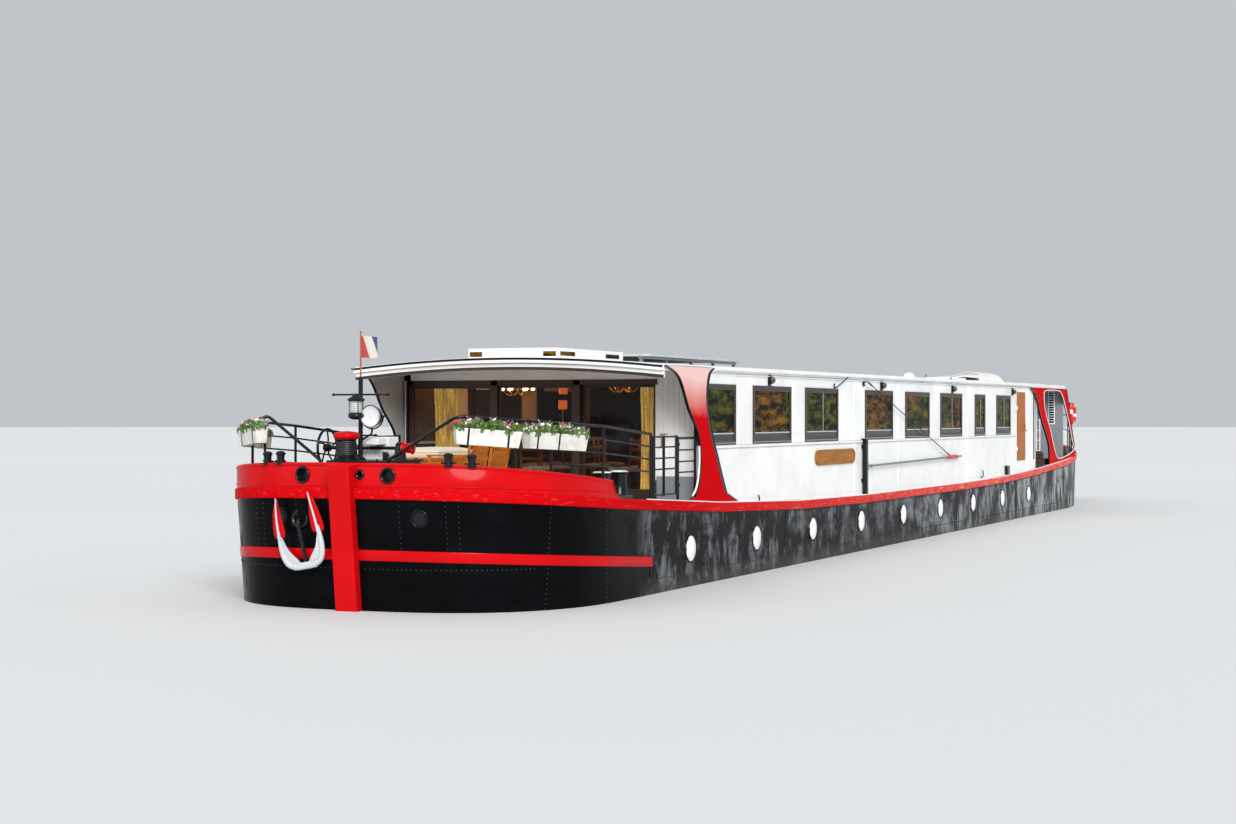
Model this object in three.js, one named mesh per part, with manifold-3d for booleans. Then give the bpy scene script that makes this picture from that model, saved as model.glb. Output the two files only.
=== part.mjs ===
// River boat: a steel canal barge fitted out as a hotel boat, at its real size in
// millimetres. +X points to the bow, +Y to port and +Z up, and the origin lies under the
// middle of the flat bottom. Places along the boat are given as s, the distance aft of the
// stem's foot, and most heights as h, the height above the water.
import * as THREE from "three";
import { mergeVertices } from "three/addons/utils/BufferGeometryUtils.js";
import Module from "manifold-3d";

const wasm = await Module();
wasm.setup();

// Main sizes
const LENGTH = 38500;
const BOW_LEAD = 150;
const STERN_END = LENGTH - BOW_LEAD;
const BEAM = 5050;
const DRAFT = 1250;
const RAIL_PROUD = 25;
const HALF = BEAM / 2 - RAIL_PROUD;
const GAP = 0.3;
const SIDES = [
  { name: "port", sign: 1 },
  { name: "starboard", sign: -1 },
];

const X = (s) => LENGTH / 2 - BOW_LEAD - s;
const Z = (h) => DRAFT + h;

// Hull: level outlines from the flat bottom up to the deck edge. The bow and the stern are
// superellipse ends. Columns: height, half breadth, bow [start, run, power],
// stern [end, run, power], half breadth of the stern post.
const STEM = { wide: 300, thick: 150, waterline: 60 };
const BOW_STEPS = 8;
const SIDE_STEPS = 8;
const STERN_STEPS = 7;
const LEVELS = [
  [0, 2300, [640, 4160, 2.1], [35200, 9000, 1.6], 50],
  [220, 2470, [440, 3560, 2.3], [35350, 8600, 1.7], 50],
  [1000, 2490, [239, 2800, 2.5], [35800, 7400, 1.8], 70],
  [1190, 2497, [217, 2700, 2.6], [38000, 6300, 1.8], 180],
  [null, HALF, [33, 2720, 2.6], [STERN_END - RAIL_PROUD, 6500, 1.8], 220],
].map(([z, half, bow, stern, post]) => ({ z, half, bow, stern, post }));
const SHEER = {
  mid: 975, bowReach: 14000, bowRise: 530, bowPower: 2.1, sternFrom: 21000, sternRise: 680,
};

// Bow: bulwark on the deck edge, red stem bar, windlass bed behind it
const BULWARK = { end: 2450, round: 230, thick: 50, stemTop: 1790, endTop: 1540, foot: 25 };
const RAIL_HEIGHT = 135;

// House: side walls, front wall, roof
const WALL_OUT = 2400;
const WALL_THICK = 60;
const WALL_IN = WALL_OUT - WALL_THICK;
const FRONT_WALL = 5850;
const HOUSE_END = 28500;
const ROOF = {
  front: 4360, end: 32100, half: 2420, camber: 130, thick: 80, frontEdge: 3070, endEdge: 3140,
};
const ROOF_BEAM = { inset: 40, thick: 80, high: 95, lap: 20 };
const CAMBER_STEPS = 4;
const WINDOW = { sill: 1985, head: 2800, flange: 40, clear: 2, frame: 45 };
// Side windows: start and end of each along the boat
const WINDOWS = [
  [6050, 7230], [8080, 9820], [10630, 12350], [14060, 15780],
  [16740, 18440], [19390, 21100], [22330, 23190], [24370, 25700],
];
const LEDGE = { low: 1900, high: 1945, out: 2418 };
const HINGE = { radius: 9.6, out: 10, leaf: 120, wall: 80, strap: 60, thick: 12 };
const SIDE_DOOR = {
  start: 26450, end: 27350, low: 1330, high: 2930, thick: 40, gap: 5, hinges: [1650, 2600],
};
const FRONT_GLASS = [
  { name: "front_glass_starboard", low: -2280, high: -930 },
  { name: "front_glass_centre", low: -830, high: 410 },
];
const FRONT_DOOR = { low: 510, high: 1680, lap: 30, thick: 40 };
const FRONT_SILL = 110;
const FRONT_HEAD = 2830;
const AFT_HALF = 1750;
const AFT_WALL = 31850;
const AFT_DOOR = { half: 400, sill: 150, high: 2950, gap: 5, hinges: [1800, 2700] };

// Red side panels stand outside the walls, from the deck edge to the roof edge
const PANEL = { in: 2420.5, out: 2456, top: 3060 };

// Rudder, propeller and helm
const RUDDER = { s: 36900, low: 140, high: 960, lead: 250, trail: 950, thick: 60, trunk: 1060 };
const PROPELLER = { s: 36080, z: 520, radius: 390, hub: 90, blades: 4 };
const SKEG = { end: 37050, height: 90, half: 60 };
const HELM = { s: 27600, half: 700, floor: 2150, wheelHeight: 2900, wheelRadius: 380 };

// Bow gear
const BED = { start: 230, end: 1350, port: 370, starboard: -380, top: 1830 };
const CAPSTAN = { s: 420, y: -200, radius: 128, top: 2090, capRadius: 165, capTop: 2190 };
const SHAFT = { s: 800, h: 1975, radius: 22, port: 530, starboard: -760 };
const HANDWHEEL = { y: -705, radius: 250, rim: 17, spokes: 5 };
const MAST = { s: 640, y: -130, radius: 28, top: 2860, barHalf: 400, barHeight: 2640 };
const STAFF_TOP = 3430;
const ANCHOR = { y: -720, crown: 500, shank: 50, hawse: 1640, fluke: 1420, half: 25, reach: 430 };
const FLAG = { long: 400, high: 270, thick: 8 };

// Bollards
const BOLLARD = {
  pitch: 560, overhang: 160, half: 130, plate: 20, top: 345, radius: 105, capRadius: 125,
};

// Boom on the port side
const BOOM = { s: 13860, y: 2470, post: 45, postTop: 1950, h: 1480, end: 20800, radius: 20, pin: 10 };

// Colours
const paint = (color, roughness, metalness) =>
  new THREE.MeshStandardMaterial({ color, roughness, metalness });
const HULL_BLACK = paint(0x23252a, 0.35, 0.2);
const RED = paint(0xd3201f, 0.3, 0.1);
const WHITE = paint(0xf1f0ec, 0.4, 0.0);
const GREY = paint(0x8b8e92, 0.5, 0.1);
const BLACK = paint(0x141517, 0.35, 0.4);
const BROWN_FRAME = paint(0x4a423c, 0.45, 0.3);
const GLASS = paint(0x27343a, 0.05, 0.0);
const WOOD = paint(0x8a4d1f, 0.5, 0.0);
const CLOTH = paint(0xe8e4da, 0.9, 0.0);
const GOLD = paint(0xb08a3c, 0.8, 0.0);
const ROPE = paint(0x3a342c, 0.9, 0.0);
const ALUMINIUM = paint(0xb9bdc2, 0.3, 0.9);
const BRONZE = paint(0x9a7b3c, 0.35, 0.9);
const ORANGE_RED = paint(0xe03a22, 0.5, 0.0);

// Closed geometry to a manifold-3d solid, turned to face outwards
function solid(geometry) {
  const bare = geometry.index ? geometry.toNonIndexed() : geometry.clone();
  const points = new THREE.BufferGeometry().setAttribute("position", bare.getAttribute("position"));
  const merged = mergeVertices(points, 1e-3);
  const spots = merged.attributes.position;
  const corners = new Uint32Array(merged.index.array);
  const a = new THREE.Vector3();
  const b = new THREE.Vector3();
  const c = new THREE.Vector3();
  let volume = 0;
  for (let i = 0; i < corners.length; i += 3) {
    a.fromBufferAttribute(spots, corners[i]);
    b.fromBufferAttribute(spots, corners[i + 1]);
    c.fromBufferAttribute(spots, corners[i + 2]);
    volume += a.dot(b.cross(c));
  }
  if (volume < 0) {
    for (let i = 0; i < corners.length; i += 3) {
      [corners[i + 1], corners[i + 2]] = [corners[i + 2], corners[i + 1]];
    }
  }
  const mesh = new wasm.Mesh({ numProp: 3, vertProperties: spots.array, triVerts: corners });
  return new wasm.Manifold(mesh);
}

const join = (...solids) => solids.reduce((whole, next) => whole.add(next));
const cut = (whole, ...tools) => tools.reduce((left, tool) => left.subtract(tool), whole);

// Block between two places along, across and up; across values may come in either order
function block(sFrom, sTo, yOne, yTwo, low, high) {
  const box = new THREE.BoxGeometry(sTo - sFrom, Math.abs(yTwo - yOne), high - low);
  box.translate(X((sFrom + sTo) / 2), (yOne + yTwo) / 2, (low + high) / 2);
  return solid(box);
}

function outline(points) {
  const shape = new THREE.Shape();
  points.forEach(([u, v], i) => (i ? shape.lineTo(u, v) : shape.moveTo(u, v)));
  return shape;
}

// Side view outline of [s, z] points, given thickness across the boat
function sidePlate(points, yOne, yTwo) {
  const depth = Math.abs(yTwo - yOne);
  const plate = new THREE.ExtrudeGeometry(
    outline(points.map(([s, z]) => [X(s), z])), { depth, bevelEnabled: false });
  plate.rotateX(Math.PI / 2);
  plate.translate(0, Math.max(yOne, yTwo), 0);
  return solid(plate);
}

// Front view outline of [y, z] points, given thickness along the boat
function crossPlate(points, sFrom, sTo) {
  const plate = new THREE.ExtrudeGeometry(
    outline(points), { depth: sTo - sFrom, bevelEnabled: false });
  plate.applyMatrix4(new THREE.Matrix4().makeBasis(
    new THREE.Vector3(0, 1, 0), new THREE.Vector3(0, 0, 1), new THREE.Vector3(1, 0, 0)));
  plate.translate(X(sTo), 0, 0);
  return solid(plate);
}

// Round bar between two points, each [s, y, z]
function bar(from, to, radius, sides = 8) {
  const a = new THREE.Vector3(X(from[0]), from[1], from[2]);
  const b = new THREE.Vector3(X(to[0]), to[1], to[2]);
  const rod = new THREE.CylinderGeometry(radius, radius, a.distanceTo(b), sides);
  const along = b.clone().sub(a).normalize();
  rod.applyQuaternion(new THREE.Quaternion().setFromUnitVectors(new THREE.Vector3(0, 1, 0), along));
  rod.translate((a.x + b.x) / 2, (a.y + b.y) / 2, (a.z + b.z) / 2);
  return solid(rod);
}

// One mitred tube through a list of [s, y, z] points
function bentBar(points, radius, sides = 6) {
  const spots = points.map(([s, y, z]) => new THREE.Vector3(X(s), y, z));
  const rings = spots.map((spot, i) => {
    const before = spots[Math.max(0, i - 1)];
    const after = spots[Math.min(spots.length - 1, i + 1)];
    const into = spot.clone().sub(before).normalize();
    const out = after.clone().sub(spot).normalize();
    const along = into.add(out).normalize();
    const across = new THREE.Vector3(0, 0, 1).cross(along).normalize();
    const upright = along.clone().cross(across);
    return Array.from({ length: sides }, (_, k) => {
      const turn = (k * 2 * Math.PI) / sides;
      const corner = spot.clone();
      corner.addScaledVector(across, radius * Math.cos(turn));
      corner.addScaledVector(upright, radius * Math.sin(turn));
      return corner.toArray();
    });
  });
  return loft(rings, fanCap);
}

// Turned shape about an upright axis at [s, y], from [radius, z] points
function turned([s, y], profile, sides = 14) {
  const shape = new THREE.LatheGeometry(profile.map(([r, z]) => new THREE.Vector2(r, z)), sides);
  shape.rotateX(Math.PI / 2);
  shape.translate(X(s), y, 0);
  return solid(shape);
}

// Turned shape about an axis across the boat at [s, z], from [radius, y] points
function turnedAcross([s, z], profile, sides = 12) {
  const shape = new THREE.LatheGeometry(profile.map(([r, y]) => new THREE.Vector2(r, y)), sides);
  shape.translate(X(s), 0, z);
  return solid(shape);
}

// Turned shape about an axis along the boat at [y, z], from [radius, s] points
function turnedAlong([y, z], profile, sides = 12) {
  const shape = new THREE.LatheGeometry(profile.map(([r, s]) => new THREE.Vector2(r, X(s))), sides);
  shape.rotateZ(-Math.PI / 2);
  shape.translate(0, y, z);
  return solid(shape);
}

// Ring about an axis across the boat ("y") or along it ("x")
function ring([s, y, z], radius, tube, axis, tubeSides = 5, steps = 18) {
  const torus = new THREE.TorusGeometry(radius, tube, tubeSides, steps);
  if (axis === "y") torus.rotateX(Math.PI / 2);
  if (axis === "x") torus.rotateY(Math.PI / 2);
  torus.translate(X(s), y, z);
  return solid(torus);
}

// Skin through rings of equal length, each an array of [x, y, z], closed by its end rings
function loft(rings, capOf) {
  const count = rings[0].length;
  const spots = rings.flat(2);
  const corners = [];
  for (let r = 0; r + 1 < rings.length; r += 1) {
    for (let i = 0; i < count; i += 1) {
      const next = (i + 1) % count;
      const a = r * count + i;
      const b = r * count + next;
      corners.push(a, b, b + count, a, b + count, a + count);
    }
  }
  const last = (rings.length - 1) * count;
  for (const [a, b, c] of capOf(rings[0])) corners.push(a, c, b);
  for (const [a, b, c] of capOf(rings.at(-1))) corners.push(last + a, last + b, last + c);
  const geometry = new THREE.BufferGeometry();
  geometry.setAttribute("position", new THREE.Float32BufferAttribute(spots, 3));
  geometry.setIndex(corners);
  return solid(geometry);
}

// Cap between a ring's two mirrored halves, as strips across the boat
function stripCap(points) {
  const half = points.length / 2;
  const faces = [];
  for (let i = 0; i + 1 < half; i += 1) {
    const j = points.length - 1 - i;
    faces.push([i, i + 1, j], [i + 1, j - 1, j]);
  }
  return faces;
}

const fanCap = (points) => points.slice(2).map((_, i) => [0, i + 1, i + 2]);

// Half breadth outline of one hull level, bow to stern, as { s, y } points
function levelOutline({ half, bow, stern, post }) {
  const quarter = (steps, i, power) => {
    const turn = (i / steps) * (Math.PI / 2);
    return [1 - Math.cos(turn) ** (2 / power), Math.sin(turn) ** (2 / power)];
  };
  const [bowAt, bowRun, bowPower] = bow;
  const [sternAt, sternRun, sternPower] = stern;
  const stemHalf = STEM.wide / 2;
  const points = [];
  for (let i = 0; i <= BOW_STEPS; i += 1) {
    const [along, across] = quarter(BOW_STEPS, i, bowPower);
    points.push({ s: bowAt + bowRun * along, y: stemHalf + (half - stemHalf) * across });
  }
  const sideFrom = bowAt + bowRun;
  const sideLong = sternAt - sternRun - sideFrom;
  for (let i = 1; i < SIDE_STEPS; i += 1) {
    points.push({ s: sideFrom + (sideLong * i) / SIDE_STEPS, y: half });
  }
  for (let i = STERN_STEPS; i >= 0; i -= 1) {
    const [along, across] = quarter(STERN_STEPS, i, sternPower);
    points.push({ s: sternAt - sternRun * along, y: post + (half - post) * across });
  }
  return points;
}

// Height of the deck edge above the water along the boat
function sheer(s) {
  const bow = Math.max(0, (SHEER.bowReach - s) / SHEER.bowReach);
  const stern = Math.max(0, (s - SHEER.sternFrom) / (STERN_END - SHEER.sternFrom));
  return SHEER.mid + SHEER.bowRise * bow ** SHEER.bowPower + SHEER.sternRise * stern ** 2;
}

const DECK_EDGE = levelOutline(LEVELS.at(-1)).map(({ s, y }) => ({ s, y, z: Z(sheer(s)) }));

// Value along the deck edge's straight facets: "z" is the deck, "y" its half breadth
function deckAt(s, key = "z") {
  const i = Math.max(1, DECK_EDGE.findIndex((point) => point.s >= s));
  const [a, b] = [DECK_EDGE[i - 1], DECK_EDGE[i]];
  return a[key] + ((b[key] - a[key]) * (s - a.s)) / (b.s - a.s);
}

// Lowest height at which a foot of this radius clears the sloping deck
const seatAt = (s, radius) => Math.max(deckAt(s - radius), deckAt(s + radius)) + GAP;

// Points [s, z] just above the deck between two places, for the foot of an upright plate
function footLine(from, to) {
  const inner = DECK_EDGE.filter(({ s }) => s > from + 1 && s < to - 1).map(({ s }) => s);
  return [from, ...inner, to].map((s) => [s, deckAt(s) + GAP]);
}

// Roof: edge height falls and rises along the boat, and its top and underside are cambered
const CAMBER_AT = [];
for (let i = -CAMBER_STEPS; i <= CAMBER_STEPS; i += 1) CAMBER_AT.push((i * ROOF.half) / CAMBER_STEPS);
const camber = (y) => ROOF.camber * (1 - (y / ROOF.half) ** 2);
function facetCamber(y) {
  const step = ROOF.half / CAMBER_STEPS;
  const i = Math.min(Math.floor((y + ROOF.half) / step), 2 * CAMBER_STEPS - 1);
  const from = CAMBER_AT[i];
  return camber(from) + ((camber(from + step) - camber(from)) * (y - from)) / step;
}
function roofEdge(s) {
  const share = (s - ROOF.front) / (ROOF.end - ROOF.front);
  return Z(ROOF.frontEdge + (ROOF.endEdge - ROOF.frontEdge) * share);
}
const ceilingAt = (s, y) => roofEdge(s) - ROOF.thick + facetCamber(y);
const roofTopAt = (s, y) => roofEdge(s) + facetCamber(y);

// Points [y, z] under the ceiling between two places across the boat, at one s
function ceilingLine(s, from, to) {
  const inner = CAMBER_AT.filter((y) => y > from + 1 && y < to - 1);
  return [from, ...inner, to].map((y) => [y, ceilingAt(s, y) - GAP]);
}

const boat = new THREE.Group();
boat.name = "river_boat";

function piece(name, body, material) {
  const mesh = body.getMesh();
  const geometry = new THREE.BufferGeometry();
  geometry.setAttribute("position", new THREE.BufferAttribute(new Float32Array(mesh.vertProperties), 3));
  geometry.setIndex(new THREE.BufferAttribute(new Uint32Array(mesh.triVerts), 1));
  geometry.computeVertexNormals();
  const part = new THREE.Mesh(geometry, material);
  part.name = name;
  boat.add(part);
}

// Hull skin, solid to the deck; shifted forward it is the tool that trims what lies on it
function hullShell(shift = 0) {
  return loft(LEVELS.map((level) => {
    const points = levelOutline(level).map(({ s, y }) => [X(s) + shift, y, level.z ?? Z(sheer(s))]);
    return [...points, ...points.map(([x, y, z]) => [x, -y, z]).reverse()];
  }), stripCap);
}

// Hull with the skeg that carries the rudder's heel, the shaft tube and the rudder trunk
function makeHull() {
  const skeg = block(34500, SKEG.end, -SKEG.half, SKEG.half, 0, SKEG.height);
  const tubeEnd = PROPELLER.s - PROPELLER.hub - 6;
  const shaftTube = turnedAlong([0, PROPELLER.z], [[0, 35000], [60, 35000], [60, tubeEnd], [0, tubeEnd]]);
  const trunk = turned([RUDDER.s, 0], [
    [0, RUDDER.trunk], [70, RUDDER.trunk], [70, RUDDER.trunk + 240], [0, RUDDER.trunk + 240],
  ], 12);
  piece("hull", join(hullShell(), skeg, shaftTube, trunk), HULL_BLACK);
}

// Stem bar: it leans forward from the water to its top
function makeStem() {
  const lean = (BOW_LEAD + STEM.waterline) / BULWARK.stemTop;
  const front = (z) => STEM.waterline - lean * (z - DRAFT);
  const back = LEVELS.map(({ z, bow: [start] }) => [start - GAP, z ?? Z(sheer(start))]);
  const profile = [
    [-BOW_LEAD, Z(BULWARK.stemTop)], [front(560), 560], [230, 300], [400, 110], ...back,
    [back.at(-1)[0], Z(BULWARK.stemTop)],
  ];
  piece("stem", sidePlate(profile, -STEM.wide / 2, STEM.wide / 2), RED);
}

// Path with its outward direction in plan. It runs aft on the port side and forward on starboard.
function edgePath(points) {
  return points.map((point, i) => {
    const before = points[Math.max(0, i - 1)];
    const after = points[Math.min(points.length - 1, i + 1)];
    const along = new THREE.Vector2(after.s - before.s, after.y - before.y).normalize();
    return { ...point, outS: -along.y, outY: along.x };
  });
}

const starboardOf = (points) => points.map((p) => ({ ...p, y: -p.y })).reverse();

// Strip that follows the path: inner and outer offset, bottom and top height
function strip(path, inner, outer, lowOf, highOf) {
  const rings = path.map((p) => {
    const at = (offset, z) => [X(p.s + p.outS * offset), p.y + p.outY * offset, z];
    return [at(inner, lowOf(p)), at(outer, lowOf(p)), at(outer, highOf(p)), at(inner, highOf(p))];
  });
  return loft(rings, fanCap);
}

function makeRubRails() {
  const portHalf = [...DECK_EDGE, { ...DECK_EDGE.at(-1), y: 1 }];
  for (const { name, sign } of SIDES) {
    const path = edgePath(sign > 0 ? portHalf : starboardOf(portHalf));
    const rail = strip(path, 0.5, RAIL_PROUD, (p) => p.z - RAIL_HEIGHT, (p) => p.z);
    piece(`rub_rail_${name}`, rail, RED);
  }
}

// Height of the bulwark: it falls aft in a straight line, then rounds down to the rail
function bulwarkTop(s) {
  const slope = (BULWARK.endTop - BULWARK.stemTop) / BULWARK.end;
  if (s <= BULWARK.end) return Z(BULWARK.stemTop + slope * s);
  const left = 1 - Math.min(1, (s - BULWARK.end) / BULWARK.round);
  const low = deckAt(s) + BULWARK.foot;
  return low + (Z(BULWARK.endTop) - low) * (1 - Math.sqrt(1 - left ** 2));
}

// Bow bulwark: one wall round the bow, port end to starboard end
function makeBulwark() {
  const stations = DECK_EDGE.filter(({ s }) => s < BULWARK.end);
  const tail = [0, 0.06, 0.3, 0.65, 1].map((share) => {
    const s = BULWARK.end + share * BULWARK.round;
    return { s, y: deckAt(s, "y"), z: deckAt(s) };
  });
  const port = [...stations, ...tail];
  const path = edgePath([...starboardOf(port), ...port]);
  const wall = strip(path, -BULWARK.thick, 0, (p) => p.z + GAP, (p) => bulwarkTop(p.s));
  piece("bow_bulwark", wall, RED);
}

// Roof: cambered sheet on a beam across its fore end, with the helm's well cut in it
function makeRoof() {
  const ringAt = (s) => [
    ...CAMBER_AT.map((y) => [X(s), y, roofEdge(s) + camber(y)]),
    ...CAMBER_AT.map((y) => [X(s), y, roofEdge(s) - ROOF.thick + camber(y)]).reverse(),
  ];
  const sheet = loft([ringAt(ROOF.front), ringAt(ROOF.end)], stripCap);
  const { inset, high, lap } = ROOF_BEAM;
  const ceiling = ceilingLine(ROOF.front + inset, inset / 2 - ROOF.half, ROOF.half - inset / 2);
  const beam = crossPlate([
    ...ceiling.map(([y, z]) => [y, z + lap]), ...ceiling.map(([y, z]) => [y, z - high]).reverse(),
  ], ROOF.front + inset, ROOF.front + inset + ROOF_BEAM.thick);
  const well = block(HELM.s - HELM.half, HELM.s + HELM.half, -HELM.half, HELM.half, Z(2900), Z(3500));
  piece("roof", cut(join(sheet, beam), well), WHITE);
}

// Side walls with the windows and the side door cut
function makeSideWalls() {
  const { start, end, low, high, gap, hinges } = SIDE_DOOR;
  const from = FRONT_WALL + WALL_THICK + GAP;
  for (const { name, sign } of SIDES) {
    const top = [HOUSE_END, from].map((s) => [s, ceilingAt(s, WALL_OUT) - GAP]);
    const wall = sidePlate([...footLine(from, HOUSE_END), ...top], sign * WALL_IN, sign * WALL_OUT);
    const through = (a, b, bottom, head) =>
      block(a, b, sign * (WALL_IN - 50), sign * (WALL_OUT + 50), Z(bottom), Z(head));
    const holes = WINDOWS.map(([a, b]) => through(a, b, WINDOW.sill, WINDOW.head));
    const doorway = through(start - gap, end + gap, low - gap, high + gap);
    const knuckles = hinges.map((h) => wallKnuckle([start, sign * (WALL_OUT + HINGE.out)], h,
      [start - HINGE.strap, start, sign * (WALL_OUT - 1), sign * (WALL_OUT + HINGE.thick)]));
    piece(`side_wall_${name}`, join(cut(wall, ...holes, doorway), ...knuckles), WHITE);
  }
}

// Window frames with their panes, on the moulding that runs under them
function makeWindowBands() {
  for (const { name, sign } of SIDES) {
    const at = (y) => sign * y;
    const ledge = block(FRONT_WALL + WALL_THICK + 60, SIDE_DOOR.start - 60,
      at(WALL_OUT + GAP), at(LEDGE.out), Z(LEDGE.low), Z(LEDGE.high));
    const frames = WINDOWS.map(([a, b]) => {
      const flange = block(a - WINDOW.flange, b + WINDOW.flange,
        at(WALL_OUT + GAP), at(WALL_OUT + 12), Z(LEDGE.high) - 1, Z(WINDOW.head + WINDOW.flange));
      const plug = block(a + WINDOW.clear, b - WINDOW.clear, at(WALL_OUT - 36), at(WALL_OUT + 6),
        Z(WINDOW.sill + WINDOW.clear), Z(WINDOW.head - WINDOW.clear));
      const pocket = block(a + WINDOW.frame, b - WINDOW.frame, at(WALL_OUT - 20), at(WALL_OUT + 40),
        Z(WINDOW.sill + WINDOW.frame), Z(WINDOW.head - WINDOW.frame));
      return cut(join(flange, plug), pocket);
    });
    piece(`windows_${name}`, join(ledge, ...frames), BROWN_FRAME);
  }
}

// Hinge knuckle on an upright axis with the strap that holds it to its leaf or its wall; the
// leaf's knuckle stands on the wall's
function knuckle([s, y], low, high, strap) {
  const pin = bar([s, y, Z(low)], [s, y, Z(high)], HINGE.radius, 12);
  const [sFrom, sTo, yOne, yTwo] = strap;
  return join(pin, block(sFrom, sTo, yOne, yTwo, Z(low + 5), Z(high - 5)));
}
const leafKnuckle = (axis, h, strap) => knuckle(axis, h, h + HINGE.leaf, strap);
const wallKnuckle = (axis, h, strap) => knuckle(axis, h - HINGE.wall, h - GAP, strap);

// Side doors, hinged on the forward edge
function makeSideDoors() {
  const { start, end, low, high, thick, hinges } = SIDE_DOOR;
  for (const { name, sign } of SIDES) {
    const leaf = block(start, end, sign * (WALL_OUT - thick), sign * WALL_OUT, Z(low), Z(high));
    const barrels = hinges.map((h) => leafKnuckle([start, sign * (WALL_OUT + HINGE.out)], h,
      [start, start + HINGE.strap, sign * (WALL_OUT - 1), sign * (WALL_OUT + HINGE.thick)]));
    const handle = block(end - 90, end - 60, sign * (WALL_OUT - 5), sign * (WALL_OUT + 25), Z(2050), Z(2200));
    piece(`side_door_${name}`, join(leaf, ...barrels, handle), WOOD);
  }
}

// Front wall with three openings, and the track that carries the sliding door
function makeFrontWall() {
  const s0 = FRONT_WALL;
  const s1 = FRONT_WALL + WALL_THICK;
  const foot = deckAt(s0) + GAP;
  const wall = crossPlate([
    [-WALL_OUT, foot], [WALL_OUT, foot], ...ceilingLine(s0, -WALL_OUT, WALL_OUT).reverse(),
  ], s0, s1);
  const low = deckAt(s0) + FRONT_SILL;
  const openings = [...FRONT_GLASS, FRONT_DOOR].map(({ low: a, high: b }) =>
    block(s0 - 50, s1 + 50, a, b, low, Z(FRONT_HEAD)));
  const track = block(s1 - 1, s1 + 60, FRONT_DOOR.low - 1300, FRONT_DOOR.high + 60,
    Z(FRONT_HEAD) + 32, Z(FRONT_HEAD) + 62);
  piece("front_wall", join(cut(wall, ...openings), track), WHITE);
}

function makeFrontGlass() {
  const low = deckAt(FRONT_WALL) + FRONT_SILL + GAP;
  const high = Z(FRONT_HEAD) - GAP;
  const mid = FRONT_WALL + WALL_THICK / 2;
  for (const { name, low: a, high: b } of FRONT_GLASS) {
    const frame = block(mid - 20, mid + 20, a + GAP, b - GAP, low, high);
    const pockets = [[mid - 30, mid - 6], [mid + 6, mid + 30]].map(([from, to]) =>
      block(from, to, a + 45, b - 45, low + 45, high - 45));
    piece(name, cut(frame, ...pockets), GLASS);
  }
}

function makeFrontDoor() {
  const near = FRONT_WALL + WALL_THICK + 6;
  const far = near + FRONT_DOOR.thick;
  const low = deckAt(far) + FRONT_SILL - FRONT_DOOR.lap;
  const high = Z(FRONT_HEAD) + FRONT_DOOR.lap;
  const a = FRONT_DOOR.low - FRONT_DOOR.lap;
  const b = FRONT_DOOR.high + FRONT_DOOR.lap;
  const leaf = block(near, far, a, b, low, high + 1.5);
  const pockets = [[near - 10, near + 14], [far - 14, far + 10]].map(([from, to]) =>
    block(from, to, a + 70, b - 70, low + 90, high - 70));
  const pull = block(far - 1, far + 30, a + 20, a + 45, Z(1950), Z(2150));
  piece("front_door", join(cut(leaf, ...pockets), pull), BROWN_FRAME);
}

// Narrower aft part of the house, its end wall and the wings that close the side bays
function makeAftHouse() {
  const thick = WALL_THICK;
  const start = HOUSE_END + GAP;
  const sides = SIDES.map(({ sign }) => {
    const foot = footLine(start, AFT_WALL + 20);
    const top = [AFT_WALL + 20, start].map((s) => [s, ceilingAt(s, AFT_HALF) - GAP - 1]);
    return sidePlate([...foot, ...top], sign * (AFT_HALF - thick), sign * AFT_HALF);
  });
  const shoulders = SIDES.map(({ sign }) => {
    const [from, to] = [sign * (AFT_HALF - 20), sign * WALL_OUT].sort((a, b) => a - b);
    const low = deckAt(start + thick) + GAP;
    const top = ceilingLine(start, from, to).reverse();
    return crossPlate([[from, low], [to, low], ...top], start, start + thick);
  });
  const foot = deckAt(AFT_WALL + thick) + GAP;
  const end = crossPlate([[-WALL_OUT, foot], [WALL_OUT, foot],
    ...ceilingLine(AFT_WALL, -WALL_OUT, WALL_OUT).reverse()], AFT_WALL, AFT_WALL + thick);
  const { half, sill, high, gap, hinges } = AFT_DOOR;
  const face = AFT_WALL + thick;
  const axis = [face + HINGE.out, half];
  const doorway = block(AFT_WALL - 50, face + 50, -half - gap, half + gap, foot + sill, Z(high));
  const knuckles = hinges.map((h) => wallKnuckle(axis, h,
    [face - 1, face + HINGE.thick, half, half + HINGE.strap]));
  piece("aft_house", join(cut(join(...sides, ...shoulders, end), doorway), ...knuckles), GREY);

  const leaf = block(AFT_WALL + 20, face, -half, half, foot + sill + gap, Z(high) - gap);
  const barrels = hinges.map((h) => leafKnuckle(axis, h,
    [face - 1, face + HINGE.thick, half - HINGE.strap, half]));
  piece("aft_door", join(leaf, ...barrels), WOOD);
}

// Red side panels: hourglass in front, frame with an opening aft. Points are [s, h].
const FRONT_PANEL_FORE = [
  [4365, PANEL.top], [4870, 2910], [5235, 2480], [5560, 2180],
  [5690, 1900], [5705, 1640], [5640, 1430], [5490, 1240],
];
const FRONT_PANEL_AFT = [
  [6750, 1260], [6540, 1550], [6370, 1810], [6205, 2030],
  [6060, 2330], [5985, 2680], [6060, 2960], [6240, PANEL.top],
];
const AFT_PANEL_FORE = [
  [27800, PANEL.top], [28380, 2830], [28810, 2400], [29430, 1985], [29820, 1680], [29930, 1420],
];
const AFT_PANEL_END = [[33180, 1560], [32860, 1960], [32560, 2400], [32180, 2960], [32060, PANEL.top]];
const AFT_PANEL_HOLE = [
  [31230, 1290], [30680, 1440], [30340, 1730], [29940, 2100],
  [29600, 2330], [29330, 2620], [29270, 2860], [29480, 3000],
  [31080, 3010], [31520, 2900], [31830, 2690], [32150, 2440],
  [32500, 2130], [32860, 1720], [33080, 1480],
];

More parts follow.
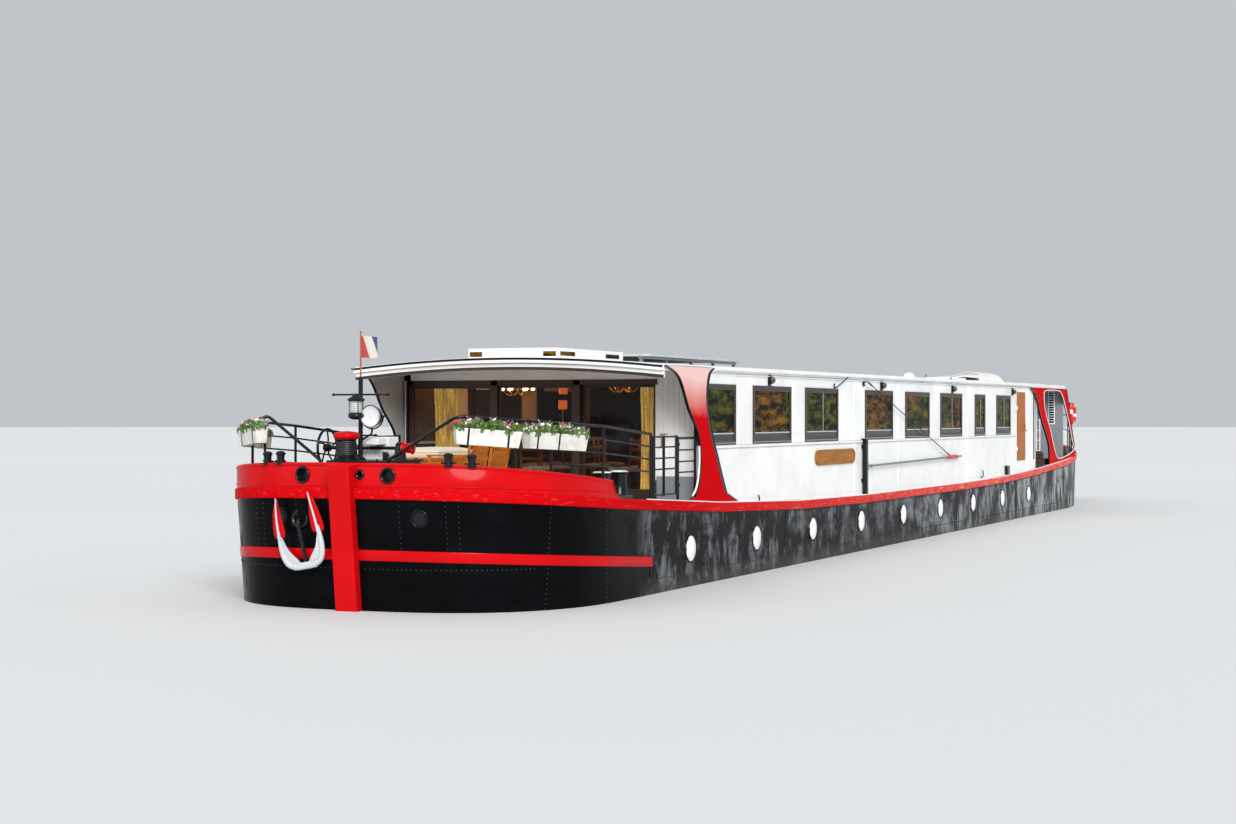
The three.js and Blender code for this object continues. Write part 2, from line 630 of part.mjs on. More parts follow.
function makePanels() {
  const front = [
    ...FRONT_PANEL_FORE.map(([s, h]) => [s, Z(h)]),
    ...footLine(5250, 7320),
    ...FRONT_PANEL_AFT.map(([s, h]) => [s, Z(h)]),
  ];
  const aft = [
    ...AFT_PANEL_FORE.map(([s, h]) => [s, Z(h)]),
    ...footLine(29930, 33250),
    ...AFT_PANEL_END.map(([s, h]) => [s, Z(h)]),
  ];
  const hole = AFT_PANEL_HOLE.map(([s, h]) => [s, Z(h)]);
  for (const { name, sign } of SIDES) {
    piece(`front_panel_${name}`, sidePlate(front, sign * PANEL.in, sign * PANEL.out), RED);
    const opening = sidePlate(hole, sign * (PANEL.in - 20), sign * (PANEL.out + 20));
    piece(`aft_panel_${name}`, cut(sidePlate(aft, sign * PANEL.in, sign * PANEL.out), opening), RED);
  }
}

// Helm: plinth with a console, and the wheel on its shaft
function makeHelm() {
  const { s, half, floor, wheelHeight, wheelRadius } = HELM;
  const foot = deckAt(s + 650) + GAP;
  const plinth = block(s - 650, s + 650, -half + 60, half - 60, foot, Z(floor));
  const step = block(s + 649, s + 950, -300, 300, deckAt(s + 950) + GAP, Z(floor) - 550);
  const desk = block(s - 640, s - 420, -260, 260, Z(floor) - 1, Z(wheelHeight) + 120);
  const shaft = turnedAlong([0, Z(wheelHeight)], [
    [0, s - 421], [32, s - 421], [32, s - 330], [0, s - 330],
  ]);
  piece("helm_stand", join(plinth, step, desk, shaft), WHITE);
  const wheelAt = s - 290;
  const rim = ring([wheelAt, 0, Z(wheelHeight)], wheelRadius, 20, "x");
  const hub = turnedAlong([0, Z(wheelHeight)], [
    [0, wheelAt - 40 + GAP], [55, wheelAt - 40 + GAP], [55, wheelAt + 30], [0, wheelAt + 30],
  ]);
  const spokes = [];
  for (let i = 0; i < 8; i += 1) {
    const turn = (i * Math.PI) / 4;
    const reach = wheelRadius + 110;
    spokes.push(bar([wheelAt, 0, Z(wheelHeight)],
      [wheelAt, reach * Math.cos(turn), Z(wheelHeight) + reach * Math.sin(turn)], 13, 6));
  }
  piece("helm_wheel", join(rim, hub, ...spokes), WOOD);
}

// Rudder with its stock up to the trunk and a heel pin down to the skeg
function makeRudder() {
  const { s, low, high, lead, trail, thick } = RUDDER;
  const blade = sidePlate([
    [s - lead, low], [s + trail, low], [s + trail, high - 60], [s + trail - 80, high], [s - lead, high],
  ], -thick / 2, thick / 2);
  const stock = bar([s, 0, high - 20], [s, 0, RUDDER.trunk - GAP], 50, 12);
  const heel = bar([s, 0, SKEG.height + GAP], [s, 0, low + 20], 40, 12);
  piece("rudder", join(blade, stock, heel), HULL_BLACK);
}

function makePropeller() {
  const { s, z, radius, hub, blades } = PROPELLER;
  const boss = turnedAlong([0, z], [
    [0, s - hub - 5.5], [75, s - hub - 5.5], [80, s], [55, s + hub], [0, s + hub + 40],
  ], 16);
  const parts = [boss];
  for (let i = 0; i < blades; i += 1) {
    const blade = new THREE.CylinderGeometry(150, 60, radius - 60, 10);
    blade.scale(1, 1, 0.09);
    blade.translate(0, (radius - 60) / 2 + 60, 0);
    blade.applyMatrix4(new THREE.Matrix4().makeRotationY(Math.PI / 2 - 0.6));
    blade.applyMatrix4(new THREE.Matrix4().makeRotationX((i * 2 * Math.PI) / blades));
    blade.translate(X(s), 0, z);
    parts.push(solid(blade));
  }
  piece("propeller", join(...parts), BRONZE);
}

// Bow: bed for the gear, capstan, windlass shaft with handwheel, mast with lantern and light
function makeBowGear() {
  const top = Z(BED.top);
  const axis = Z(SHAFT.h);
  const bed = block(BED.start, BED.end, BED.starboard, BED.port, deckAt(BED.start) + GAP, top);
  const cheeks = [BED.starboard, BED.port - 60].map((y) =>
    block(SHAFT.s - 90, SHAFT.s + 90, y, y + 60, top - 1, axis + 80));
  const bore = bar([SHAFT.s, -600, axis], [SHAFT.s, 600, axis], SHAFT.radius + 0.6, 24);
  const motor = block(SHAFT.s + 100, SHAFT.s + 380, -330, 120, top - 1, Z(2120));
  piece("windlass_bed", cut(join(bed, ...cheeks, motor), bore), BLACK);

  const { radius, capRadius } = CAPSTAN;
  piece("capstan", turned([CAPSTAN.s, CAPSTAN.y], [
    [0, top + GAP], [150, top + GAP], [150, top + 30], [radius, top + 50], [radius, Z(CAPSTAN.top)],
    [capRadius, Z(CAPSTAN.top + 15)], [capRadius, Z(CAPSTAN.capTop - 25)],
    [capRadius - 40, Z(CAPSTAN.capTop)], [0, Z(CAPSTAN.capTop)],
  ], 20), RED);

  const rod = bar([SHAFT.s, SHAFT.starboard, axis], [SHAFT.s, SHAFT.port, axis], SHAFT.radius, 12);
  const head = (from, to) => turnedAcross([SHAFT.s, axis], [
    [0, from], [78, from], [60, (from + to) / 2], [78, to], [0, to],
  ]);
  const heads = [head(BED.starboard - 150, BED.starboard - 10), head(BED.port + 10, BED.port + 150)];
  const rim = ring([SHAFT.s, HANDWHEEL.y, axis], HANDWHEEL.radius, HANDWHEEL.rim, "y");
  const spokes = Array.from({ length: HANDWHEEL.spokes }, (_, i) => {
    const turn = (i * 2 * Math.PI) / HANDWHEEL.spokes;
    const [along, up] = [HANDWHEEL.radius * Math.cos(turn), HANDWHEEL.radius * Math.sin(turn)];
    return bar([SHAFT.s, HANDWHEEL.y, axis], [SHAFT.s + along, HANDWHEEL.y, axis + up], 10, 6);
  });
  piece("windlass_shaft", join(rod, ...heads, rim, ...spokes), RED);
}

function makeBowMast() {
  const { s, y, radius, top, barHalf, barHeight } = MAST;
  const post = bar([s, y, Z(BED.top) + GAP], [s, y, Z(top)], radius, 10);
  const base = Z(BED.top) + GAP;
  const foot = turned([s, y], [[0, base], [70, base], [70, base + 20], [0, base + 20]], 12);
  const crossbar = bar([s, y - barHalf, Z(barHeight)], [s, y + barHalf, Z(barHeight)], 14);
  const lantern = turned([s - 110, y], [
    [0, Z(2330)], [70, Z(2330)], [95, Z(2370)], [95, Z(2560)], [110, Z(2580)], [40, Z(2650)], [0, Z(2660)],
  ], 12);
  const bracket = bar([s - 110, y, Z(2345)], [s, y, Z(2345)], 16);
  const lamp = turnedAlong([y + 190, Z(2370)], [
    [0, s - 90], [145, s - 90], [145, s + 10], [60, s + 90], [0, s + 90],
  ], 16);
  const yoke = bar([s, y, Z(2370)], [s, y + 100, Z(2370)], 16);
  const staff = bar([s, y, Z(top) - 5], [s, y, Z(STAFF_TOP)], 11, 8);
  piece("bow_mast", join(post, foot, crossbar, lantern, bracket, lamp, yoke, staff), BLACK);
  const flag = block(s + 11.4, s + 11.4 + FLAG.long, y - FLAG.thick / 2, y + FLAG.thick / 2,
    Z(STAFF_TOP - 60 - FLAG.high), Z(STAFF_TOP - 60));
  piece("flag", flag, CLOTH);
}

// Place of the bow's skin on one hull level, for a distance across the boat
function bowFace(level, y) {
  const points = levelOutline(level);
  const i = points.findIndex((point) => point.y >= y);
  const [a, b] = [points[i - 1], points[i]];
  return a.s + ((b.s - a.s) * (y - a.y)) / (b.y - a.y);
}

// Stockless anchor hung at the starboard bow: crown down on the raking skin, flukes up, and
// its shank turned in to the hawse at the bulwark
function makeAnchor() {
  const { y, crown, shank, hawse, fluke, half, reach } = ANCHOR;
  const [low, high] = [LEVELS.at(-2), LEVELS.at(-1)].map((level) => bowFace(level, reach));
  const deckZ = Z(sheer(high));
  const skin = (h) => high + ((low - high) * Math.max(0, deckZ - Z(h))) / (deckZ - LEVELS.at(-2).z);
  const stem = sidePlate([
    [skin(crown) - 100, Z(crown + 60)], [skin(crown) - 50, Z(crown + 60)],
    [skin(hawse) - 50, Z(hawse)], [skin(hawse) - 100, Z(hawse)],
  ], y - half, y + half);
  const bulwarkFace = bowFace(LEVELS.at(-1), Math.abs(y) - half) - GAP;
  const neck = block(high - 60, bulwarkFace, y - half, y + half, Z(hawse - shank), Z(hawse));
  const foot = block(skin(crown) - 135, skin(crown) + 200, y - 260, y + 260, Z(crown), Z(crown + 140));
  const flukes = [-1, 1].map((side) => loft([-115, -75].map((depth) => [
    [130, crown + 60], [270, crown + 60], [290, crown + 500], [200, fluke], [150, crown + 500],
  ].map(([across, h]) => [X(skin(h) + depth), y + side * across, Z(h)])), fanCap));
  piece("anchor", join(cut(foot, hullShell(GAP)), stem, neck, ...flukes), WHITE);
}

// Foredeck railings, each with four bars, and the boarding gate that closes it
const RAIL_RADIUS = 20;
const TOP_RAIL = [
  [243, 425, 1516], [240, 445, 1815], [420, 1330, 2370],
  [900, 1880, 2320], [1500, 2080, 2290], [2600, 2300, 2240], [4000, 2385, 2133],
];
const GATE = { fore: 4030, post: 4985, end: 5650, y: 2385, low: 1290, top: 2110 };

function makeRailings() {
  for (const { name, sign } of SIDES) {
    const at = (points) => points.map(([s, y, h]) => [s, sign * y, Z(h)]);
    const top = bentBar(at(TOP_RAIL), RAIL_RADIUS);
    const mids = [170, 340, 510].map((drop, i) =>
      bentBar(at(TOP_RAIL.slice(i ? 4 : 3).map(([s, y, h]) => [s, y, h - drop])), 12, 6));
    const posts = TOP_RAIL.slice(3).map(([s, y, h]) =>
      bar([s, sign * y, seatAt(s, 18)], [s, sign * y, Z(h)], 18));
    piece(`bow_railing_${name}`, join(top, ...mids, ...posts), BLACK);

    const y = sign * GATE.y;
    const uprights = [GATE.post, GATE.end].map((s) => bar([s, y, seatAt(s, 18)], [s, y, Z(2085)], 18));
    const fixed = [2065, 1900, 1740, 1590].map((h, i) =>
      bar([GATE.post, y, Z(h)], [GATE.end, y, Z(h)], i ? 12 : RAIL_RADIUS, 8));
    piece(`gate_post_${name}`, join(...uprights, ...fixed), BLACK);
  }
}

function makeGates() {
  for (const { name, sign } of SIDES) {
    const y = sign * GATE.y;
    const back = GATE.post - 30;
    const stile = (s) => block(s - 20, s + 20, y - 20, y + 20, Z(GATE.low), Z(GATE.top));
    const bars = [GATE.top - 20, 1950, 1800, 1650, GATE.low + 15].map((h) =>
      bar([GATE.fore + 60, y, Z(h)], [back - 20, y, Z(h)], 12, 6));
    const latch = block(4430, 4500, y - 60, y + 60, Z(GATE.top) - 1, Z(GATE.top) + 30);
    const eyes = [1420, 1980].map((h) =>
      turned([GATE.post, y], [[19, Z(h)], [30, Z(h)], [30, Z(h + 40)], [19, Z(h + 40)], [19, Z(h)]], 12));
    const arms = [1420, 1980].map((h) =>
      block(back - 5, GATE.post - 24, y - 8, y + 8, Z(h + 4), Z(h + 36)));
    piece(`side_gate_${name}`,
      join(stile(GATE.fore + 60), stile(4465), stile(back - 24), ...bars, latch, ...eyes, ...arms), BLACK);
  }
}

// Flower troughs hung outside the top bar by two hooks, two troughs to a side: the stretch of
// the bar that carries each, the trough's middle as a share of it, its length, and the hooks'
// places as shares of that length
const TROUGHS = [
  { name: "fore", stretch: 2, share: 0.5, long: 830, hooks: [-0.25, 0.25] },
  { name: "aft", stretch: 3, share: 0.95, long: 1050, hooks: [-0.38, 0] },
];
const TROUGH = { drop: 135, deep: 200, topWide: 170, taper: 20, hook: 6, hookWide: 25 };

function makeTroughs() {
  const { drop, deep, topWide, taper, hook, hookWide } = TROUGH;
  const near = RAIL_RADIUS + GAP;
  const section = [
    [near + 1, -drop], [near + topWide, -drop],
    [near + topWide - taper, -drop - deep], [near + taper, -drop - deep],
  ];
  const claw = [
    [near, -drop - 25], [near + hook, -drop - 25],
    [near + hook, near + hook], [-near - hook, near + hook],
    [-near - hook, -10], [-near, -10], [-near, near], [near, near],
  ];
  for (const { name, sign } of SIDES) {
    for (const trough of TROUGHS) {
      const [a, b] = TOP_RAIL.slice(trough.stretch, trough.stretch + 2)
        .map(([s, y, h]) => new THREE.Vector3(X(s), y, Z(h)));
      const along = b.clone().sub(a).normalize();
      const outward = new THREE.Vector3(0, 0, -1).cross(along).normalize();
      const up = outward.clone().cross(along);
      const place = new THREE.Matrix4().makeBasis(outward, up, along)
        .setPosition(a.lerp(b, trough.share));
      const length = (points, from, to) => {
        const run = new THREE.ExtrudeGeometry(outline(points), { depth: to - from, bevelEnabled: false });
        return solid(run.translate(0, 0, from).applyMatrix4(place).scale(1, sign, 1));
      };
      const hooks = trough.hooks.map((share) =>
        length(claw, share * trough.long - hookWide / 2, share * trough.long + hookWide / 2));
      const box = length(section, -trough.long / 2, trough.long / 2);
      piece(`flower_trough_${trough.name}_${name}`, join(box, ...hooks), WHITE);
    }
  }
}

// Deck furniture: two low slatted chairs that face starboard, and a wooden locker with a seat
// cushion on its aft end. Each chair's s is its middle.
const CHAIRS = [{ name: "fore", s: 2850 }, { name: "aft", s: 3490 }];
const CHAIR = {
  y: 280, wide: 540, deep: 520, seat: 330, top: 690, lean: 110, stock: 36, slats: 6, share: 0.7,
};
const LOCKER = { start: 2500, end: 4600, port: -500, starboard: -1300, top: 1790 };
const CUSHION = { start: 3400, thick: 150, inset: 20 };

function makeChairs() {
  const { y, wide, deep, seat, top, lean, stock, slats, share } = CHAIR;
  for (const { name, s } of CHAIRS) {
    const floor = deckAt(s);
    const lift = (up) => y + (lean * up) / top;
    const ends = [s - wide / 2, s + wide / 2 - stock];
    const frames = ends.flatMap((from) => {
      const foot = seatAt(from + stock / 2, stock / 2);
      const back = crossPlate([
        [y, foot], [y + stock, foot], [lift(top) + stock, floor + top], [lift(top), floor + top],
      ], from, from + stock);
      const front = block(from, from + stock, y - deep, y - deep + stock, foot, floor + seat);
      const rail = block(from, from + stock, y - deep, lift(seat) + 20, floor + seat - stock, floor + seat);
      return [back, front, rail];
    });
    const [fore, aft] = [s - wide / 2 + stock / 2, s + wide / 2 - stock / 2];
    const pitch = (top - seat - 30) / slats;
    const backSlats = Array.from({ length: slats }, (_, i) => {
      const up = seat + 30 + i * pitch;
      const over = up + share * pitch;
      return crossPlate([
        [lift(up) + 6, floor + up], [lift(up) + 26, floor + up],
        [lift(over) + 26, floor + over], [lift(over) + 6, floor + over],
      ], fore, aft);
    });
    const step = (deep - 10) / slats;
    const seatSlats = Array.from({ length: slats }, (_, i) => {
      const from = y - deep + 10 + i * step;
      return block(fore, aft, from, from + share * step, floor + seat - 1, floor + seat + 16);
    });
    piece(`deck_chair_${name}`, join(...frames, ...backSlats, ...seatSlats), WOOD);
  }
}

function makeLocker() {
  const { start, end, port, starboard, top } = LOCKER;
  const base = sidePlate([...footLine(start, end), [end, Z(top)], [start, Z(top)]], starboard, port);
  const pad = block(CUSHION.start, end - CUSHION.inset, starboard + CUSHION.inset, port - CUSHION.inset,
    Z(top) - 1, Z(top + CUSHION.thick));
  piece("deck_locker", join(base, pad), WOOD);
}

// Mooring rope laid down in a round coil on the port side deck, flat on the sloping deck
const ROPE_COIL = { s: 30500, y: 2090, thick: 28, across: 4, layers: 4, middle: 230 };

function makeRopeCoil() {
  const { s, y, thick, across, layers, middle } = ROPE_COIL;
  const [inner, outer] = [middle - (across * thick) / 2, middle + (across * thick) / 2];
  const high = layers * thick;
  const section = [[inner, 0], [outer, 0], [outer, high], [inner, high], [inner, 0]];
  const coil = new THREE.LatheGeometry(section.map(([r, z]) => new THREE.Vector2(r, z)), 24);
  const [fore, aft] = [deckAt(s - outer), deckAt(s + outer)];
  coil.rotateX(Math.PI / 2);
  coil.rotateY(Math.atan2(aft - fore, 2 * outer));
  coil.translate(X(s), y, Math.max((fore + aft) / 2, deckAt(s)) + 2 * GAP);
  piece("rope_coil", solid(coil), ROPE);
}

// Twin bollards on a base plate
function makeBollards() {
  const places = [{ end: "bow", s: 3120, y: 2180 }, { end: "stern", s: 34000, y: 1750 }];
  const { pitch, overhang, half, plate, top, radius, capRadius } = BOLLARD;
  const reach = pitch / 2 + overhang;
  for (const { name, sign } of SIDES) {
    for (const { end, s, y } of places) {
      const base = seatAt(s, reach);
      const foot = block(s - reach, s + reach, sign * (y - half), sign * (y + half), base, base + plate);
      const posts = [-1, 1].map((step) => turned([s + (step * pitch) / 2, sign * y], [
        [0, base + plate - 1], [radius, base + plate - 1], [radius, base + top - 40],
        [capRadius, base + top - 30], [capRadius, base + top - 8], [radius, base + top], [0, base + top],
      ]));
      piece(`bollards_${end}_${name}`, join(foot, ...posts), BLACK);
    }
  }
}

// Boom on the port side: post on the deck edge and a boom that swings out from it
function makeBoom() {
  const { s, y, post, postTop, h, end, radius, pin } = BOOM;
  const [inner, outer] = [y - 49, y + 28];
  const pivot = s + post + 45;
  const upright = block(s - post, s + post, inner, outer, deckAt(s + post) + GAP, Z(postTop));
  const cap = block(s - post - 40, s + post + 40, inner, outer, Z(postTop) - 1, Z(postTop) + 25);
  const lugs = [h - 70, h + 50].map((low) =>
    block(s + post - 1, pivot + 25, y - 30, outer, Z(low), Z(low + 20)));
  const rod = bar([pivot, y, Z(h - 60)], [pivot, y, Z(h + 60)], pin, 12);
  piece("boom_post", join(upright, cap, ...lugs, rod), BLACK);

  const bore = pin + 1;
  const [low, high] = [Z(h - 45), Z(h + 45)];
  const eye = turned([pivot, y], [[bore, low], [24, low], [24, high], [bore, high], [bore, low]], 12);
  const arm = bar([pivot + 18, y, Z(h)], [end, y, Z(h + 60)], radius, 10);
  piece("boom", join(eye, arm), BLACK);
}

// Roof gear: low white box, solar array, folded canvas
const ROOF_BOX = { start: 4650, end: 7000, half: 700, high: 130 };
const SOLAR = {
  start: 7350, end: 11600, railAt: 820, railWide: 40, high: 90, panels: 4, long: 1000, half: 1000,
};
const CANVAS = { start: 29000, end: 31700 };

function makeRoofGear() {
  const crown = roofTopAt(ROOF_BOX.end, 0) + GAP;
  piece("roof_box", block(ROOF_BOX.start, ROOF_BOX.end, -ROOF_BOX.half, ROOF_BOX.half,
    crown, crown + ROOF_BOX.high), WHITE);

  const { start, end, railAt, railWide, high, panels, long, half } = SOLAR;
  const seat = roofTopAt(end, railAt - railWide / 2) + GAP;
  const rails = [-1, 1].map((side) => block(start, end, side * (railAt - railWide / 2),
    side * (railAt + railWide / 2), seat, seat + high));
  const pitch = (end - start) / panels;
  const sheets = Array.from({ length: panels }, (_, i) => {
    const from = start + i * pitch + (pitch - long) / 2;
    return block(from, from + long, -half, half, seat + high - 10, seat + high + 25);
  });
  piece("solar_array", join(...rails, ...sheets), ALUMINIUM);

  const low = roofTopAt(CANVAS.end, 0) + GAP;
  const section = [[-700, 0], [900, 0], [860, 120], [500, 200], [-200, 170], [-640, 90]];
  const bundle = crossPlate(section.map(([y, up]) => [y, low + up]), CANVAS.start, CANVAS.end);
  piece("canvas_bundle", bundle, CLOTH);
}

// Curtains gathered inside the front wall, hung from the ceiling
const CURTAINS = [
  { name: "starboard", low: -2020, high: -1560 },
  { name: "port", low: 1370, high: 1670 },
];

function makeCurtains() {
  const from = FRONT_WALL + WALL_THICK + 100;
  for (const { name, low, high } of CURTAINS) {
    const top = Math.min(ceilingAt(from, low), ceilingAt(from, high)) - GAP;
    piece(`curtain_${name}`, block(from, from + 110, low, high, deckAt(from) + 20, top), GOLD);
  }
}

// Stern: railing round the end with the tall posts that hold the lifebuoy, and the ladder
const STERN_RAIL = { start: 33250, inset: 110, top: 880, middle: 480, radius: 18 };
const LIFEBUOY = { radius: 300, tube: 62, h: 2430 };
const LADDER = { s: 31500, y: AFT_HALF + 90, half: 200, top: 3030, step: 260 };

function makeStern() {
  const { start, inset, top, middle, radius } = STERN_RAIL;
  const corner = { s: start, y: deckAt(start, "y"), z: deckAt(start) };
  const edge = edgePath([corner, ...DECK_EDGE.filter(({ s }) => s > start + 1)]);
  const port = edge.map((p) => ({ s: p.s - p.outS * inset, y: p.y - p.outY * inset, z: p.z }));
  const around = [...port, ...starboardOf(port)];
  const rails = [top, middle].map((up) => bentBar(around.map(({ s, y, z }) => [s, y, z + up]), radius));
  const posts = around.filter((_, i) => i % 2 === 0 || i === around.length - 1).map(({ s, y, z }) =>
    bar([s, y, seatAt(Math.min(s, STERN_END - 60), 20)], [s, y, z + top], 16, 6));
  const { s, y } = port[0];
  const buoyY = y + radius + LIFEBUOY.tube + GAP;
  const pegHigh = Z(LIFEBUOY.h) + LIFEBUOY.radius - LIFEBUOY.tube - 12;
  const tallPost = bar([s, y, seatAt(s, 20)], [s, y, Z(LIFEBUOY.h + LIFEBUOY.radius)], radius);
  const peg = bar([s, y, pegHigh], [s, buoyY + LIFEBUOY.tube, pegHigh], 10);
  piece("stern_railing", join(...rails, ...posts, tallPost, peg), WHITE);
  piece("lifebuoy", ring([s, buoyY, Z(LIFEBUOY.h)], LIFEBUOY.radius, LIFEBUOY.tube, "y", 8, 20), ORANGE_RED);
}

function makeLadder() {
  const { s, y, half, top, step } = LADDER;
  const rungs = [];
  for (let z = deckAt(s) + step; z < Z(top); z += step) {
    rungs.push(bar([s - half, y, z], [s + half, y, z], 14, 6));
  }
  const stiles = [s - half, s + half].map((at) => bar([at, y, seatAt(at, 16)], [at, y, Z(top)], 16));
  piece("ladder", join(...stiles, ...rungs), WHITE);
}

makeHull();
makeStem();
makeRubRails();
makeBulwark();
makeRoof();
makeSideWalls();
makeWindowBands();
makeSideDoors();
makeFrontWall();
makeFrontGlass();
makeFrontDoor();
makeAftHouse();
makePanels();
makeHelm();
makeRudder();
makePropeller();
makeBowGear();
makeBowMast();
makeAnchor();
makeRailings();
makeGates();
makeTroughs();
makeChairs();
makeLocker();
makeRopeCoil();
makeBollards();
makeBoom();
makeRoofGear();
makeCurtains();
makeStern();
makeLadder();

export default boat;
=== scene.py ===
"""River boat: the looks of a steel canal barge fitted out as a hotel boat.

The packed model is the fixed frame, in metres: +X to the bow, +Y to port, +Z up, origin under
the flat bottom. Places are given as s, the distance aft of the stem's foot, y across the boat
and h, the height above the water, the same as in the part's source.
"""

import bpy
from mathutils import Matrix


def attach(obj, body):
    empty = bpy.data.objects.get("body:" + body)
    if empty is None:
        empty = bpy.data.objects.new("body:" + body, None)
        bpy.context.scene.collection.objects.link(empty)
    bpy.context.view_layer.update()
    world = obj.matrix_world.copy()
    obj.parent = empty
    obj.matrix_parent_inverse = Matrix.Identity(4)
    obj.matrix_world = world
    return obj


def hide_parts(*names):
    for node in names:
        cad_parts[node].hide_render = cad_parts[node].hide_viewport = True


bl_info = {
    "name": "River boat",
    "version": (1, 0, 0),
    "blender": (4, 5, 0),
    "location": "View3D > Sidebar > River boat",
    "description": "Builds the finished surfaces and fittings of a canal barge on its packed frame",
    "category": "Object",
}

from math import atan2, cos, dist, exp, pi, radians, sin, sqrt

import bmesh
import bpy
from bpy.props import FloatProperty, FloatVectorProperty, IntProperty, PointerProperty
from mathutils import Matrix, Vector
from mathutils.geometry import tessellate_polygon

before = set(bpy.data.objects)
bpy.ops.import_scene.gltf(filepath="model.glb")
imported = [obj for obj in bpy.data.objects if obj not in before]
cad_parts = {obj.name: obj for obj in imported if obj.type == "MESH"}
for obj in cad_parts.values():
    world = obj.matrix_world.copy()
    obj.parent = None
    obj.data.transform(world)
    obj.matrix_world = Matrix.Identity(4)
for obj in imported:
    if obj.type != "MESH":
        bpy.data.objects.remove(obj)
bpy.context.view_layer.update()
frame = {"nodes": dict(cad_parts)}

# Main sizes
WATERLINE = 1.25
LENGTH = 38.5
BOW_LEAD = 0.15
STERN_END = LENGTH - BOW_LEAD
RAIL_PROUD = 0.025
HALF = 2.5
SIDES = (("port", 1), ("starboard", -1))
UP = (0, 0, 1)
AHEAD = (1, 0, 0)

# Hull levels: height, half breadth, bow (start, run, power), stern (end, run, power), post
LEVELS = (
    (0.0, 2.3, (0.64, 4.16, 2.1), (35.2, 9.0, 1.6), 0.05),
    (0.22, 2.47, (0.44, 3.56, 2.3), (35.35, 8.6, 1.7), 0.05),
    (1.0, 2.49, (0.239, 2.8, 2.5), (35.8, 7.4, 1.8), 0.07),
    (1.19, 2.497, (0.217, 2.7, 2.6), (38.0, 6.3, 1.8), 0.18),
    (None, HALF, (0.033, 2.72, 2.6), (STERN_END - RAIL_PROUD, 6.5, 1.8), 0.22),
)
STEM_HALF = 0.15
# Steps along the bow, the side and the stern
FRAME_STEPS = (8, 8, 7)
SKIN_STEPS = (28, 32, 24)
# Bulwark: end on the side, length of its rounded end, sizes and heights
BULWARK = {"end": 2.45, "round": 0.23, "thick": 0.05, "stem_top": 1.79, "end_top": 1.54, "foot": 0.025}
# Where the red stripe on the bow ends, and the plug in each bow
STRIPE_END = 3.75
PLUG = {"y": 0.97, "h": 1.14, "radius": 0.1}
# Holes in the bulwark: distance from the middle, height, radius
HAWSE_HOLES = ((0.59, 1.655, 0.082), (-0.6, 1.655, 0.088), (0.215, 1.665, 0.042))

# Row of portholes: the first one, the pitch and the height
PORTHOLES = {"first": 5.17, "pitch": 2.757, "h": 0.53}
PROPELLER = {"s": 36.08, "h": 0.52 - WATERLINE}
RUDDER_STOCK = 36.9

# House
WALL_OUT = 2.4
FRONT_WALL = 5.85
WALL_THICK = 0.06
AFT_WALL = 31.85
ROOF = {"front": 4.36, "end": 32.1, "half": 2.42, "camber": 0.13, "thick": 0.08, "fore_edge": 3.07,
        "aft_edge": 3.14}
WINDOW = {"sill": 1.985, "head": 2.8, "frame": 0.045}
# Side windows: start, end, number of panes
WINDOWS = (
    (6.05, 7.23, 1), (8.08, 9.82, 1), (10.63, 12.35, 2), (14.06, 15.78, 1),
    (16.74, 18.44, 1), (19.39, 21.1, 2), (22.33, 23.19, 2), (24.37, 25.7, 2),
)
# Front panes: node, starboard and port edge
GLASS = (("front_glass_starboard", -2.28, -0.93), ("front_glass_centre", -0.83, 0.41))
FRONT_DOOR = {"low": 0.51, "high": 1.68, "lap": 0.03, "thick": 0.04}
FRONT_HEAD = 2.83
PANEL = {"inner": 2.4205, "outer": 2.456}
# Outlines of the side panels, as (s, h)
FRONT_PANEL_FORE = (
    (4.365, 3.06), (4.87, 2.91), (5.235, 2.48), (5.56, 2.18), (5.69, 1.9), (5.705, 1.64), (5.64, 1.43),
    (5.49, 1.24),
)
FRONT_PANEL_AFT = (
    (6.75, 1.26), (6.54, 1.55), (6.37, 1.81), (6.205, 2.03), (6.06, 2.33), (5.985, 2.68), (6.06, 2.96),
    (6.24, 3.06),
)
AFT_PANEL_FORE = (
    (27.8, 3.06), (28.38, 2.83), (28.81, 2.4), (29.43, 1.985), (29.82, 1.68), (29.93, 1.42),
)
AFT_PANEL_END = ((33.18, 1.56), (32.86, 1.96), (32.56, 2.4), (32.18, 2.96), (32.06, 3.06))
AFT_PANEL_HOLE = (
    (31.23, 1.29), (30.68, 1.44), (30.34, 1.73), (29.94, 2.1), (29.6, 2.33), (29.33, 2.62), (29.27, 2.86),
    (29.48, 3.0), (31.08, 3.01), (31.52, 2.9), (31.83, 2.69), (32.15, 2.44), (32.5, 2.13), (32.86, 1.72),
    (33.08, 1.48),
)
SIDE_DOOR = {"start": 26.45, "end": 27.35, "low": 1.33, "high": 2.93}
NAME_BOARD = {"s": 12.225, "h": 1.68}
# Saloon: hooded lamps (s, y, h), then tables and ceiling lights (s, y)
SALOON_LAMPS = ((8.0, -0.76, 2.55), (8.1, -0.8, 2.79))
SALOON_TABLES = ((7.4, -1.3), (7.6, 1.15), (9.6, -1.3), (9.8, 1.15))
SALOON_LIGHTS = ((7.9, -1.5), (8.2, 0.2), (10.4, -0.1))

# Bow gear
BED = {"start": 0.23, "end": 1.35, "port": 0.37, "starboard": -0.38, "top": 1.83}
CAPSTAN = {"s": 0.42, "y": -0.2, "cap_top": 2.19}
SHAFT = {"s": 0.8, "h": 1.975, "radius": 0.022, "port": 0.53, "starboard": -0.76}
HANDWHEEL = {"y": -0.705, "radius": 0.25, "rim": 0.017, "spokes": 5}
MAST = {"s": 0.64, "y": -0.13, "radius": 0.028, "bar_half": 0.4, "bar_h": 2.64, "staff": 3.43}
ANCHOR_Y = -0.72

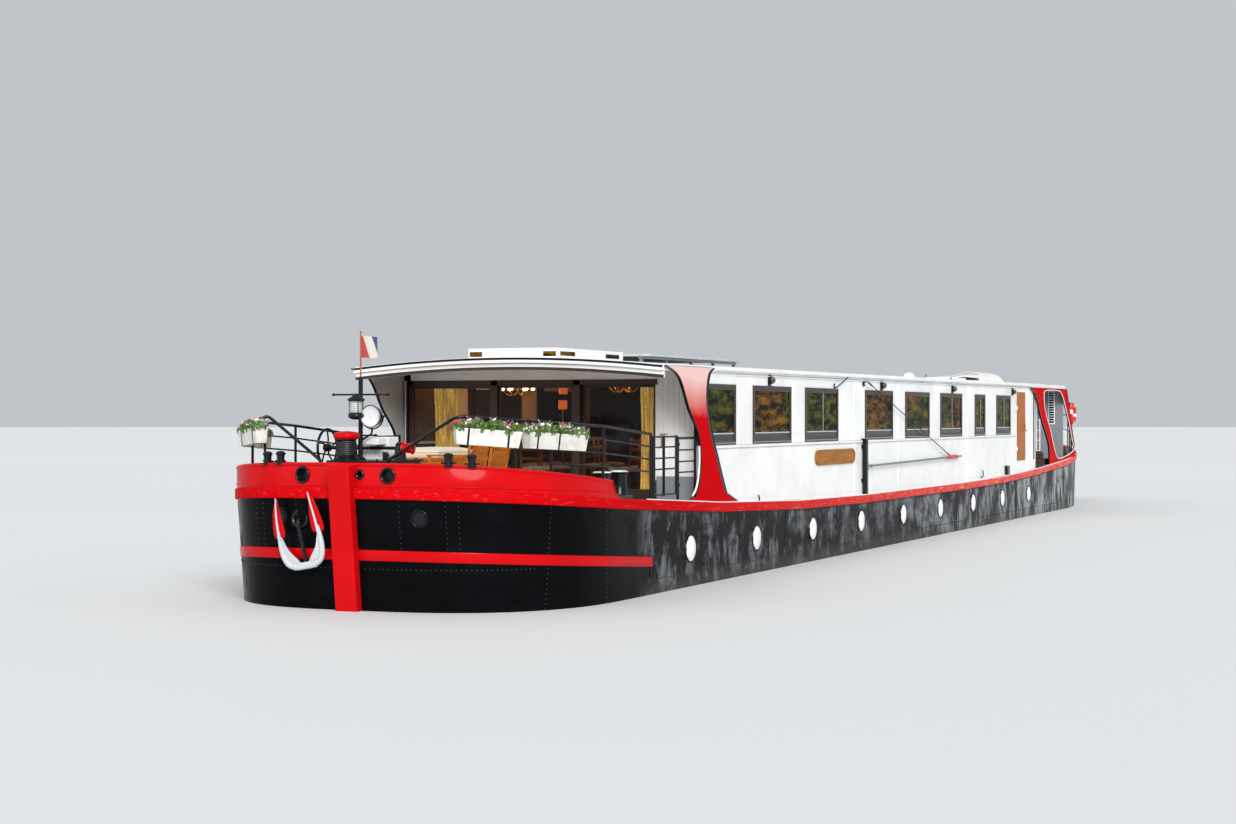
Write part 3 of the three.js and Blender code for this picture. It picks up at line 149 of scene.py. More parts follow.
# Railing: the top bar's corners (s, y, h)
TOP_RAIL = (
    (0.243, 0.425, 1.516), (0.24, 0.445, 1.815), (0.42, 1.33, 2.37), (0.9, 1.88, 2.32),
    (1.5, 2.08, 2.29), (2.6, 2.3, 2.24), (4.0, 2.385, 2.133),
)
# Bars under it: distance below the top bar, number of their first corner
LOWER_BARS = ((0.17, 3), (0.34, 4), (0.51, 4))
GATE = {"post": 4.985, "end": 5.65, "y": 2.385}
# Flower troughs: stretch of the top rail, place on it, length, places of the hooks
TROUGHS = (
    {"name": "fore", "stretch": 2, "share": 0.5, "long": 0.83, "straps": (-0.25, 0.25)},
    {"name": "aft", "stretch": 3, "share": 0.95, "long": 1.05, "straps": (-0.38, 0.0)},
)

# Deck furniture: name and s of the chairs, and the locker
CHAIRS = (("fore", 2.85), ("aft", 3.49))
LOCKER = {"start": 2.5, "end": 4.6, "port": -0.5, "starboard": -1.3, "top": 1.79}
CUSHION = {"s": 3.99, "y": -0.9, "long": 1.18, "wide": 0.76, "thick": 0.15}

# Bollards: name, s, half distance between the pairs
BOLLARDS = (("bow", 3.12, 2.18), ("stern", 34.0, 1.75))
# Coil of mooring rope, and the spare coils with their s, y and layers
COIL = {"stray": 0.0, "s": 30.5, "y": 2.09, "pitch": 0.028, "across": 4, "layers": 4, "middle": 0.23}
SPARE_COILS = (("spare_rope_fore", 29.7, 2.09, 12), ("spare_rope_aft", 32.75, 2.04, 10))
# Boom: its pivot, and the far end of the tube
BOOM = {"s": 13.95, "y": 2.47, "h": 1.48, "end": 20.8, "end_h": 1.54, "radius": 0.02}
# Roof: skylight box, row of solar panels and the well of the helm
SKYLIGHT = {"start": 4.65, "end": 7.0, "half": 0.7}
SOLAR = {"start": 7.38, "pitch": 1.0625, "long": 1.0, "half": 1.0, "count": 4}
HELM_WELL = {"start": 26.9, "end": 28.3, "half": 0.7, "lip": 0.04}
WHEEL = {"s": 27.31, "h": 2.9, "radius": 0.38}
LADDER = {"s": 31.5, "y": 1.84, "half": 0.2, "top": 3.03}

# Stage
CAMERA = {"place": (40.94, 13.0, 3.6245), "ahead": (-0.9189, -0.3945, 0.0), "rise": 0.0019}
FLOOR = {"sides": 64, "radii": (60.0, 160.0, 420.0)}


def X(s):
    return LENGTH / 2 - BOW_LEAD - s


def at(s, y, h):
    return Vector((X(s), y, WATERLINE + h))


def clamp(value, low=0.0, high=1.0):
    return max(low, min(high, value))


def mix(a, b, share):
    return a + (b - a) * share


def evenly(low, high, count):
    """Values from low to high, count even steps apart."""
    return [mix(low, high, k / count) for k in range(count + 1)]


def turns(count):
    """Angles of count even parts of a circle."""
    return [2 * pi * k / count for k in range(count)]


def rectangle(u0, u1, v0, v1):
    return [(u0, v0), (u1, v0), (u1, v1), (u0, v1)]


# Hull form


def level_outline(level, steps):
    """Half outline of one hull level from the stem to the stern post, as (s, y)."""
    _, half, (bow_at, bow_run, bow_power), (stern_at, stern_run, stern_power), post = level
    bow_steps, side_steps, stern_steps = steps

    def quarter(turn, power):
        return 1 - max(0.0, cos(turn)) ** (2 / power), sin(turn) ** (2 / power)

    points = []
    for i in range(bow_steps + 1):
        along, across = quarter(i / bow_steps * pi / 2, bow_power)
        points.append((bow_at + bow_run * along, STEM_HALF + (half - STEM_HALF) * across))
    start = bow_at + bow_run
    long = stern_at - stern_run - start
    points += [(start + long * i / side_steps, half) for i in range(1, side_steps)]
    for i in range(stern_steps, -1, -1):
        along, across = quarter(i / stern_steps * pi / 2, stern_power)
        points.append((stern_at - stern_run * along, post + (half - post) * across))
    return points


def sheer(s):
    bow = max(0.0, (14.0 - s) / 14.0)
    stern = max(0.0, (s - 21.0) / (STERN_END - 21.0))
    return 0.975 + 0.53 * bow**2.1 + 0.68 * stern**2


def along_points(points, s):
    """Second value of (s, value) points at s, on straight lines between them."""
    for a, b in zip(points, points[1:]):
        if s <= b[0] or b is points[-1]:
            return mix(a[1], b[1], (s - a[0]) / (b[0] - a[0]))


FRAME_EDGE = level_outline(LEVELS[-1], FRAME_STEPS)
DECK_LINE = [(s, sheer(s)) for s, _ in FRAME_EDGE]
OUTLINES = [level_outline(level, SKIN_STEPS) for level in LEVELS]


def deck_h(s):
    """Height of the deck above the water."""
    return along_points(DECK_LINE, s)


def level_h(level, s):
    return sheer_line(s) if level[0] is None else level[0] - WATERLINE


def sheer_line(s):
    return deck_h(clamp(s, DECK_LINE[0][0], DECK_LINE[-1][0]))


def skin_point(i, h):
    """(s, y) on the hull skin at outline step i and height h."""
    column = [(outline[i][0], outline[i][1], level_h(level, outline[i][0]))
              for level, outline in zip(LEVELS, OUTLINES)]
    for a, b in zip(column, column[1:]):
        if h <= b[2] or b is column[-1]:
            share = clamp((h - a[2]) / (b[2] - a[2]))
            return mix(a[0], b[0], share), mix(a[1], b[1], share)


def skin_y(s, h):
    """Half breadth of the hull skin at s and height h."""
    rows = [(level_h(level, s), along_points(outline, s)) for level, outline in zip(LEVELS, OUTLINES)]
    for a, b in zip(rows, rows[1:]):
        if h <= b[0] or b is rows[-1]:
            return mix(a[1], b[1], clamp((h - a[0]) / (b[0] - a[0])))


def deck_half(s):
    return along_points(OUTLINES[-1], s)


def bulwark_top(s):
    if s <= BULWARK["end"]:
        return mix(BULWARK["stem_top"], BULWARK["end_top"], s / BULWARK["end"])
    left = 1 - min(1.0, (s - BULWARK["end"]) / BULWARK["round"])
    low = deck_h(s) + BULWARK["foot"]
    return low + (BULWARK["end_top"] - low) * (1 - sqrt(1 - left**2))


def roof_edge(s):
    share = (s - ROOF["front"]) / (ROOF["end"] - ROOF["front"])
    return mix(ROOF["fore_edge"], ROOF["aft_edge"], share)


def roof_top(s, y):
    return roof_edge(s) + ROOF["camber"] * (1 - (y / ROOF["half"]) ** 2)


# Mesh shells


class Shell:
    """One closed surface: points in the row frame, faces and a finish number for each face."""

    def __init__(self, points, faces, tones=0):
        self.points = [Vector(point) for point in points]
        self.faces = faces
        self.tones = [tones] * len(faces) if isinstance(tones, int) else tones

    def moved(self, matrix):
        return Shell([matrix @ point for point in self.points], self.faces, self.tones)


def mirrored(shells, sign=-1):
    """The shells on the starboard side, or as they are where sign is 1."""
    flip = Matrix.Scale(sign, 4, Vector((0, 1, 0)))
    return [shell.moved(flip) for shell in shells]


def loft(rings, cap=True, joined=False):
    """Skin through rings of equal length; joined closes the last ring on to the first."""
    count = len(rings[0])
    faces = []
    pairs = len(rings) if joined else len(rings) - 1
    for r in range(pairs):
        low, high = r * count, ((r + 1) % len(rings)) * count
        for i in range(count):
            j = (i + 1) % count
            faces.append((low + i, low + j, high + j, high + i))
    if cap and not joined:
        faces.append(tuple(reversed(range(count))))
        faces.append(tuple(range((len(rings) - 1) * count, len(rings) * count)))
    return Shell([point for ring in rings for point in ring], faces)


def prism(loops, lift, low, high, tones=(0, 0, 0)):
    """Plate with an outline and holes; tones are those of the low face, high face and rim."""
    flat = [point for loop in loops for point in loop]
    count = len(flat)
    points = [lift(u, v, w) for w in (low, high) for u, v in flat]
    faces, finish = [], []
    if len(loops) == 1:
        caps = [tuple(range(count))]
    else:
        caps = tessellate_polygon([[Vector((u, v, 0)) for u, v in loop] for loop in loops])
    for cap in caps:
        faces += [tuple(reversed(cap)), tuple(i + count for i in cap)]
        finish += [tones[0], tones[1]]
    start = 0
    for loop in loops:
        for i in range(len(loop)):
            a, b = start + i, start + (i + 1) % len(loop)
            faces.append((a, b, b + count, a + count))
            finish.append(tones[2])
        start += len(loop)
    return Shell(points, faces, finish)


def side_plate(loops, y0, y1, tones=(0, 0, 0)):
    return prism(loops, lambda s, h, y: at(s, y, h), y0, y1, tones)


def cross_plate(loops, s0, s1, tones=(0, 0, 0)):
    return prism(loops, lambda y, h, s: at(s, y, h), s0, s1, tones)


def flat_plate(loops, h0, h1):
    return prism(loops, at, h0, h1)


def block(s0, s1, y0, y1, h0, h1, tone=0):
    return cross_plate([rectangle(y0, y1, h0, h1)], s0, s1, (tone,) * 3)


def circle(radius, steps):
    return [(radius * cos(turn), radius * sin(turn)) for turn in turns(steps)]


def frames_along(points, closed=False):
    """A point with two crosswise directions for each place on the line, without any twist."""
    count = len(points)
    ways = []
    for i in range(count):
        before = points[i - 1] if i or closed else points[0]
        after = points[(i + 1) % count] if i + 1 < count or closed else points[-1]
        ways.append((after - before).normalized())
    side = ways[0].orthogonal().normalized()
    frames = []
    for i, way in enumerate(ways):
        if i:
            side = (side - way * side.dot(way)).normalized()
        frames.append((points[i], side, way.cross(side)))
    return frames


def tube(points, radius, sides=12, radii=None, closed=False):
    """Bar along the points; radii, where given, hold its radius at each of them."""
    points = [Vector(point) for point in points]
    rings = []
    for i, (spot, across, up) in enumerate(frames_along(points, closed)):
        r = radii[i] if radii else radius
        rings.append([spot + across * u + up * v for u, v in circle(r, sides)])
    return loft(rings, joined=closed)


def lathe(profile, origin, axis, steps=32, tone=0, ring=False):
    """Turned shape from (radius, place along the axis); ring closes the profile on itself."""
    origin, axis = Vector(origin), Vector(axis).normalized()
    side = axis.orthogonal().normalized()
    other = axis.cross(side)
    points, rows = [], []
    for radius, along in profile:
        centre = origin + axis * along
        if radius < 1e-6:
            rows.append([len(points)] * steps)
            points.append(centre)
            continue
        rows.append(list(range(len(points), len(points) + steps)))
        points += [centre + side * u + other * v for u, v in circle(radius, steps)]
    faces = []
    pairs = list(zip(rows, rows[1:])) + ([(rows[-1], rows[0])] if ring else [])
    for low, high in pairs:
        for k in range(steps):
            j = (k + 1) % steps
            face = [low[k], low[j], high[j], high[k]]
            face = [corner for n, corner in enumerate(face) if corner not in face[:n]]
            if len(face) > 2:
                faces.append(tuple(face))
    if not ring:
        for row in (rows[0], rows[-1]):
            if row[0] != row[-1]:
                faces.append(tuple(row))
    return Shell(points, faces, tone)


def hoop(centre, axis, radius, thick, steps=40, sides=12):
    profile = [(radius + u, v) for u, v in circle(thick, sides)]
    return lathe(profile, centre, axis, steps, ring=True)


def dome(centre, axis, radius, high, steps=24, rows=6):
    profile = [(radius * cos(i / rows * pi / 2), high * sin(i / rows * pi / 2)) for i in range(rows)]
    return lathe([(0.0, 0.0)] + profile + [(0.0, high)], centre, axis, steps)


def ball(centre, radius, steps=20):
    rows = steps // 2
    profile = [(radius * sin(i / rows * pi), -radius * cos(i / rows * pi)) for i in range(rows + 1)]
    profile[0], profile[-1] = (0.0, -radius), (0.0, radius)
    return lathe(profile, centre, UP, steps)


def rounded(points, radius, steps=5):
    """The line with each inner corner turned to a short arc."""
    points = [Vector(point) for point in points]
    line = [points[0]]
    for before, corner, after in zip(points, points[1:], points[2:]):
        reach = min(radius, (before - corner).length * 0.45, (after - corner).length * 0.45)
        a = corner + (before - corner).normalized() * reach
        b = corner + (after - corner).normalized() * reach
        for i in range(steps + 1):
            t = i / steps
            line.append((1 - t) ** 2 * a + 2 * t * (1 - t) * corner + t**2 * b)
    return line + [points[-1]]


def flowing(points, steps=4, closed=False):
    """A smooth line through all the points."""
    count = len(points)
    spans = count if closed else count - 1
    line = []
    for i in range(spans):
        quad = [points[(i + k) % count] if closed else points[int(clamp(i + k, 0, count - 1))]
                for k in (-1, 0, 1, 2)]
        for j in range(steps):
            t = j / steps
            weights = (
                (-t**3 + 2 * t**2 - t) / 2, (3 * t**3 - 5 * t**2 + 2) / 2,
                (-3 * t**3 + 4 * t**2 + t) / 2, (t**3 - t**2) / 2,
            )
            line.append(tuple(sum(w * p[axis] for w, p in zip(weights, quad))
                              for axis in range(len(quad[0]))))
    return line if closed else line + [tuple(points[-1])]


def outward_path(points):
    """(s, y) points with the outward direction at each; the line runs aft on the port side."""
    path = []
    for i, (s, y) in enumerate(points):
        a, b = points[max(0, i - 1)], points[min(len(points) - 1, i + 1)]
        way = Vector((b[0] - a[0], b[1] - a[1])).normalized()
        path.append((s, y, -way.y, way.x))
    return path


def edge_strip(points, section):
    """Bar that follows (s, y) points with a section of (offset, h) corners given for each s."""
    rings = []
    for s, y, out_s, out_y in outward_path(points):
        rings.append([at(s + out_s * off, y + out_y * off, h) for off, h in section(s)])
    return loft(rings)


def both_ways(points):
    """The port line carried round the bow from starboard."""
    return [(s, -y) for s, y in reversed(points)] + list(points)


def add_object(name, mesh):
    thing = bpy.data.objects.new(name, mesh)
    bpy.context.scene.collection.objects.link(thing)
    return thing


def shell_mesh(name, shells, smooth):
    mesh = bpy.data.meshes.new(name)
    points, faces, tones = [], [], []
    for shell in shells:
        start = len(points)
        points += shell.points
        faces += [[start + i for i in face] for face in shell.faces]
        tones += shell.tones
    mesh.from_pydata(points, [], faces)
    mesh.polygons.foreach_set("material_index", tones)
    work = bmesh.new()
    work.from_mesh(mesh)
    bmesh.ops.recalc_face_normals(work, faces=work.faces)
    work.to_mesh(mesh)
    work.free()
    mesh.shade_smooth()
    mesh.set_sharp_from_angle(angle=radians(smooth))
    return mesh


def piece(name, shells, finishes, body="boat", replaces=(), bevel=0.0, smooth=35.0):
    """One finished piece that rides on a body."""
    thing = add_object(name, shell_mesh(name, shells, smooth))
    for finish in finishes:
        thing.data.materials.append(FINISHES[finish])
    if bevel:
        edge = thing.modifiers.new("edges", "BEVEL")
        edge.width = bevel
        edge.segments = 2
        edge.limit_method = "ANGLE"
        edge.angle_limit = radians(40)
    return fitted(thing, body, replaces)


def dress(name, finish):
    """A node of the frame that shows as it is, in its finish."""
    materials = frame["nodes"][name].data.materials
    materials.clear()
    materials.append(FINISHES[finish])


def fitted(thing, body, replaces=()):
    """A finished piece on its body, with the nodes that it stands for hidden."""
    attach(thing, body)
    if replaces:
        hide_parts(*replaces)
    return thing


def carved(shells, cutters, name):
    """Shells with holes cut by other closed shells, as one new shell."""
    blank = add_object(name, shell_mesh(name, shells, 35))
    tool = add_object(name + "_tool", shell_mesh(name + "_tool", cutters, 35))
    cut = blank.modifiers.new("cut", "BOOLEAN")
    cut.object = tool
    cut.operation = "DIFFERENCE"
    cut.solver = "EXACT"
    mesh = settled_mesh(blank)
    points = [vertex.co.copy() for vertex in mesh.vertices]
    faces = [tuple(polygon.vertices) for polygon in mesh.polygons]
    tones = [polygon.material_index for polygon in mesh.polygons]
    for thing in (blank, tool):
        bpy.data.objects.remove(thing)
    return Shell(points, faces, tones)


def settled_mesh(thing):
    """The object's mesh with its modifiers worked in."""
    graph = bpy.context.evaluated_depsgraph_get()
    return bpy.data.meshes.new_from_object(thing.evaluated_get(graph), depsgraph=graph)


# Finishes

FINISHES = {}


def linear(code):
    """Linear colour from a web colour code."""
    values = [int(code[i:i + 2], 16) / 255 for i in (0, 2, 4)]
    return tuple(v / 12.92 if v <= 0.04045 else ((v + 0.055) / 1.055) ** 2.4 for v in values)


class Recipe:
    """A finish in the making: a material with its shader and the nodes that feed it."""

    def __init__(self, name, colour, roughness, **sockets):
        self.material = bpy.data.materials.new(name)
        self.material.use_nodes = True
        self.tree = self.material.node_tree
        self.tree.nodes.clear()
        output = self.node("ShaderNodeOutputMaterial")
        self.shader = self.node("ShaderNodeBsdfPrincipled")
        self.tree.links.new(self.shader.outputs[0], output.inputs[0])
        self.set("Base Color", colour)
        self.set("Roughness", roughness)
        for socket, value in sockets.items():
            self.set(socket.replace("_", " "), value)
        self.material.diffuse_color = (*colour[:3], 1.0)
        FINISHES[name] = self.material

    def node(self, kind, **settings):
        node = self.tree.nodes.new(kind)
        for key, value in settings.items():
            setattr(node, key, value)
        return node

    def feed(self, socket, value):
        if isinstance(value, bpy.types.NodeSocket):
            self.tree.links.new(value, socket)
        elif hasattr(value, "__len__") and len(value) == 3 and socket.type == "RGBA":
            socket.default_value = (*value, 1.0)
        else:
            socket.default_value = value

    def set(self, socket, value):
        self.feed(self.shader.inputs[socket], value)

    def place(self, scale=(1, 1, 1), source="Object", move=(0, 0, 0)):
        spot = self.node("ShaderNodeTexCoord").outputs[source]
        mapping = self.node("ShaderNodeMapping")
        self.tree.links.new(spot, mapping.inputs["Vector"])
        mapping.inputs["Scale"].default_value = scale
        mapping.inputs["Location"].default_value = move
        return mapping.outputs[0]

    def axis(self, name):
        split = self.node("ShaderNodeSeparateXYZ")
        self.tree.links.new(self.node("ShaderNodeTexCoord").outputs["Object"], split.inputs[0])
        return split.outputs[name]

    def noise(self, scale, place=None, detail=4.0, rough=0.55, warp=0.0):
        node = self.node("ShaderNodeTexNoise")
        self.tree.links.new(place or self.place(), node.inputs["Vector"])
        node.inputs["Scale"].default_value = scale
        node.inputs["Detail"].default_value = detail
        node.inputs["Roughness"].default_value = rough
        node.inputs["Distortion"].default_value = warp
        return node.outputs["Fac"]

    def cells(self, scale, place=None):
        node = self.node("ShaderNodeTexVoronoi", feature="F1")
        self.tree.links.new(place or self.place(), node.inputs["Vector"])
        node.inputs["Scale"].default_value = scale
        return node.outputs["Distance"]

    def wave(self, scale, place=None, direction="X"):
        node = self.node("ShaderNodeTexWave", bands_direction=direction, wave_profile="SIN")
        self.tree.links.new(place or self.place(), node.inputs["Vector"])
        node.inputs["Scale"].default_value = scale
        node.inputs["Distortion"].default_value = 0.0
        return node.outputs["Fac"]

    def sums(self, operation, a, b=0.0):
        node = self.node("ShaderNodeMath", operation=operation)
        for socket, value in zip(node.inputs, (a, b)):
            self.feed(socket, value)
        return node.outputs[0]

    def span(self, value, low, high, to_low=0.0, to_high=1.0):
        node = self.node("ShaderNodeMapRange", clamp=True)
        for socket, item in zip(node.inputs, (value, low, high, to_low, to_high)):
            self.feed(socket, item)
        return node.outputs[0]

    def blend(self, share, a, b):
        node = self.node("ShaderNodeMix", data_type="RGBA")
        self.feed(node.inputs["Factor"], share)
        self.feed(node.inputs[6], a)
        self.feed(node.inputs[7], b)
        return node.outputs[2]

    def bump(self, height, strength=0.3, distance=0.01):
        node = self.node("ShaderNodeBump")
        node.inputs["Strength"].default_value = strength
        node.inputs["Distance"].default_value = distance
        self.tree.links.new(height, node.inputs["Height"])
        self.tree.links.new(node.outputs[0], self.shader.inputs["Normal"])


def shade(colour, share):
    """A darker (share under 1) or lighter colour."""
    return tuple(clamp(value * share) for value in colour[:3])


def make_paints(colours):
    red, white = tuple(colours.red), tuple(colours.white)
    black, grey = tuple(colours.black), tuple(colours.grey)

    paint = Recipe("hull_black", black, 0.2, IOR=1.1)
    x = paint.axis("X")
    z = paint.axis("Z")
    aft = paint.span(x, X(STRIPE_END), X(STRIPE_END - 0.55), 1.0, 0.0)
    streak = paint.noise(1.0, paint.place((1.8, 5.0, 0.8)), detail=6, rough=0.7)
    fine = paint.noise(1.0, paint.place((9.0, 26.0, 2.6)), detail=4, rough=0.6)
    patch = paint.noise(1.3, paint.place((1.0, 1.0, 1.6)), detail=7, rough=0.7)
    worn = paint.span(paint.sums("ADD", streak, paint.sums("MULTIPLY", fine, 0.5)), 0.62, 0.84)
    far = paint.span(x, X(14.0), X(34.0), 0.36, 1.0)
    patch_share = paint.span(paint.sums("ADD", patch, paint.sums("MULTIPLY", far, 0.26)), 0.47, 0.65)
    dust = paint.span(paint.sums("MULTIPLY", worn, patch_share), 0.25, 1.0)
    plating = paint.blend(paint.sums("MULTIPLY", dust, far), linear("121315"), linear("b0b3b6"))
    low = paint.span(paint.sums("ADD", z, paint.sums("MULTIPLY", streak, 0.25)), 1.62, 1.4)
    plating = paint.blend(paint.sums("MULTIPLY", low, 0.45), plating, linear("54544b"))
    bow = paint.blend(paint.span(patch, 0.45, 0.8), black, shade(black, 2.2))
    paint.set("Base Color", paint.blend(aft, bow, plating))
    rough = paint.span(aft, 0.0, 1.0, 0.16, 0.34)
    paint.set("Roughness", paint.sums("ADD", rough, paint.sums("MULTIPLY", dust, 0.3)))
    paint.bump(paint.noise(0.9, detail=3), 0.25, 0.03)

    paint = Recipe("bottom_black", linear("1b1b1b"), 0.6)
    crust = paint.noise(9.0, detail=8, rough=0.7)
    growth = paint.noise(1.0, paint.place((0.6, 0.6, 2.4)), detail=5)
    paint.set("Base Color", paint.blend(paint.span(growth, 0.45, 0.75), linear("1c1b1a"), linear("3a3a2a")))
    paint.set("Roughness", paint.span(crust, 0.3, 0.7, 0.5, 0.8))
    paint.bump(crust, 0.5, 0.008)

    def gloss(name, colour, roughness=0.22, dirt=0.25, coat=0.1, bend=1.3):
        paint = Recipe(name, colour, roughness, Coat_Weight=coat, Coat_Roughness=0.06, IOR=bend)
        broad = paint.noise(1.4, detail=4)
        runs = paint.noise(1.0, paint.place((14.0, 14.0, 1.1)), detail=5, rough=0.65)
        tone = paint.blend(paint.span(broad, 0.35, 0.7), shade(colour, 0.93), shade(colour, 1.05))
        film = paint.sums("MULTIPLY", paint.span(runs, 0.52, 0.8), dirt)
        tone = paint.blend(film, tone, shade(colour, 0.6))
        paint.set("Base Color", tone)
        paint.set("Roughness", paint.span(broad, 0.3, 0.7, roughness * 0.8, roughness * 1.4))
        paint.bump(paint.noise(60.0, detail=2), 0.08, 0.002)

    gloss("red_gloss", red, dirt=0.15, bend=1.12)
    # Rivet heads a lighter grey than the black plating: painted highlight, standing for the glint on each
    # head
    gloss("rivet_head_painted_highlight", linear("34363a"), 0.3, dirt=0.0)
    gloss("weathered_white", linear("c3c8cb"), 0.4, dirt=0.5, coat=0.0, bend=1.2)
    gloss("faded_red", linear("d6656a"), 0.7, dirt=0.2, coat=0.0, bend=1.1)
    gloss("white_gloss", white, 0.3, dirt=0.04)
    gloss("black_gloss", linear("131417"), 0.22, dirt=0.0)
    gloss("grey_satin", grey, 0.45, coat=0.0)
    gloss("light_grey", linear("b9bcbc"), 0.4, coat=0.0)
    gloss("buoy_red", linear("d23a22"), 0.45, coat=0.1)

    rail = Recipe("rail_red", red, 0.4, IOR=1.03)
    x = rail.axis("X")
    aft = rail.span(x, X(5.0), X(24.0))
    fade = rail.noise(1.0, rail.place((3.0, 8.0, 10.0)), detail=6, rough=0.7)
    tone = rail.blend(rail.sums("MULTIPLY", aft, rail.span(fade, 0.3, 0.6, 0.2, 0.95)), red, linear("e4685f"))
    chips = rail.span(rail.noise(1.0, rail.place((3.0, 12.0, 34.0)), detail=6, rough=0.8), 0.58, 0.63)
    tone = rail.blend(rail.sums("MULTIPLY", chips, rail.span(aft, 0.0, 1.0, 0.1, 0.85)), tone,
                      linear("d8cdc4"))
    rail.set("Base Color", tone)
    rail.set("Roughness", rail.span(chips, 0.0, 1.0, 0.3, 0.6))
    rail.bump(rail.noise(24.0, detail=4), 0.2, 0.004)

    # Red of the side panels, blending to pinkish white towards the top of the forward panels: painted sheen,
    # a painted reflection of bright sky on their upper part
    fade = Recipe("panel_red_painted_sheen", red, 0.4, IOR=1.02)
    cloud = fade.noise(1.6, detail=4)
    high = fade.span(fade.sums("ADD", fade.axis("Z"), fade.sums("MULTIPLY", cloud, 0.25)), 3.75, 4.3, 0.0,
                     0.85)
    fore = fade.span(fade.axis("X"), X(10.0), X(9.0))
    tone = fade.blend(fade.sums("MULTIPLY", high, fore), red, linear("f2d3cb"))
    fade.set("Base Color", tone)
    fade.set("Roughness", fade.span(cloud, 0.3, 0.7, 0.18, 0.32))
    fade.bump(fade.noise(1.1, detail=2), 0.12, 0.02)

    deck = Recipe("deck_paint", tuple(colours.deck), 0.7)
    grit = deck.noise(260.0, detail=2)
    worn = deck.noise(1.2, detail=7, rough=0.7)
    tone = deck.blend(deck.span(worn, 0.42, 0.72), tuple(colours.deck), shade(colours.deck, 1.7))
    deck.set("Base Color", tone)
    deck.set("Roughness", deck.span(worn, 0.3, 0.7, 0.6, 0.85))
    deck.bump(grit, 0.4, 0.002)

    top = Recipe("roof_paint", shade(white, 0.86), 0.6)
    stain = top.noise(0.8, detail=7, rough=0.65)
    top.set("Base Color", top.blend(top.span(stain, 0.4, 0.8, 0.0, 0.5), shade(white, 0.92),
                                    linear("c4c3bd")))
    top.bump(top.noise(220.0, detail=2), 0.25, 0.002)


def make_metals_and_glass(colours):
    frame_metal = Recipe("window_brown", tuple(colours.frame), 0.4, Metallic=0.35)
    brushed = frame_metal.noise(1.0, frame_metal.place((3.0, 60.0, 60.0)), detail=3)
    frame_metal.set("Base Color", frame_metal.blend(brushed, shade(colours.frame, 0.8),
                                                    shade(colours.frame, 1.25)))
    frame_metal.set("Roughness", frame_metal.span(brushed, 0.3, 0.7, 0.32, 0.5))
    frame_metal.bump(brushed, 0.08, 0.001)

    for name, colour, roughness, scale in (
        ("bright_steel", "c9ccce", 0.28, 40.0), ("alloy", "a9adb1", 0.38, 30.0),
        ("brass", "c39a4c", 0.3, 26.0), ("bronze", "8c6a33", 0.42, 14.0),
        ("rope_steel", "5c6064", 0.45, 60.0),
    ):
        metal = Recipe(name, linear(colour), roughness, Metallic=1.0)
        cloud = metal.noise(scale, detail=5)
        metal.set("Base Color", metal.blend(cloud, shade(linear(colour), 0.7), linear(colour)))
        metal.set("Roughness", metal.span(cloud, 0.3, 0.7, roughness * 0.7, roughness * 1.4))
        metal.bump(cloud, 0.1, 0.001)

    # Dark glass with a painted reflection: olive green and brown patches stand for trees mirrored in it
    pane = Recipe("dark_pane_painted_reflection", linear("1a2022"), 0.04, IOR=1.07)
    cloud = pane.noise(1.0, pane.place((2.0, 1.0, 7.0)), detail=7, rough=0.75, warp=0.4)
    warm = pane.span(pane.noise(1.0, pane.place((0.5, 1.0, 1.2), move=(3.0, 0.0, 0.0)), detail=2), 0.45, 0.6)
    painted_tree_reflection = pane.blend(warm, linear("5c6420"), linear("94601c"))
    pane.set("Base Color", pane.blend(pane.span(cloud, 0.44, 0.66, 0.0, 0.9), linear("0d100a"), painted_tree_reflection))
    pane.bump(pane.noise(0.7, detail=1), 0.04, 0.01)

    clear = Recipe("clear_pane", (0.02, 0.025, 0.025), 0.02, Alpha=0.22)
    clear.bump(clear.noise(0.8, detail=1), 0.02, 0.01)
    amber = Recipe("amber_glass", linear("6a5c40"), 0.12, Alpha=0.92)
    amber.bump(amber.wave(60.0, direction="Z"), 0.35, 0.003)
    lens = Recipe("lamp_glass", (0.55, 0.6, 0.55), 0.08, Alpha=0.6)
    lens.bump(lens.wave(60.0, direction="Z"), 0.35, 0.003)
    mirror = Recipe("lamp_mirror", (0.8, 0.82, 0.83), 0.4, Metallic=0.3)
    mirror.bump(mirror.cells(90.0), 0.15, 0.002)
    cell = Recipe("solar_cell", linear("121c33"), 0.12, Coat_Weight=0.6, Coat_Roughness=0.03)
    grain = cell.cells(70.0)
    cell.set("Base Color", cell.blend(grain, linear("0d1526"), linear("22314f")))
    glow = Recipe("lamp_glow", linear("ffb46a"), 0.5, Emission_Color=(1.0, 0.45, 0.14, 1.0),
                  Emission_Strength=22.0)
    glow.bump(glow.noise(40.0), 0.1, 0.002)
    warm = Recipe("shade_glow", linear("b8481c"), 0.7, Emission_Color=(1.0, 0.2, 0.04, 1.0),
                  Emission_Strength=0.6)
    warm.bump(warm.noise(40.0), 0.1, 0.002)


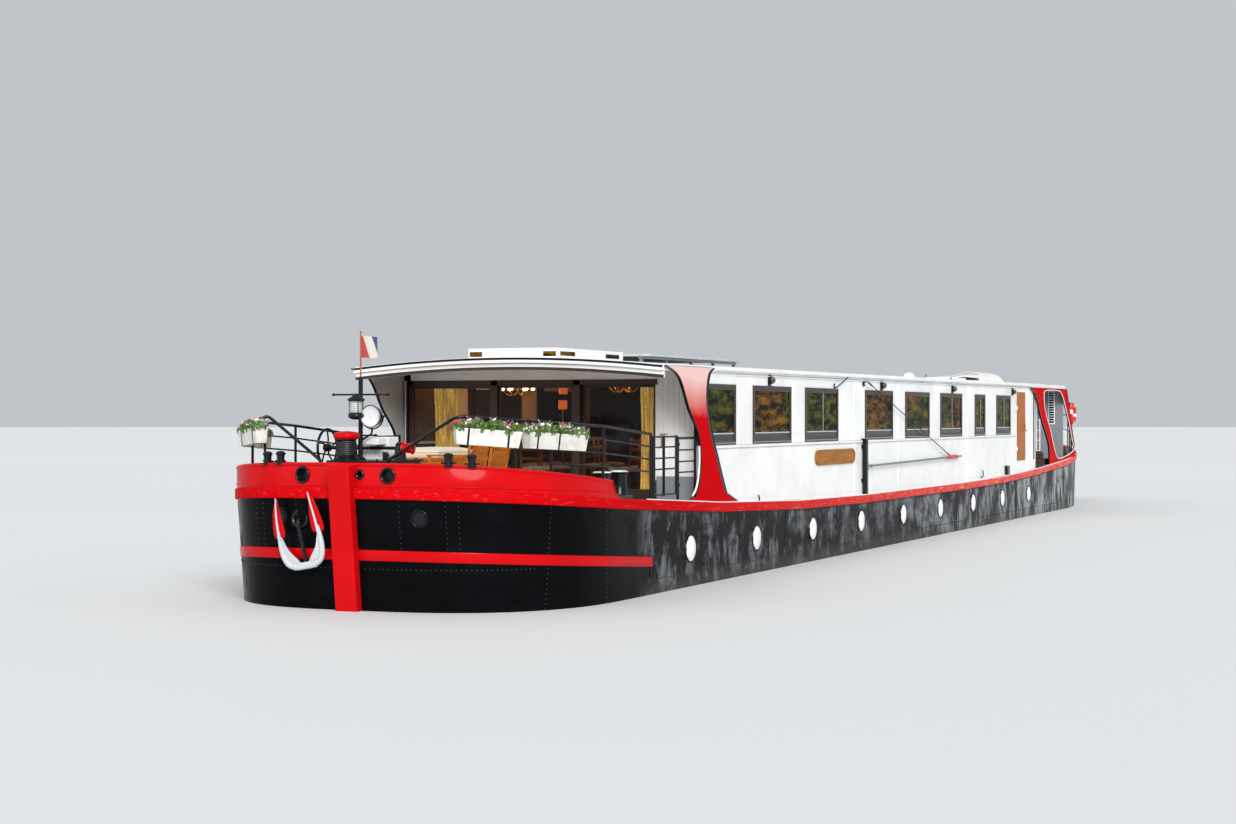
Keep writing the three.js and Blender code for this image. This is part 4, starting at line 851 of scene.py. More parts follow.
def make_woods(colours):
    wood = tuple(colours.wood)
    for name, colour, roughness, coat, along in (
        ("varnished_wood", wood, 0.28, 0.5, (2.0, 26.0, 26.0)),
        ("board_wood", linear("a86a26"), 0.35, 0.3, (2.5, 34.0, 34.0)),
        ("upright_wood", wood, 0.3, 0.45, (26.0, 26.0, 2.0)),
        ("raw_teak", linear("c4702c"), 0.5, 0.2, (2.2, 30.0, 30.0)),
        ("dark_wood", linear("3a2114"), 0.4, 0.2, (24.0, 24.0, 2.0)),
        ("parquet", linear("6d4526"), 0.35, 0.3, (2.0, 18.0, 18.0)),
    ):
        grain = Recipe(name, colour, roughness, Coat_Weight=coat * 0.1, Coat_Roughness=0.1, IOR=1.12)
        place = grain.place(along)
        rings = grain.noise(1.0, place, detail=6, rough=0.6, warp=0.8)
        pores = grain.noise(5.0, place, detail=3)
        tone = grain.blend(grain.span(rings, 0.3, 0.7), shade(colour, 0.55), shade(colour, 1.3))
        tone = grain.blend(grain.span(pores, 0.55, 0.8, 0.0, 0.5), tone, shade(colour, 0.35))
        grain.set("Base Color", tone)
        grain.set("Roughness", grain.span(rings, 0.3, 0.7, roughness * 0.8, roughness * 1.3))
        grain.bump(pores, 0.25, 0.001)


def make_cloths_and_plants(colours):
    def weave(recipe, scale, strength=0.3):
        warp = recipe.wave(scale, recipe.place(source="UV"), "X")
        weft = recipe.wave(scale, recipe.place(source="UV"), "Y")
        recipe.bump(recipe.sums("MULTIPLY", warp, weft), strength, 0.001)

    canvas = Recipe("canvas", tuple(colours.cloth), 0.85, Sheen_Weight=0.3)
    # Random darker patches on the canvas: painted shade, standing for the shade in its creases
    painted_crease_shade = canvas.noise(3.0, detail=5)
    canvas.set("Base Color", canvas.blend(painted_crease_shade, shade(colours.cloth, 0.8), tuple(colours.cloth)))
    weave(canvas, 300.0)

    cushion = Recipe("cushion_cloth", linear("d9cdb4"), 0.9, Sheen_Weight=0.4)
    thread = cushion.noise(1.0, cushion.place((240.0, 240.0, 240.0)), detail=2)
    fade = cushion.noise(4.0, detail=4)
    cushion.set("Base Color", cushion.blend(fade, linear("c9bb9d"), linear("e6dcc6")))
    cushion.bump(thread, 0.35, 0.001)

    gold = tuple(colours.gold)
    # The curtains glow faintly in their own colour: painted light for daylight shining through the cloth,
    # though they are no lamp
    curtain = Recipe("curtain_gold_painted_glow", gold, 0.7, Sheen_Weight=0.3, Emission_Strength=0.6)
    motif = curtain.cells(16.0, curtain.place(source="UV"))
    figure = curtain.blend(curtain.span(motif, 0.2, 0.34), linear("f0dc9c"), gold)
    thread = curtain.noise(1.0, curtain.place((22.0, 1.6, 1.0), "UV"), detail=5, rough=0.7)
    tone = curtain.blend(curtain.span(thread, 0.42, 0.62, 0.0, 0.85), figure, linear("6a4314"))
    curtain.set("Base Color", tone)
    curtain.set("Emission Color", tone)
    weave(curtain, 240.0, 0.2)

    flag = Recipe("flag_cloth", linear("c8242c"), 0.75, Sheen_Weight=0.3)
    split = flag.node("ShaderNodeSeparateXYZ")
    flag.tree.links.new(flag.place(source="UV"), split.inputs[0])
    slant = flag.sums("FRACT", flag.sums("ADD", flag.sums("MULTIPLY", split.outputs[0], 1.5),
                                         split.outputs[1]))
    blue = flag.sums("GREATER_THAN", slant, 0.66)
    pale = flag.sums("GREATER_THAN", slant, 0.33)
    tone = flag.blend(pale, linear("c8242c"), linear("ece7dc"))
    flag.set("Base Color", flag.blend(blue, tone, linear("27407f")))
    weave(flag, 160.0, 0.25)

    rope = Recipe("rope_fibre", linear("4b4238"), 0.9)
    lay = rope.wave(1.0, rope.place((1.0, 3.0, 1.0), "UV"), "DIAGONAL")
    hair = rope.noise(120.0, detail=4)
    # Darker where the lay's wave and the hair noise are low: in the grooves between the strands this is
    # painted shade, elsewhere random tone of the fibres
    rope.set("Base Color", rope.blend(rope.sums("MULTIPLY", lay, hair), linear("2b2520"), linear("7b6d58")))
    rope.bump(lay, 0.8, 0.004)

    leaf = Recipe("leaf", linear("3f6a28"), 0.5)
    vein = leaf.noise(30.0, detail=4)
    leaf.set("Base Color", leaf.blend(vein, linear("274a1c"), linear("6d9440")))
    leaf.bump(vein, 0.3, 0.002)
    for name, low, high in (("petal_red", "b3142c", "e2405a"), ("petal_white", "e8dfe0", "fdfafa")):
        petal = Recipe(name, linear(high), 0.6, Sheen_Weight=0.2)
        petal.set("Base Color", petal.blend(petal.noise(26.0, detail=3), linear(low), linear(high)))
        petal.bump(petal.noise(90.0), 0.2, 0.001)
    soil = Recipe("soil", linear("2b2019"), 0.95)
    soil.bump(soil.noise(70.0, detail=6, rough=0.7), 0.9, 0.01)

    plastic = Recipe("trough_white", linear("ecebe6"), 0.42)
    film = plastic.noise(9.0, detail=5)
    plastic.set("Base Color", plastic.blend(plastic.span(film, 0.45, 0.8), linear("dedcd5"),
                                            linear("bdbab0")))
    plastic.bump(plastic.noise(300.0, detail=2), 0.1, 0.001)

    rubber = Recipe("black_rubber", linear("17181a"), 0.65)
    rubber.bump(rubber.noise(120.0, detail=3), 0.3, 0.001)
    floor = Recipe("studio_floor", linear("dfe0df"), 0.75)
    floor.set("Base Color", floor.blend(floor.noise(0.05, detail=2), linear("dbdcdb"), linear("e3e4e3")))


def make_finishes(colours):
    make_paints(colours)
    make_metals_and_glass(colours)
    make_woods(colours)
    make_cloths_and_plants(colours)


# Geometry nodes


class NodePlan:
    """A Geometry Nodes tree in the making, with named inputs."""

    def __init__(self, name, inputs):
        self.tree = bpy.data.node_groups.new(name, "GeometryNodeTree")
        self.tree.is_modifier = True
        sockets = self.tree.interface
        sockets.new_socket("Geometry", in_out="INPUT", socket_type="NodeSocketGeometry")
        for label, kind in inputs:
            sockets.new_socket(label, in_out="INPUT", socket_type="NodeSocket" + kind)
        sockets.new_socket("Geometry", in_out="OUTPUT", socket_type="NodeSocketGeometry")
        self.inputs = self.node("NodeGroupInput").outputs
        self.outlet = self.node("NodeGroupOutput").inputs[0]

    def node(self, kind, links=None, **settings):
        node = self.tree.nodes.new(kind)
        for key, value in settings.items():
            setattr(node, key, value)
        for key, value in (links or {}).items():
            socket = node.inputs[key]
            if isinstance(value, bpy.types.NodeSocket):
                self.tree.links.new(value, socket)
            else:
                socket.default_value = value
        return node

    def finish(self, instances):
        """Ends the tree: instances made real, then their finish."""
        real = self.node("GeometryNodeRealizeInstances", {"Geometry": instances})
        dressed = self.node("GeometryNodeSetMaterial",
                            {"Geometry": real.outputs[0], "Material": self.inputs["Finish"]})
        self.tree.links.new(dressed.outputs[0], self.outlet)
        return self.tree


def row_plan():
    """Units set at an even pitch along the lines of a wire mesh."""
    plan = NodePlan("row_along_lines", [("Unit", "Object"), ("Pitch", "Float"), ("Finish", "Material")])
    line = plan.node("GeometryNodeMeshToCurve", {"Mesh": plan.inputs["Geometry"]})
    spots = plan.node("GeometryNodeResampleCurve", {"Curve": line.outputs[0], "Length": plan.inputs["Pitch"]},
                      mode="LENGTH")
    unit = plan.node("GeometryNodeObjectInfo", {"Object": plan.inputs["Unit"]}, transform_space="ORIGINAL")
    placed = plan.node("GeometryNodeInstanceOnPoints",
                       {"Points": spots.outputs[0], "Instance": unit.outputs["Geometry"]})
    return plan.finish(placed.outputs[0])


def spot_plan():
    """One unit on each point of a mesh."""
    plan = NodePlan("unit_on_spots", [("Unit", "Object"), ("Finish", "Material")])
    unit = plan.node("GeometryNodeObjectInfo", {"Object": plan.inputs["Unit"]}, transform_space="ORIGINAL")
    placed = plan.node("GeometryNodeInstanceOnPoints",
                       {"Points": plan.inputs["Geometry"], "Instance": unit.outputs["Geometry"]})
    return plan.finish(placed.outputs[0])


def growth_plan():
    """Units scattered over a surface, standing on it, each turned and sized at random."""
    plan = NodePlan("growth_on_surface", [
        ("Unit", "Object"), ("Density", "Float"), ("Smallest", "Float"), ("Largest", "Float"),
        ("Seed", "Int"), ("Finish", "Material"),
    ])
    spots = plan.node("GeometryNodeDistributePointsOnFaces", {
        "Mesh": plan.inputs["Geometry"], "Density": plan.inputs["Density"], "Seed": plan.inputs["Seed"]})
    turn = plan.node("FunctionNodeRandomValue", {"Seed": plan.inputs["Seed"]}, data_type="FLOAT_VECTOR")
    turn.inputs[0].default_value = (-0.35, -0.35, 0.0)
    turn.inputs[1].default_value = (0.35, 0.35, 2 * pi)
    tip = plan.node("FunctionNodeRotateRotation", {
        "Rotation": spots.outputs["Rotation"], "Rotate By": turn.outputs["Value"]}, rotation_space="LOCAL")
    size = plan.node("FunctionNodeRandomValue", {"Seed": plan.inputs["Seed"]}, data_type="FLOAT")
    plan.tree.links.new(plan.inputs["Smallest"], size.inputs[2])
    plan.tree.links.new(plan.inputs["Largest"], size.inputs[3])
    unit = plan.node("GeometryNodeObjectInfo", {"Object": plan.inputs["Unit"]}, transform_space="ORIGINAL")
    placed = plan.node("GeometryNodeInstanceOnPoints", {
        "Points": spots.outputs["Points"], "Instance": unit.outputs["Geometry"],
        "Rotation": tip.outputs[0], "Scale": size.outputs[1]})
    return plan.finish(placed.outputs[0])


def winding_plan():
    """Rope or wire wound on a drum, from a spiral line."""
    plan = NodePlan("winding_on_drum", [
        ("Turns", "Float"), ("Drum Radius", "Float"), ("Height", "Float"), ("Thickness", "Float"),
        ("Finish", "Material"),
    ])
    spiral = plan.node("GeometryNodeCurveSpiral", {
        "Resolution": 28, "Rotations": plan.inputs["Turns"], "Start Radius": plan.inputs["Drum Radius"],
        "End Radius": plan.inputs["Drum Radius"], "Height": plan.inputs["Height"]})
    ring = plan.node("GeometryNodeCurvePrimitiveCircle",
                     {"Resolution": 8, "Radius": plan.inputs["Thickness"]})
    wound = plan.node("GeometryNodeCurveToMesh", {
        "Curve": spiral.outputs[0], "Profile Curve": ring.outputs[0], "Fill Caps": True})
    return plan.finish(wound.outputs[0])


def grown(name, host, plan, inputs, finish, body, move=None, smooth=40.0):
    """Plain mesh from a Geometry Nodes tree on a host mesh. The host and its modifier go."""
    source = host if isinstance(host, bpy.types.Object) else add_object(name + "_host", host)
    modifier = source.modifiers.new("plan", "NODES")
    modifier.node_group = plan
    named = {item.name: item.identifier for item in plan.interface.items_tree if item.in_out == "INPUT"}
    for label, value in {**inputs, "Finish": FINISHES[finish]}.items():
        modifier[named[label]] = value
    mesh = settled_mesh(source)
    bpy.data.objects.remove(source)
    if not mesh.vertices:
        raise RuntimeError(f"{name}: the node tree made nothing")
    mesh.name = name
    if move:
        mesh.transform(move)
    if mesh.materials.find(finish) < 0:
        raise RuntimeError(f"{name}: the node tree set no finish")
    mesh.shade_smooth()
    mesh.set_sharp_from_angle(angle=radians(smooth))
    return fitted(add_object(name, mesh), body)


def wire_mesh(name, lines):
    """Mesh of bare lines, for a row plan."""
    points, edges = [], []
    for line in lines:
        start = len(points)
        points += line
        edges += [(start + i, start + i + 1) for i in range(len(line) - 1)]
    mesh = bpy.data.meshes.new(name)
    mesh.from_pydata(points, edges, [])
    return mesh


def unit_object(name, shells):
    """A small shape that only the node trees use."""
    thing = add_object(name, shell_mesh(name, shells, 40))
    thing.hide_render = True
    return thing


def drop(*things):
    for thing in things:
        bpy.data.objects.remove(thing)


def repeated(name, shells, points, finish):
    """The same small shape on each of the points."""
    unit = unit_object(name + "_unit", shells)
    spots = bpy.data.meshes.new(name + "_spots")
    spots.from_pydata(points, [], [])
    grown(name, spots, spot_plan(), {"Unit": unit}, finish, "boat")
    drop(unit)


# What a user would change


class BoatColours(bpy.types.PropertyGroup):
    """Paints, woods and cloths"""

    red: FloatVectorProperty(name="Red paint", description="Bulwark, rails and side panels",
                             subtype="COLOR", size=3, min=0, max=1, default=linear("c40a10"))
    white: FloatVectorProperty(name="White paint", description="House, roof edge and anchor",
                               subtype="COLOR", size=3, min=0, max=1, default=linear("f3f3f1"))
    black: FloatVectorProperty(name="Black paint", description="Glossy bow shell",
                               subtype="COLOR", size=3, min=0, max=1, default=linear("08090b"))
    grey: FloatVectorProperty(name="Grey paint", description="Aft house and engine casing",
                              subtype="COLOR", size=3, min=0, max=1, default=linear("8b8f93"))
    deck: FloatVectorProperty(name="Deck paint", description="Walked decks",
                              subtype="COLOR", size=3, min=0, max=1, default=linear("4a4c4e"))
    frame: FloatVectorProperty(name="Window frames", description="Brown coated aluminium",
                               subtype="COLOR", size=3, min=0, max=1, default=linear("3b3029"))
    wood: FloatVectorProperty(name="Varnished wood", description="Doors, wheel and name board",
                              subtype="COLOR", size=3, min=0, max=1, default=linear("ac661c"))
    cloth: FloatVectorProperty(name="Canvas", description="Folded awning on the roof",
                               subtype="COLOR", size=3, min=0, max=1, default=linear("efece4"))
    gold: FloatVectorProperty(name="Curtains", description="Ground colour of the curtains",
                              subtype="COLOR", size=3, min=0, max=1, default=linear("e2b852"))


class BoatSizes(bpy.types.PropertyGroup):
    """Sizes of the fittings"""

    rivet_radius: FloatProperty(name="Rivet radius", description="Radius of a rivet's head",
                                default=0.009, min=0.004, max=0.03, subtype="DISTANCE", unit="LENGTH")
    rivet_pitch: FloatProperty(name="Rivet pitch", description="Distance between rivets in a seam",
                               default=0.06, min=0.03, max=0.3, subtype="DISTANCE", unit="LENGTH")
    porthole: FloatProperty(name="Porthole", description="Diameter of a porthole's cover",
                            default=0.35, min=0.15, max=0.5, subtype="DISTANCE", unit="LENGTH")
    portholes: IntProperty(name="Portholes a side",
                           description="Number of portholes in each side of the hull", default=9, min=1,
                           max=20)
    board: FloatProperty(name="Board width", description="Width of the grooved boards beside the front door",
                         default=0.085, min=0.04, max=0.2, subtype="DISTANCE", unit="LENGTH")
    rope: FloatProperty(name="Rope diameter", description="Diameter of the mooring rope",
                        default=0.027, min=0.01, max=0.028, subtype="DISTANCE", unit="LENGTH")
    leaves: FloatProperty(name="Leaf density", description="Leaf clusters on a square metre of planting",
                          default=700.0, min=20.0, max=900.0)
    blossoms: FloatProperty(name="Blossom density", description="Blossoms on a square metre of planting",
                            default=260.0, min=0.0, max=500.0)


class BoatStage(bpy.types.PropertyGroup):
    """Camera, floor and light"""

    lens: FloatProperty(name="Lens", description="Focal length on a 36 mm sensor", default=60.58, min=20,
                        max=200)
    key: FloatProperty(name="Key light", description="Strength of the main soft light", default=2.9, min=0,
                       max=20)
    fill: FloatProperty(name="Fill light", description="Strength of the soft light from the other side",
                        default=0.5, min=0, max=20)
    sky: FloatProperty(name="Surroundings", description="Strength of the pale surroundings",
                       default=0.62, min=0, max=5)


# Stage and ropes


class BOAT_OT_stage(bpy.types.Operator):
    """Pale floor at the waterline, soft lights and the camera at the photograph's view"""

    bl_idname = "boat.stage"
    bl_label = "Stage"

    def execute(self, context):
        stage = context.scene.boat_stage
        make_finishes(context.scene.boat_colours)
        camera = bpy.data.cameras.new("view")
        camera.lens = stage.lens
        camera.sensor_width = 36.0
        camera.clip_end = 500.0
        viewer = add_object("view", camera)
        viewer.location = CAMERA["place"]
        ahead = Vector(CAMERA["ahead"]).normalized() + Vector((0, 0, CAMERA["rise"]))
        viewer.rotation_euler = ahead.to_track_quat("-Z", "Y").to_euler()
        context.scene.camera = viewer

        sides, radii = FLOOR["sides"], FLOOR["radii"]
        points = [Vector((u, v, WATERLINE)) for radius in radii for u, v in circle(radius, sides)]
        faces = [tuple(range(sides))]
        for low in range(0, (len(radii) - 1) * sides, sides):
            high = low + sides
            faces += [(low + k, high + k, high + (k + 1) % sides, low + (k + 1) % sides)
                      for k in range(sides)]
        mesh = bpy.data.meshes.new("floor")
        mesh.from_pydata(points, [], faces)
        mesh.materials.append(FINISHES["studio_floor"])
        add_object("floor", mesh)

        for name, strength, towards, angle in (
            ("key_light", stage.key, (-0.75, -0.55, -0.5), 28),
            ("fill_light", stage.fill, (-0.75, 0.6, -0.5), 50),
        ):
            sun = bpy.data.lights.new(name, "SUN")
            sun.energy = strength
            sun.angle = radians(angle)
            lamp = add_object(name, sun)
            lamp.rotation_euler = Vector(towards).to_track_quat("-Z", "Y").to_euler()
        world = bpy.data.worlds.new("surroundings")
        world.use_nodes = True
        back = world.node_tree.nodes["Background"]
        back.inputs["Color"].default_value = (0.86, 0.9, 0.95, 1.0)
        back.inputs["Strength"].default_value = stage.sky
        context.scene.world = world
        context.scene.view_settings.view_transform = "Standard"
        return {"FINISHED"}


class BOAT_OT_mooring_rope(bpy.types.Operator):
    """Mooring rope in a round coil on the port side deck"""

    bl_idname = "boat.mooring_rope"
    bl_label = "Mooring rope"

    def execute(self, context):
        self.lay_coil("mooring_rope", COIL, ["rope_coil"], context.scene.boat_sizes.rope)
        for name, s, y, layers in SPARE_COILS:
            self.lay_coil(name, {**COIL, "s": s, "y": y, "layers": layers, "stray": 1.0}, [],
                          context.scene.boat_sizes.rope)
        return {"FINISHED"}

    def lay_coil(self, name, coil, nodes, thick):
        pitch, across, layers = coil["pitch"], coil["across"], coil["layers"]
        inner = coil["middle"] - (across - 1) / 2 * pitch
        outer = coil["middle"] + across / 2 * pitch
        fore, aft = deck_h(coil["s"] - outer), deck_h(coil["s"] + outer)
        slope = atan2(aft - fore, 2 * outer)
        base = max((fore + aft) / 2, deck_h(coil["s"])) + 0.0006
        place = Matrix.Translation(at(coil["s"], coil["y"], base)) @ Matrix.Rotation(slope, 4, "Y")
        steps = 20
        path = []
        span = across - 1
        for layer in range(layers):
            count = span * steps
            for i in range(count + 1 if layer == layers - 1 else count):
                share = i / count
                radius = mix(inner, inner + span * pitch, share if layer % 2 == 0 else 1 - share)
                turn = 2 * pi * (layer * span + i / steps)
                lift = layer + (clamp((i - count + 8) / 8) if layer < layers - 1 else 0.0)
                level = coil["stray"] * (layer + share)
                stray = Vector((0.05 * sin(1.9 * level), 0.022 * sin(2.7 * level), 0.0))
                path.append(place @ (Vector((radius * cos(turn), radius * sin(turn), (lift + 0.5) * pitch))
                                     + stray))
        shell = tube(path, thick / 2, 10)
        rope = piece(name, [shell], ["rope_fibre"], replaces=nodes)
        strand_uv(rope.data, path, 10, thick)
        ends = []
        for a, b in ((path[0], path[1]), (path[-1], path[-2])):
            way = (b - a).normalized()
            ends.append(tube([a - way * 0.001, a + way * 0.04], thick / 2 + 0.0008, 14))
        whipping = piece(f"{name}_whipping", ends, ["canvas"], bevel=0.0005)


def strand_uv(mesh, path, sides, thick):
    """UV along a rope in turns of its lay, so that the strands wind round it."""
    layer = mesh.uv_layers.new(name="UVMap")
    lengths = [0.0]
    for a, b in zip(path, path[1:]):
        lengths.append(lengths[-1] + (b - a).length)
    for polygon in mesh.polygons:
        corners = [(divmod(mesh.loops[i].vertex_index, sides), i) for i in polygon.loop_indices]
        if len(corners) != 4:
            continue
        across = [k for (_, k), _ in corners]
        wraps = max(across) - min(across) > sides / 2
        for (row, k), i in corners:
            k = k + sides if wraps and k < sides / 2 else k
            layer.data[i].uv = (lengths[row] / (thick * 3.0), k / sides)


# Hull


class BOAT_OT_hull(bpy.types.Operator):
    """Hull skin with its decks, stem, rub rail, bulwark, stripe and riveted seams"""

    bl_idname = "boat.hull"
    bl_label = "Hull"

    def execute(self, context):
        sizes = context.scene.boat_sizes
        rings = []
        for level, outline in zip(LEVELS, OUTLINES):
            port = [at(s, y, level_h(level, s)) for s, y in outline]
            rings.append(port + [Vector((p.x, -p.y, p.z)) for p in reversed(port)])
        skin = loft(rings, cap=False)
        half = len(OUTLINES[0])
        for ring, tone in ((0, 2), (len(rings) - 1, 1)):
            start = ring * 2 * half
            for i in range(half - 1):
                j = 2 * half - 1 - i
                skin.faces.append((start + i, start + i + 1, start + j - 1, start + j))
                skin.tones.append(tone)
        for n, face in enumerate(skin.faces):
            if max(skin.points[i].z for i in face) < 0.3 and skin.tones[n] == 0:
                skin.tones[n] = 2
        heel = side_plate([[(34.5, -1.25), (37.05, -1.25), (37.05, -1.16), (34.7, -1.16), (34.5, -1.2)]],
                          -0.06, 0.06, (2, 2, 2))
        shaft_tube = lathe([(0, 0), (0.06, 0), (0.06, 0.02), (0.075, 0.03), (0.075, 0.12), (0.06, 0.14),
                            (0.06, 1.0), (0, 1.0)], at(PROPELLER["s"] - 0.096, 0, PROPELLER["h"]), AHEAD,
                           24, 2)
        trunk = lathe(rectangle(0, 0.07, 0, 0.24), at(RUDDER_STOCK, 0, 1.06 - WATERLINE), UP, 24, 2)
        piece("hull_skin", [skin, heel, shaft_tube, trunk], ["hull_black", "deck_paint", "bottom_black"],
              replaces=["hull"], smooth=30)

        top = BULWARK["stem_top"]
        rake = (BOW_LEAD + 0.06) / top
        front = [(-BOW_LEAD, top), (0.06 + 0.69 * rake, -0.69), (0.15, -0.84), (0.23, -0.95), (0.31, -1.07),
                 (0.4, -1.14)]
        back = [(level[2][0] - 0.0003, level_h(level, level[2][0])) for level in LEVELS]
        stem = side_plate([front + back + [(back[-1][0], top)]], -STEM_HALF, STEM_HALF)
        piece("stem_bar", [stem], ["red_gloss"], replaces=["stem"], bevel=0.018)

        def rail_section(s):
            h = sheer_line(s)
            return [(-0.1, h - 0.135), (0.014, h - 0.135), (0.023, h - 0.127), (0.025, h - 0.11),
                    (0.025, h - 0.02), (0.021, h - 0.006), (0.012, h), (-0.1, h)]

        edge = OUTLINES[-1] + [(OUTLINES[-1][-1][0], 0.001)]
        rail = edge_strip(edge, rail_section)
        piece("rub_rail", [rail, *mirrored([rail])], ["rail_red"],
              replaces=["rub_rail_port", "rub_rail_starboard"])
        side = [(s, y) for s, y in OUTLINES[-1] if 2.8 < s < 33.4]
        toe = edge_strip(side, lambda s: [(-0.035, deck_h(s) - 0.01), (0.0, deck_h(s) - 0.01),
                                          (0.0, deck_h(s) + 0.01), (-0.004, deck_h(s) + 0.014),
                                          (-0.031, deck_h(s) + 0.014), (-0.035, deck_h(s) + 0.01)])
        piece("toe_line", [toe, *mirrored([toe])], ["white_gloss"])

        self.make_bulwark()
        self.make_stripe()
        self.make_seams(sizes)
        return {"FINISHED"}

    def make_bulwark(self):
        front = [(s, y) for s, y in OUTLINES[-1] if s < BULWARK["end"]]
        tail_s = [BULWARK["end"] + share * BULWARK["round"]
                  for share in (0, 0.03, 0.12, 0.3, 0.5, 0.7, 0.85, 1)]
        port = front + [(s, deck_half(s)) for s in tail_s]

        def section(s):
            low, high = sheer_line(s), bulwark_top(s)
            inner = -BULWARK["thick"]
            return [(inner, low), (0.0, low), (0.0, high - 0.012), (-0.006, high - 0.003), (inner / 2, high),
                    (inner + 0.006, high - 0.003), (inner, high - 0.012)]

        wall = edge_strip(both_ways(port), section)
        cutters = []
        for y, h, radius in HAWSE_HOLES:
            s = next(s for s, half in front if half >= abs(y))
            cutters.append(tube([at(s - 0.3, y * 1.02, h), at(s + 0.3, y * 0.98, h)], radius, 28))
        wall = carved([wall], cutters, "bulwark")
        piece("bow_bulwark_wall", [wall], ["red_gloss"], replaces=["bow_bulwark"])

        rims = []
        for y, h, radius in HAWSE_HOLES:
            i = next(i for i, (_, half) in enumerate(front) if half >= abs(y))
            (s0, y0), (s1, y1) = front[i - 1], front[i]
            normal = Vector((y1 - y0, s1 - s0, 0)).normalized()
            share = (abs(y) - y0) / (y1 - y0)
            sign = 1 if y > 0 else -1
            spot = at(mix(s0, s1, share), abs(y), h) + normal * 0.004
            pipe = [(0, -0.075), (radius + 0.004, -0.075), (radius + 0.004, -0.012), (radius - 0.004, -0.012),
                    (radius - 0.006, -0.066), (0, -0.066)]
            shells = [hoop(spot, normal, radius + 0.004, 0.016, 36, 10), lathe(pipe, spot, normal, 36)]
            rims += mirrored(shells, sign)
        piece("hawse_rims", rims, ["black_gloss"])

        cap = edge_strip(both_ways(port[:-2]), lambda s: [
            (-0.025 + 0.038 * cos(a), bulwark_top(s) - 0.002 + 0.026 * sin(a))
            for a in turns(10)])
        bead = edge_strip(both_ways(front), lambda s: [
            (0.012 * cos(a), 1.53 - 0.045 * s + 0.012 * sin(a)) for a in turns(8)])
        piece("bulwark_capping", [cap, bead], ["red_gloss"])

    def make_stripe(self):
        def on_skin(k, h):
            i = int(k)
            return Vector(skin_point(i, h)).lerp(Vector(skin_point(i + 1, h)), k - i)

        stations = [k for k in range(len(OUTLINES[0])) if skin_point(k, 0.5)[0] < STRIPE_END]
        last = stations[-1]
        before, after = skin_point(last, 0.5)[0], skin_point(last + 1, 0.5)[0]
        stations.append(last + (STRIPE_END - before) / (after - before))
        shells = []
        for sign in (1, -1):
            rings = []
            for k in stations:
                middle = mix(0.695, 0.435, clamp(on_skin(k, 0.5).x / STRIPE_END))
                ring = []
                for off, up in ((-0.03, -0.065), (0.008, -0.065), (0.012, -0.058), (0.012, 0.058),
                                (0.008, 0.065), (-0.03, 0.065)):
                    along = on_skin(k + 1, middle + up) - on_skin(max(0, k - 1), middle + up)
                    spot = on_skin(k, middle + up)
                    out = Vector((-along.y, along.x)).normalized()
                    ring.append(at(spot.x + out.x * off, sign * (spot.y + out.y * off), middle + up))
                rings.append(ring)
            shells.append(loft(rings))
        piece("bow_stripe", shells, ["red_gloss"])

    def make_seams(self, sizes):
        def side_line(s, low, high, count, off=0.001):
            return [at(s, skin_y(s, h) + off, h) for h in evenly(low, high, count)]

        def on_side(line, sign):
            return [Vector((p.x, sign * p.y, p.z)) for p in line]

        lengthwise = [3.8 + k for k in range(31)]
        port = [side_line(s, 0.02, deck_h(s) - 0.16, 8) for s in (1.15, 2.3, 3.62, 3.74)]
        port += [side_line(s, 0.02, deck_h(s) - 0.16, 4)
                 for s in (6.5, 9.3, 12.1, 14.8, 17.6, 20.3, 23.1, 25.9, 28.8, 31.4, 33.6)]
        for height in (lambda s: deck_h(s) - 0.155, lambda s: 0.2):
            port.append([at(s, skin_y(s, height(s)) + 0.001, height(s)) for s in lengthwise])
        port += [[at(bow_s(y, h) - 0.001, y, h) for h in evenly(0.78, 1.42, 6)] for y in (0.72, 1.28, 1.42)]
        port.append([at(bow_s(y, 0.52) - 0.001, y, 0.52) for y in evenly(0.22, 2.1, 30)])
        rows = [on_side(line, sign) for sign in (1, -1) for line in port]
        radius = sizes.rivet_radius
        head = unit_object("rivet",
                           [dome((0, 0, -0.003), way, radius, radius, 6, 2) for way in (UP, (0, 0, -1))])
        # The rivets' lighter grey finish is a painted highlight
        grown("hull_rivets", wire_mesh("seams", rows), row_plan(), {"Unit": head, "Pitch": sizes.rivet_pitch},
              "rivet_head_painted_highlight", "boat")
        drop(head)
        plugs = []
        for sign in (1, -1):
            y, h = PLUG["y"], PLUG["h"]
            here = at(bow_s(y, h), y, h)
            across = at(bow_s(y + 0.08, h), y + 0.08, h) - at(bow_s(y - 0.08, h), y - 0.08, h)
            rising = at(bow_s(y, h + 0.05), y, h + 0.05) - at(bow_s(y, h - 0.05), y, h - 0.05)
            normal = across.cross(rising).normalized()
            normal *= 1 if normal.x > 0 else -1
            here += normal * 0.004
            spot = Vector((here.x, sign * here.y, here.z))
            normal = Vector((normal.x, sign * normal.y, normal.z))
            plugs += [hoop(spot, normal, PLUG["radius"], 0.009, 40, 8),
                      lathe([(0, -0.02), (PLUG["radius"] - 0.014, -0.02), (PLUG["radius"] - 0.02, 0.006),
                             (0, 0.008)], spot, normal, 36)]
        piece("bow_plugs", plugs, ["black_gloss"])
        joints = [tube(on_side(side_line(s, 0.0, deck_h(s) - 0.14, 4, -0.002), sign), 0.007, 6)
                  for sign in (1, -1) for s in (3.68, 9.3, 14.8, 20.3, 25.9, 31.4)]
        piece("plate_laps", joints, ["hull_black"])


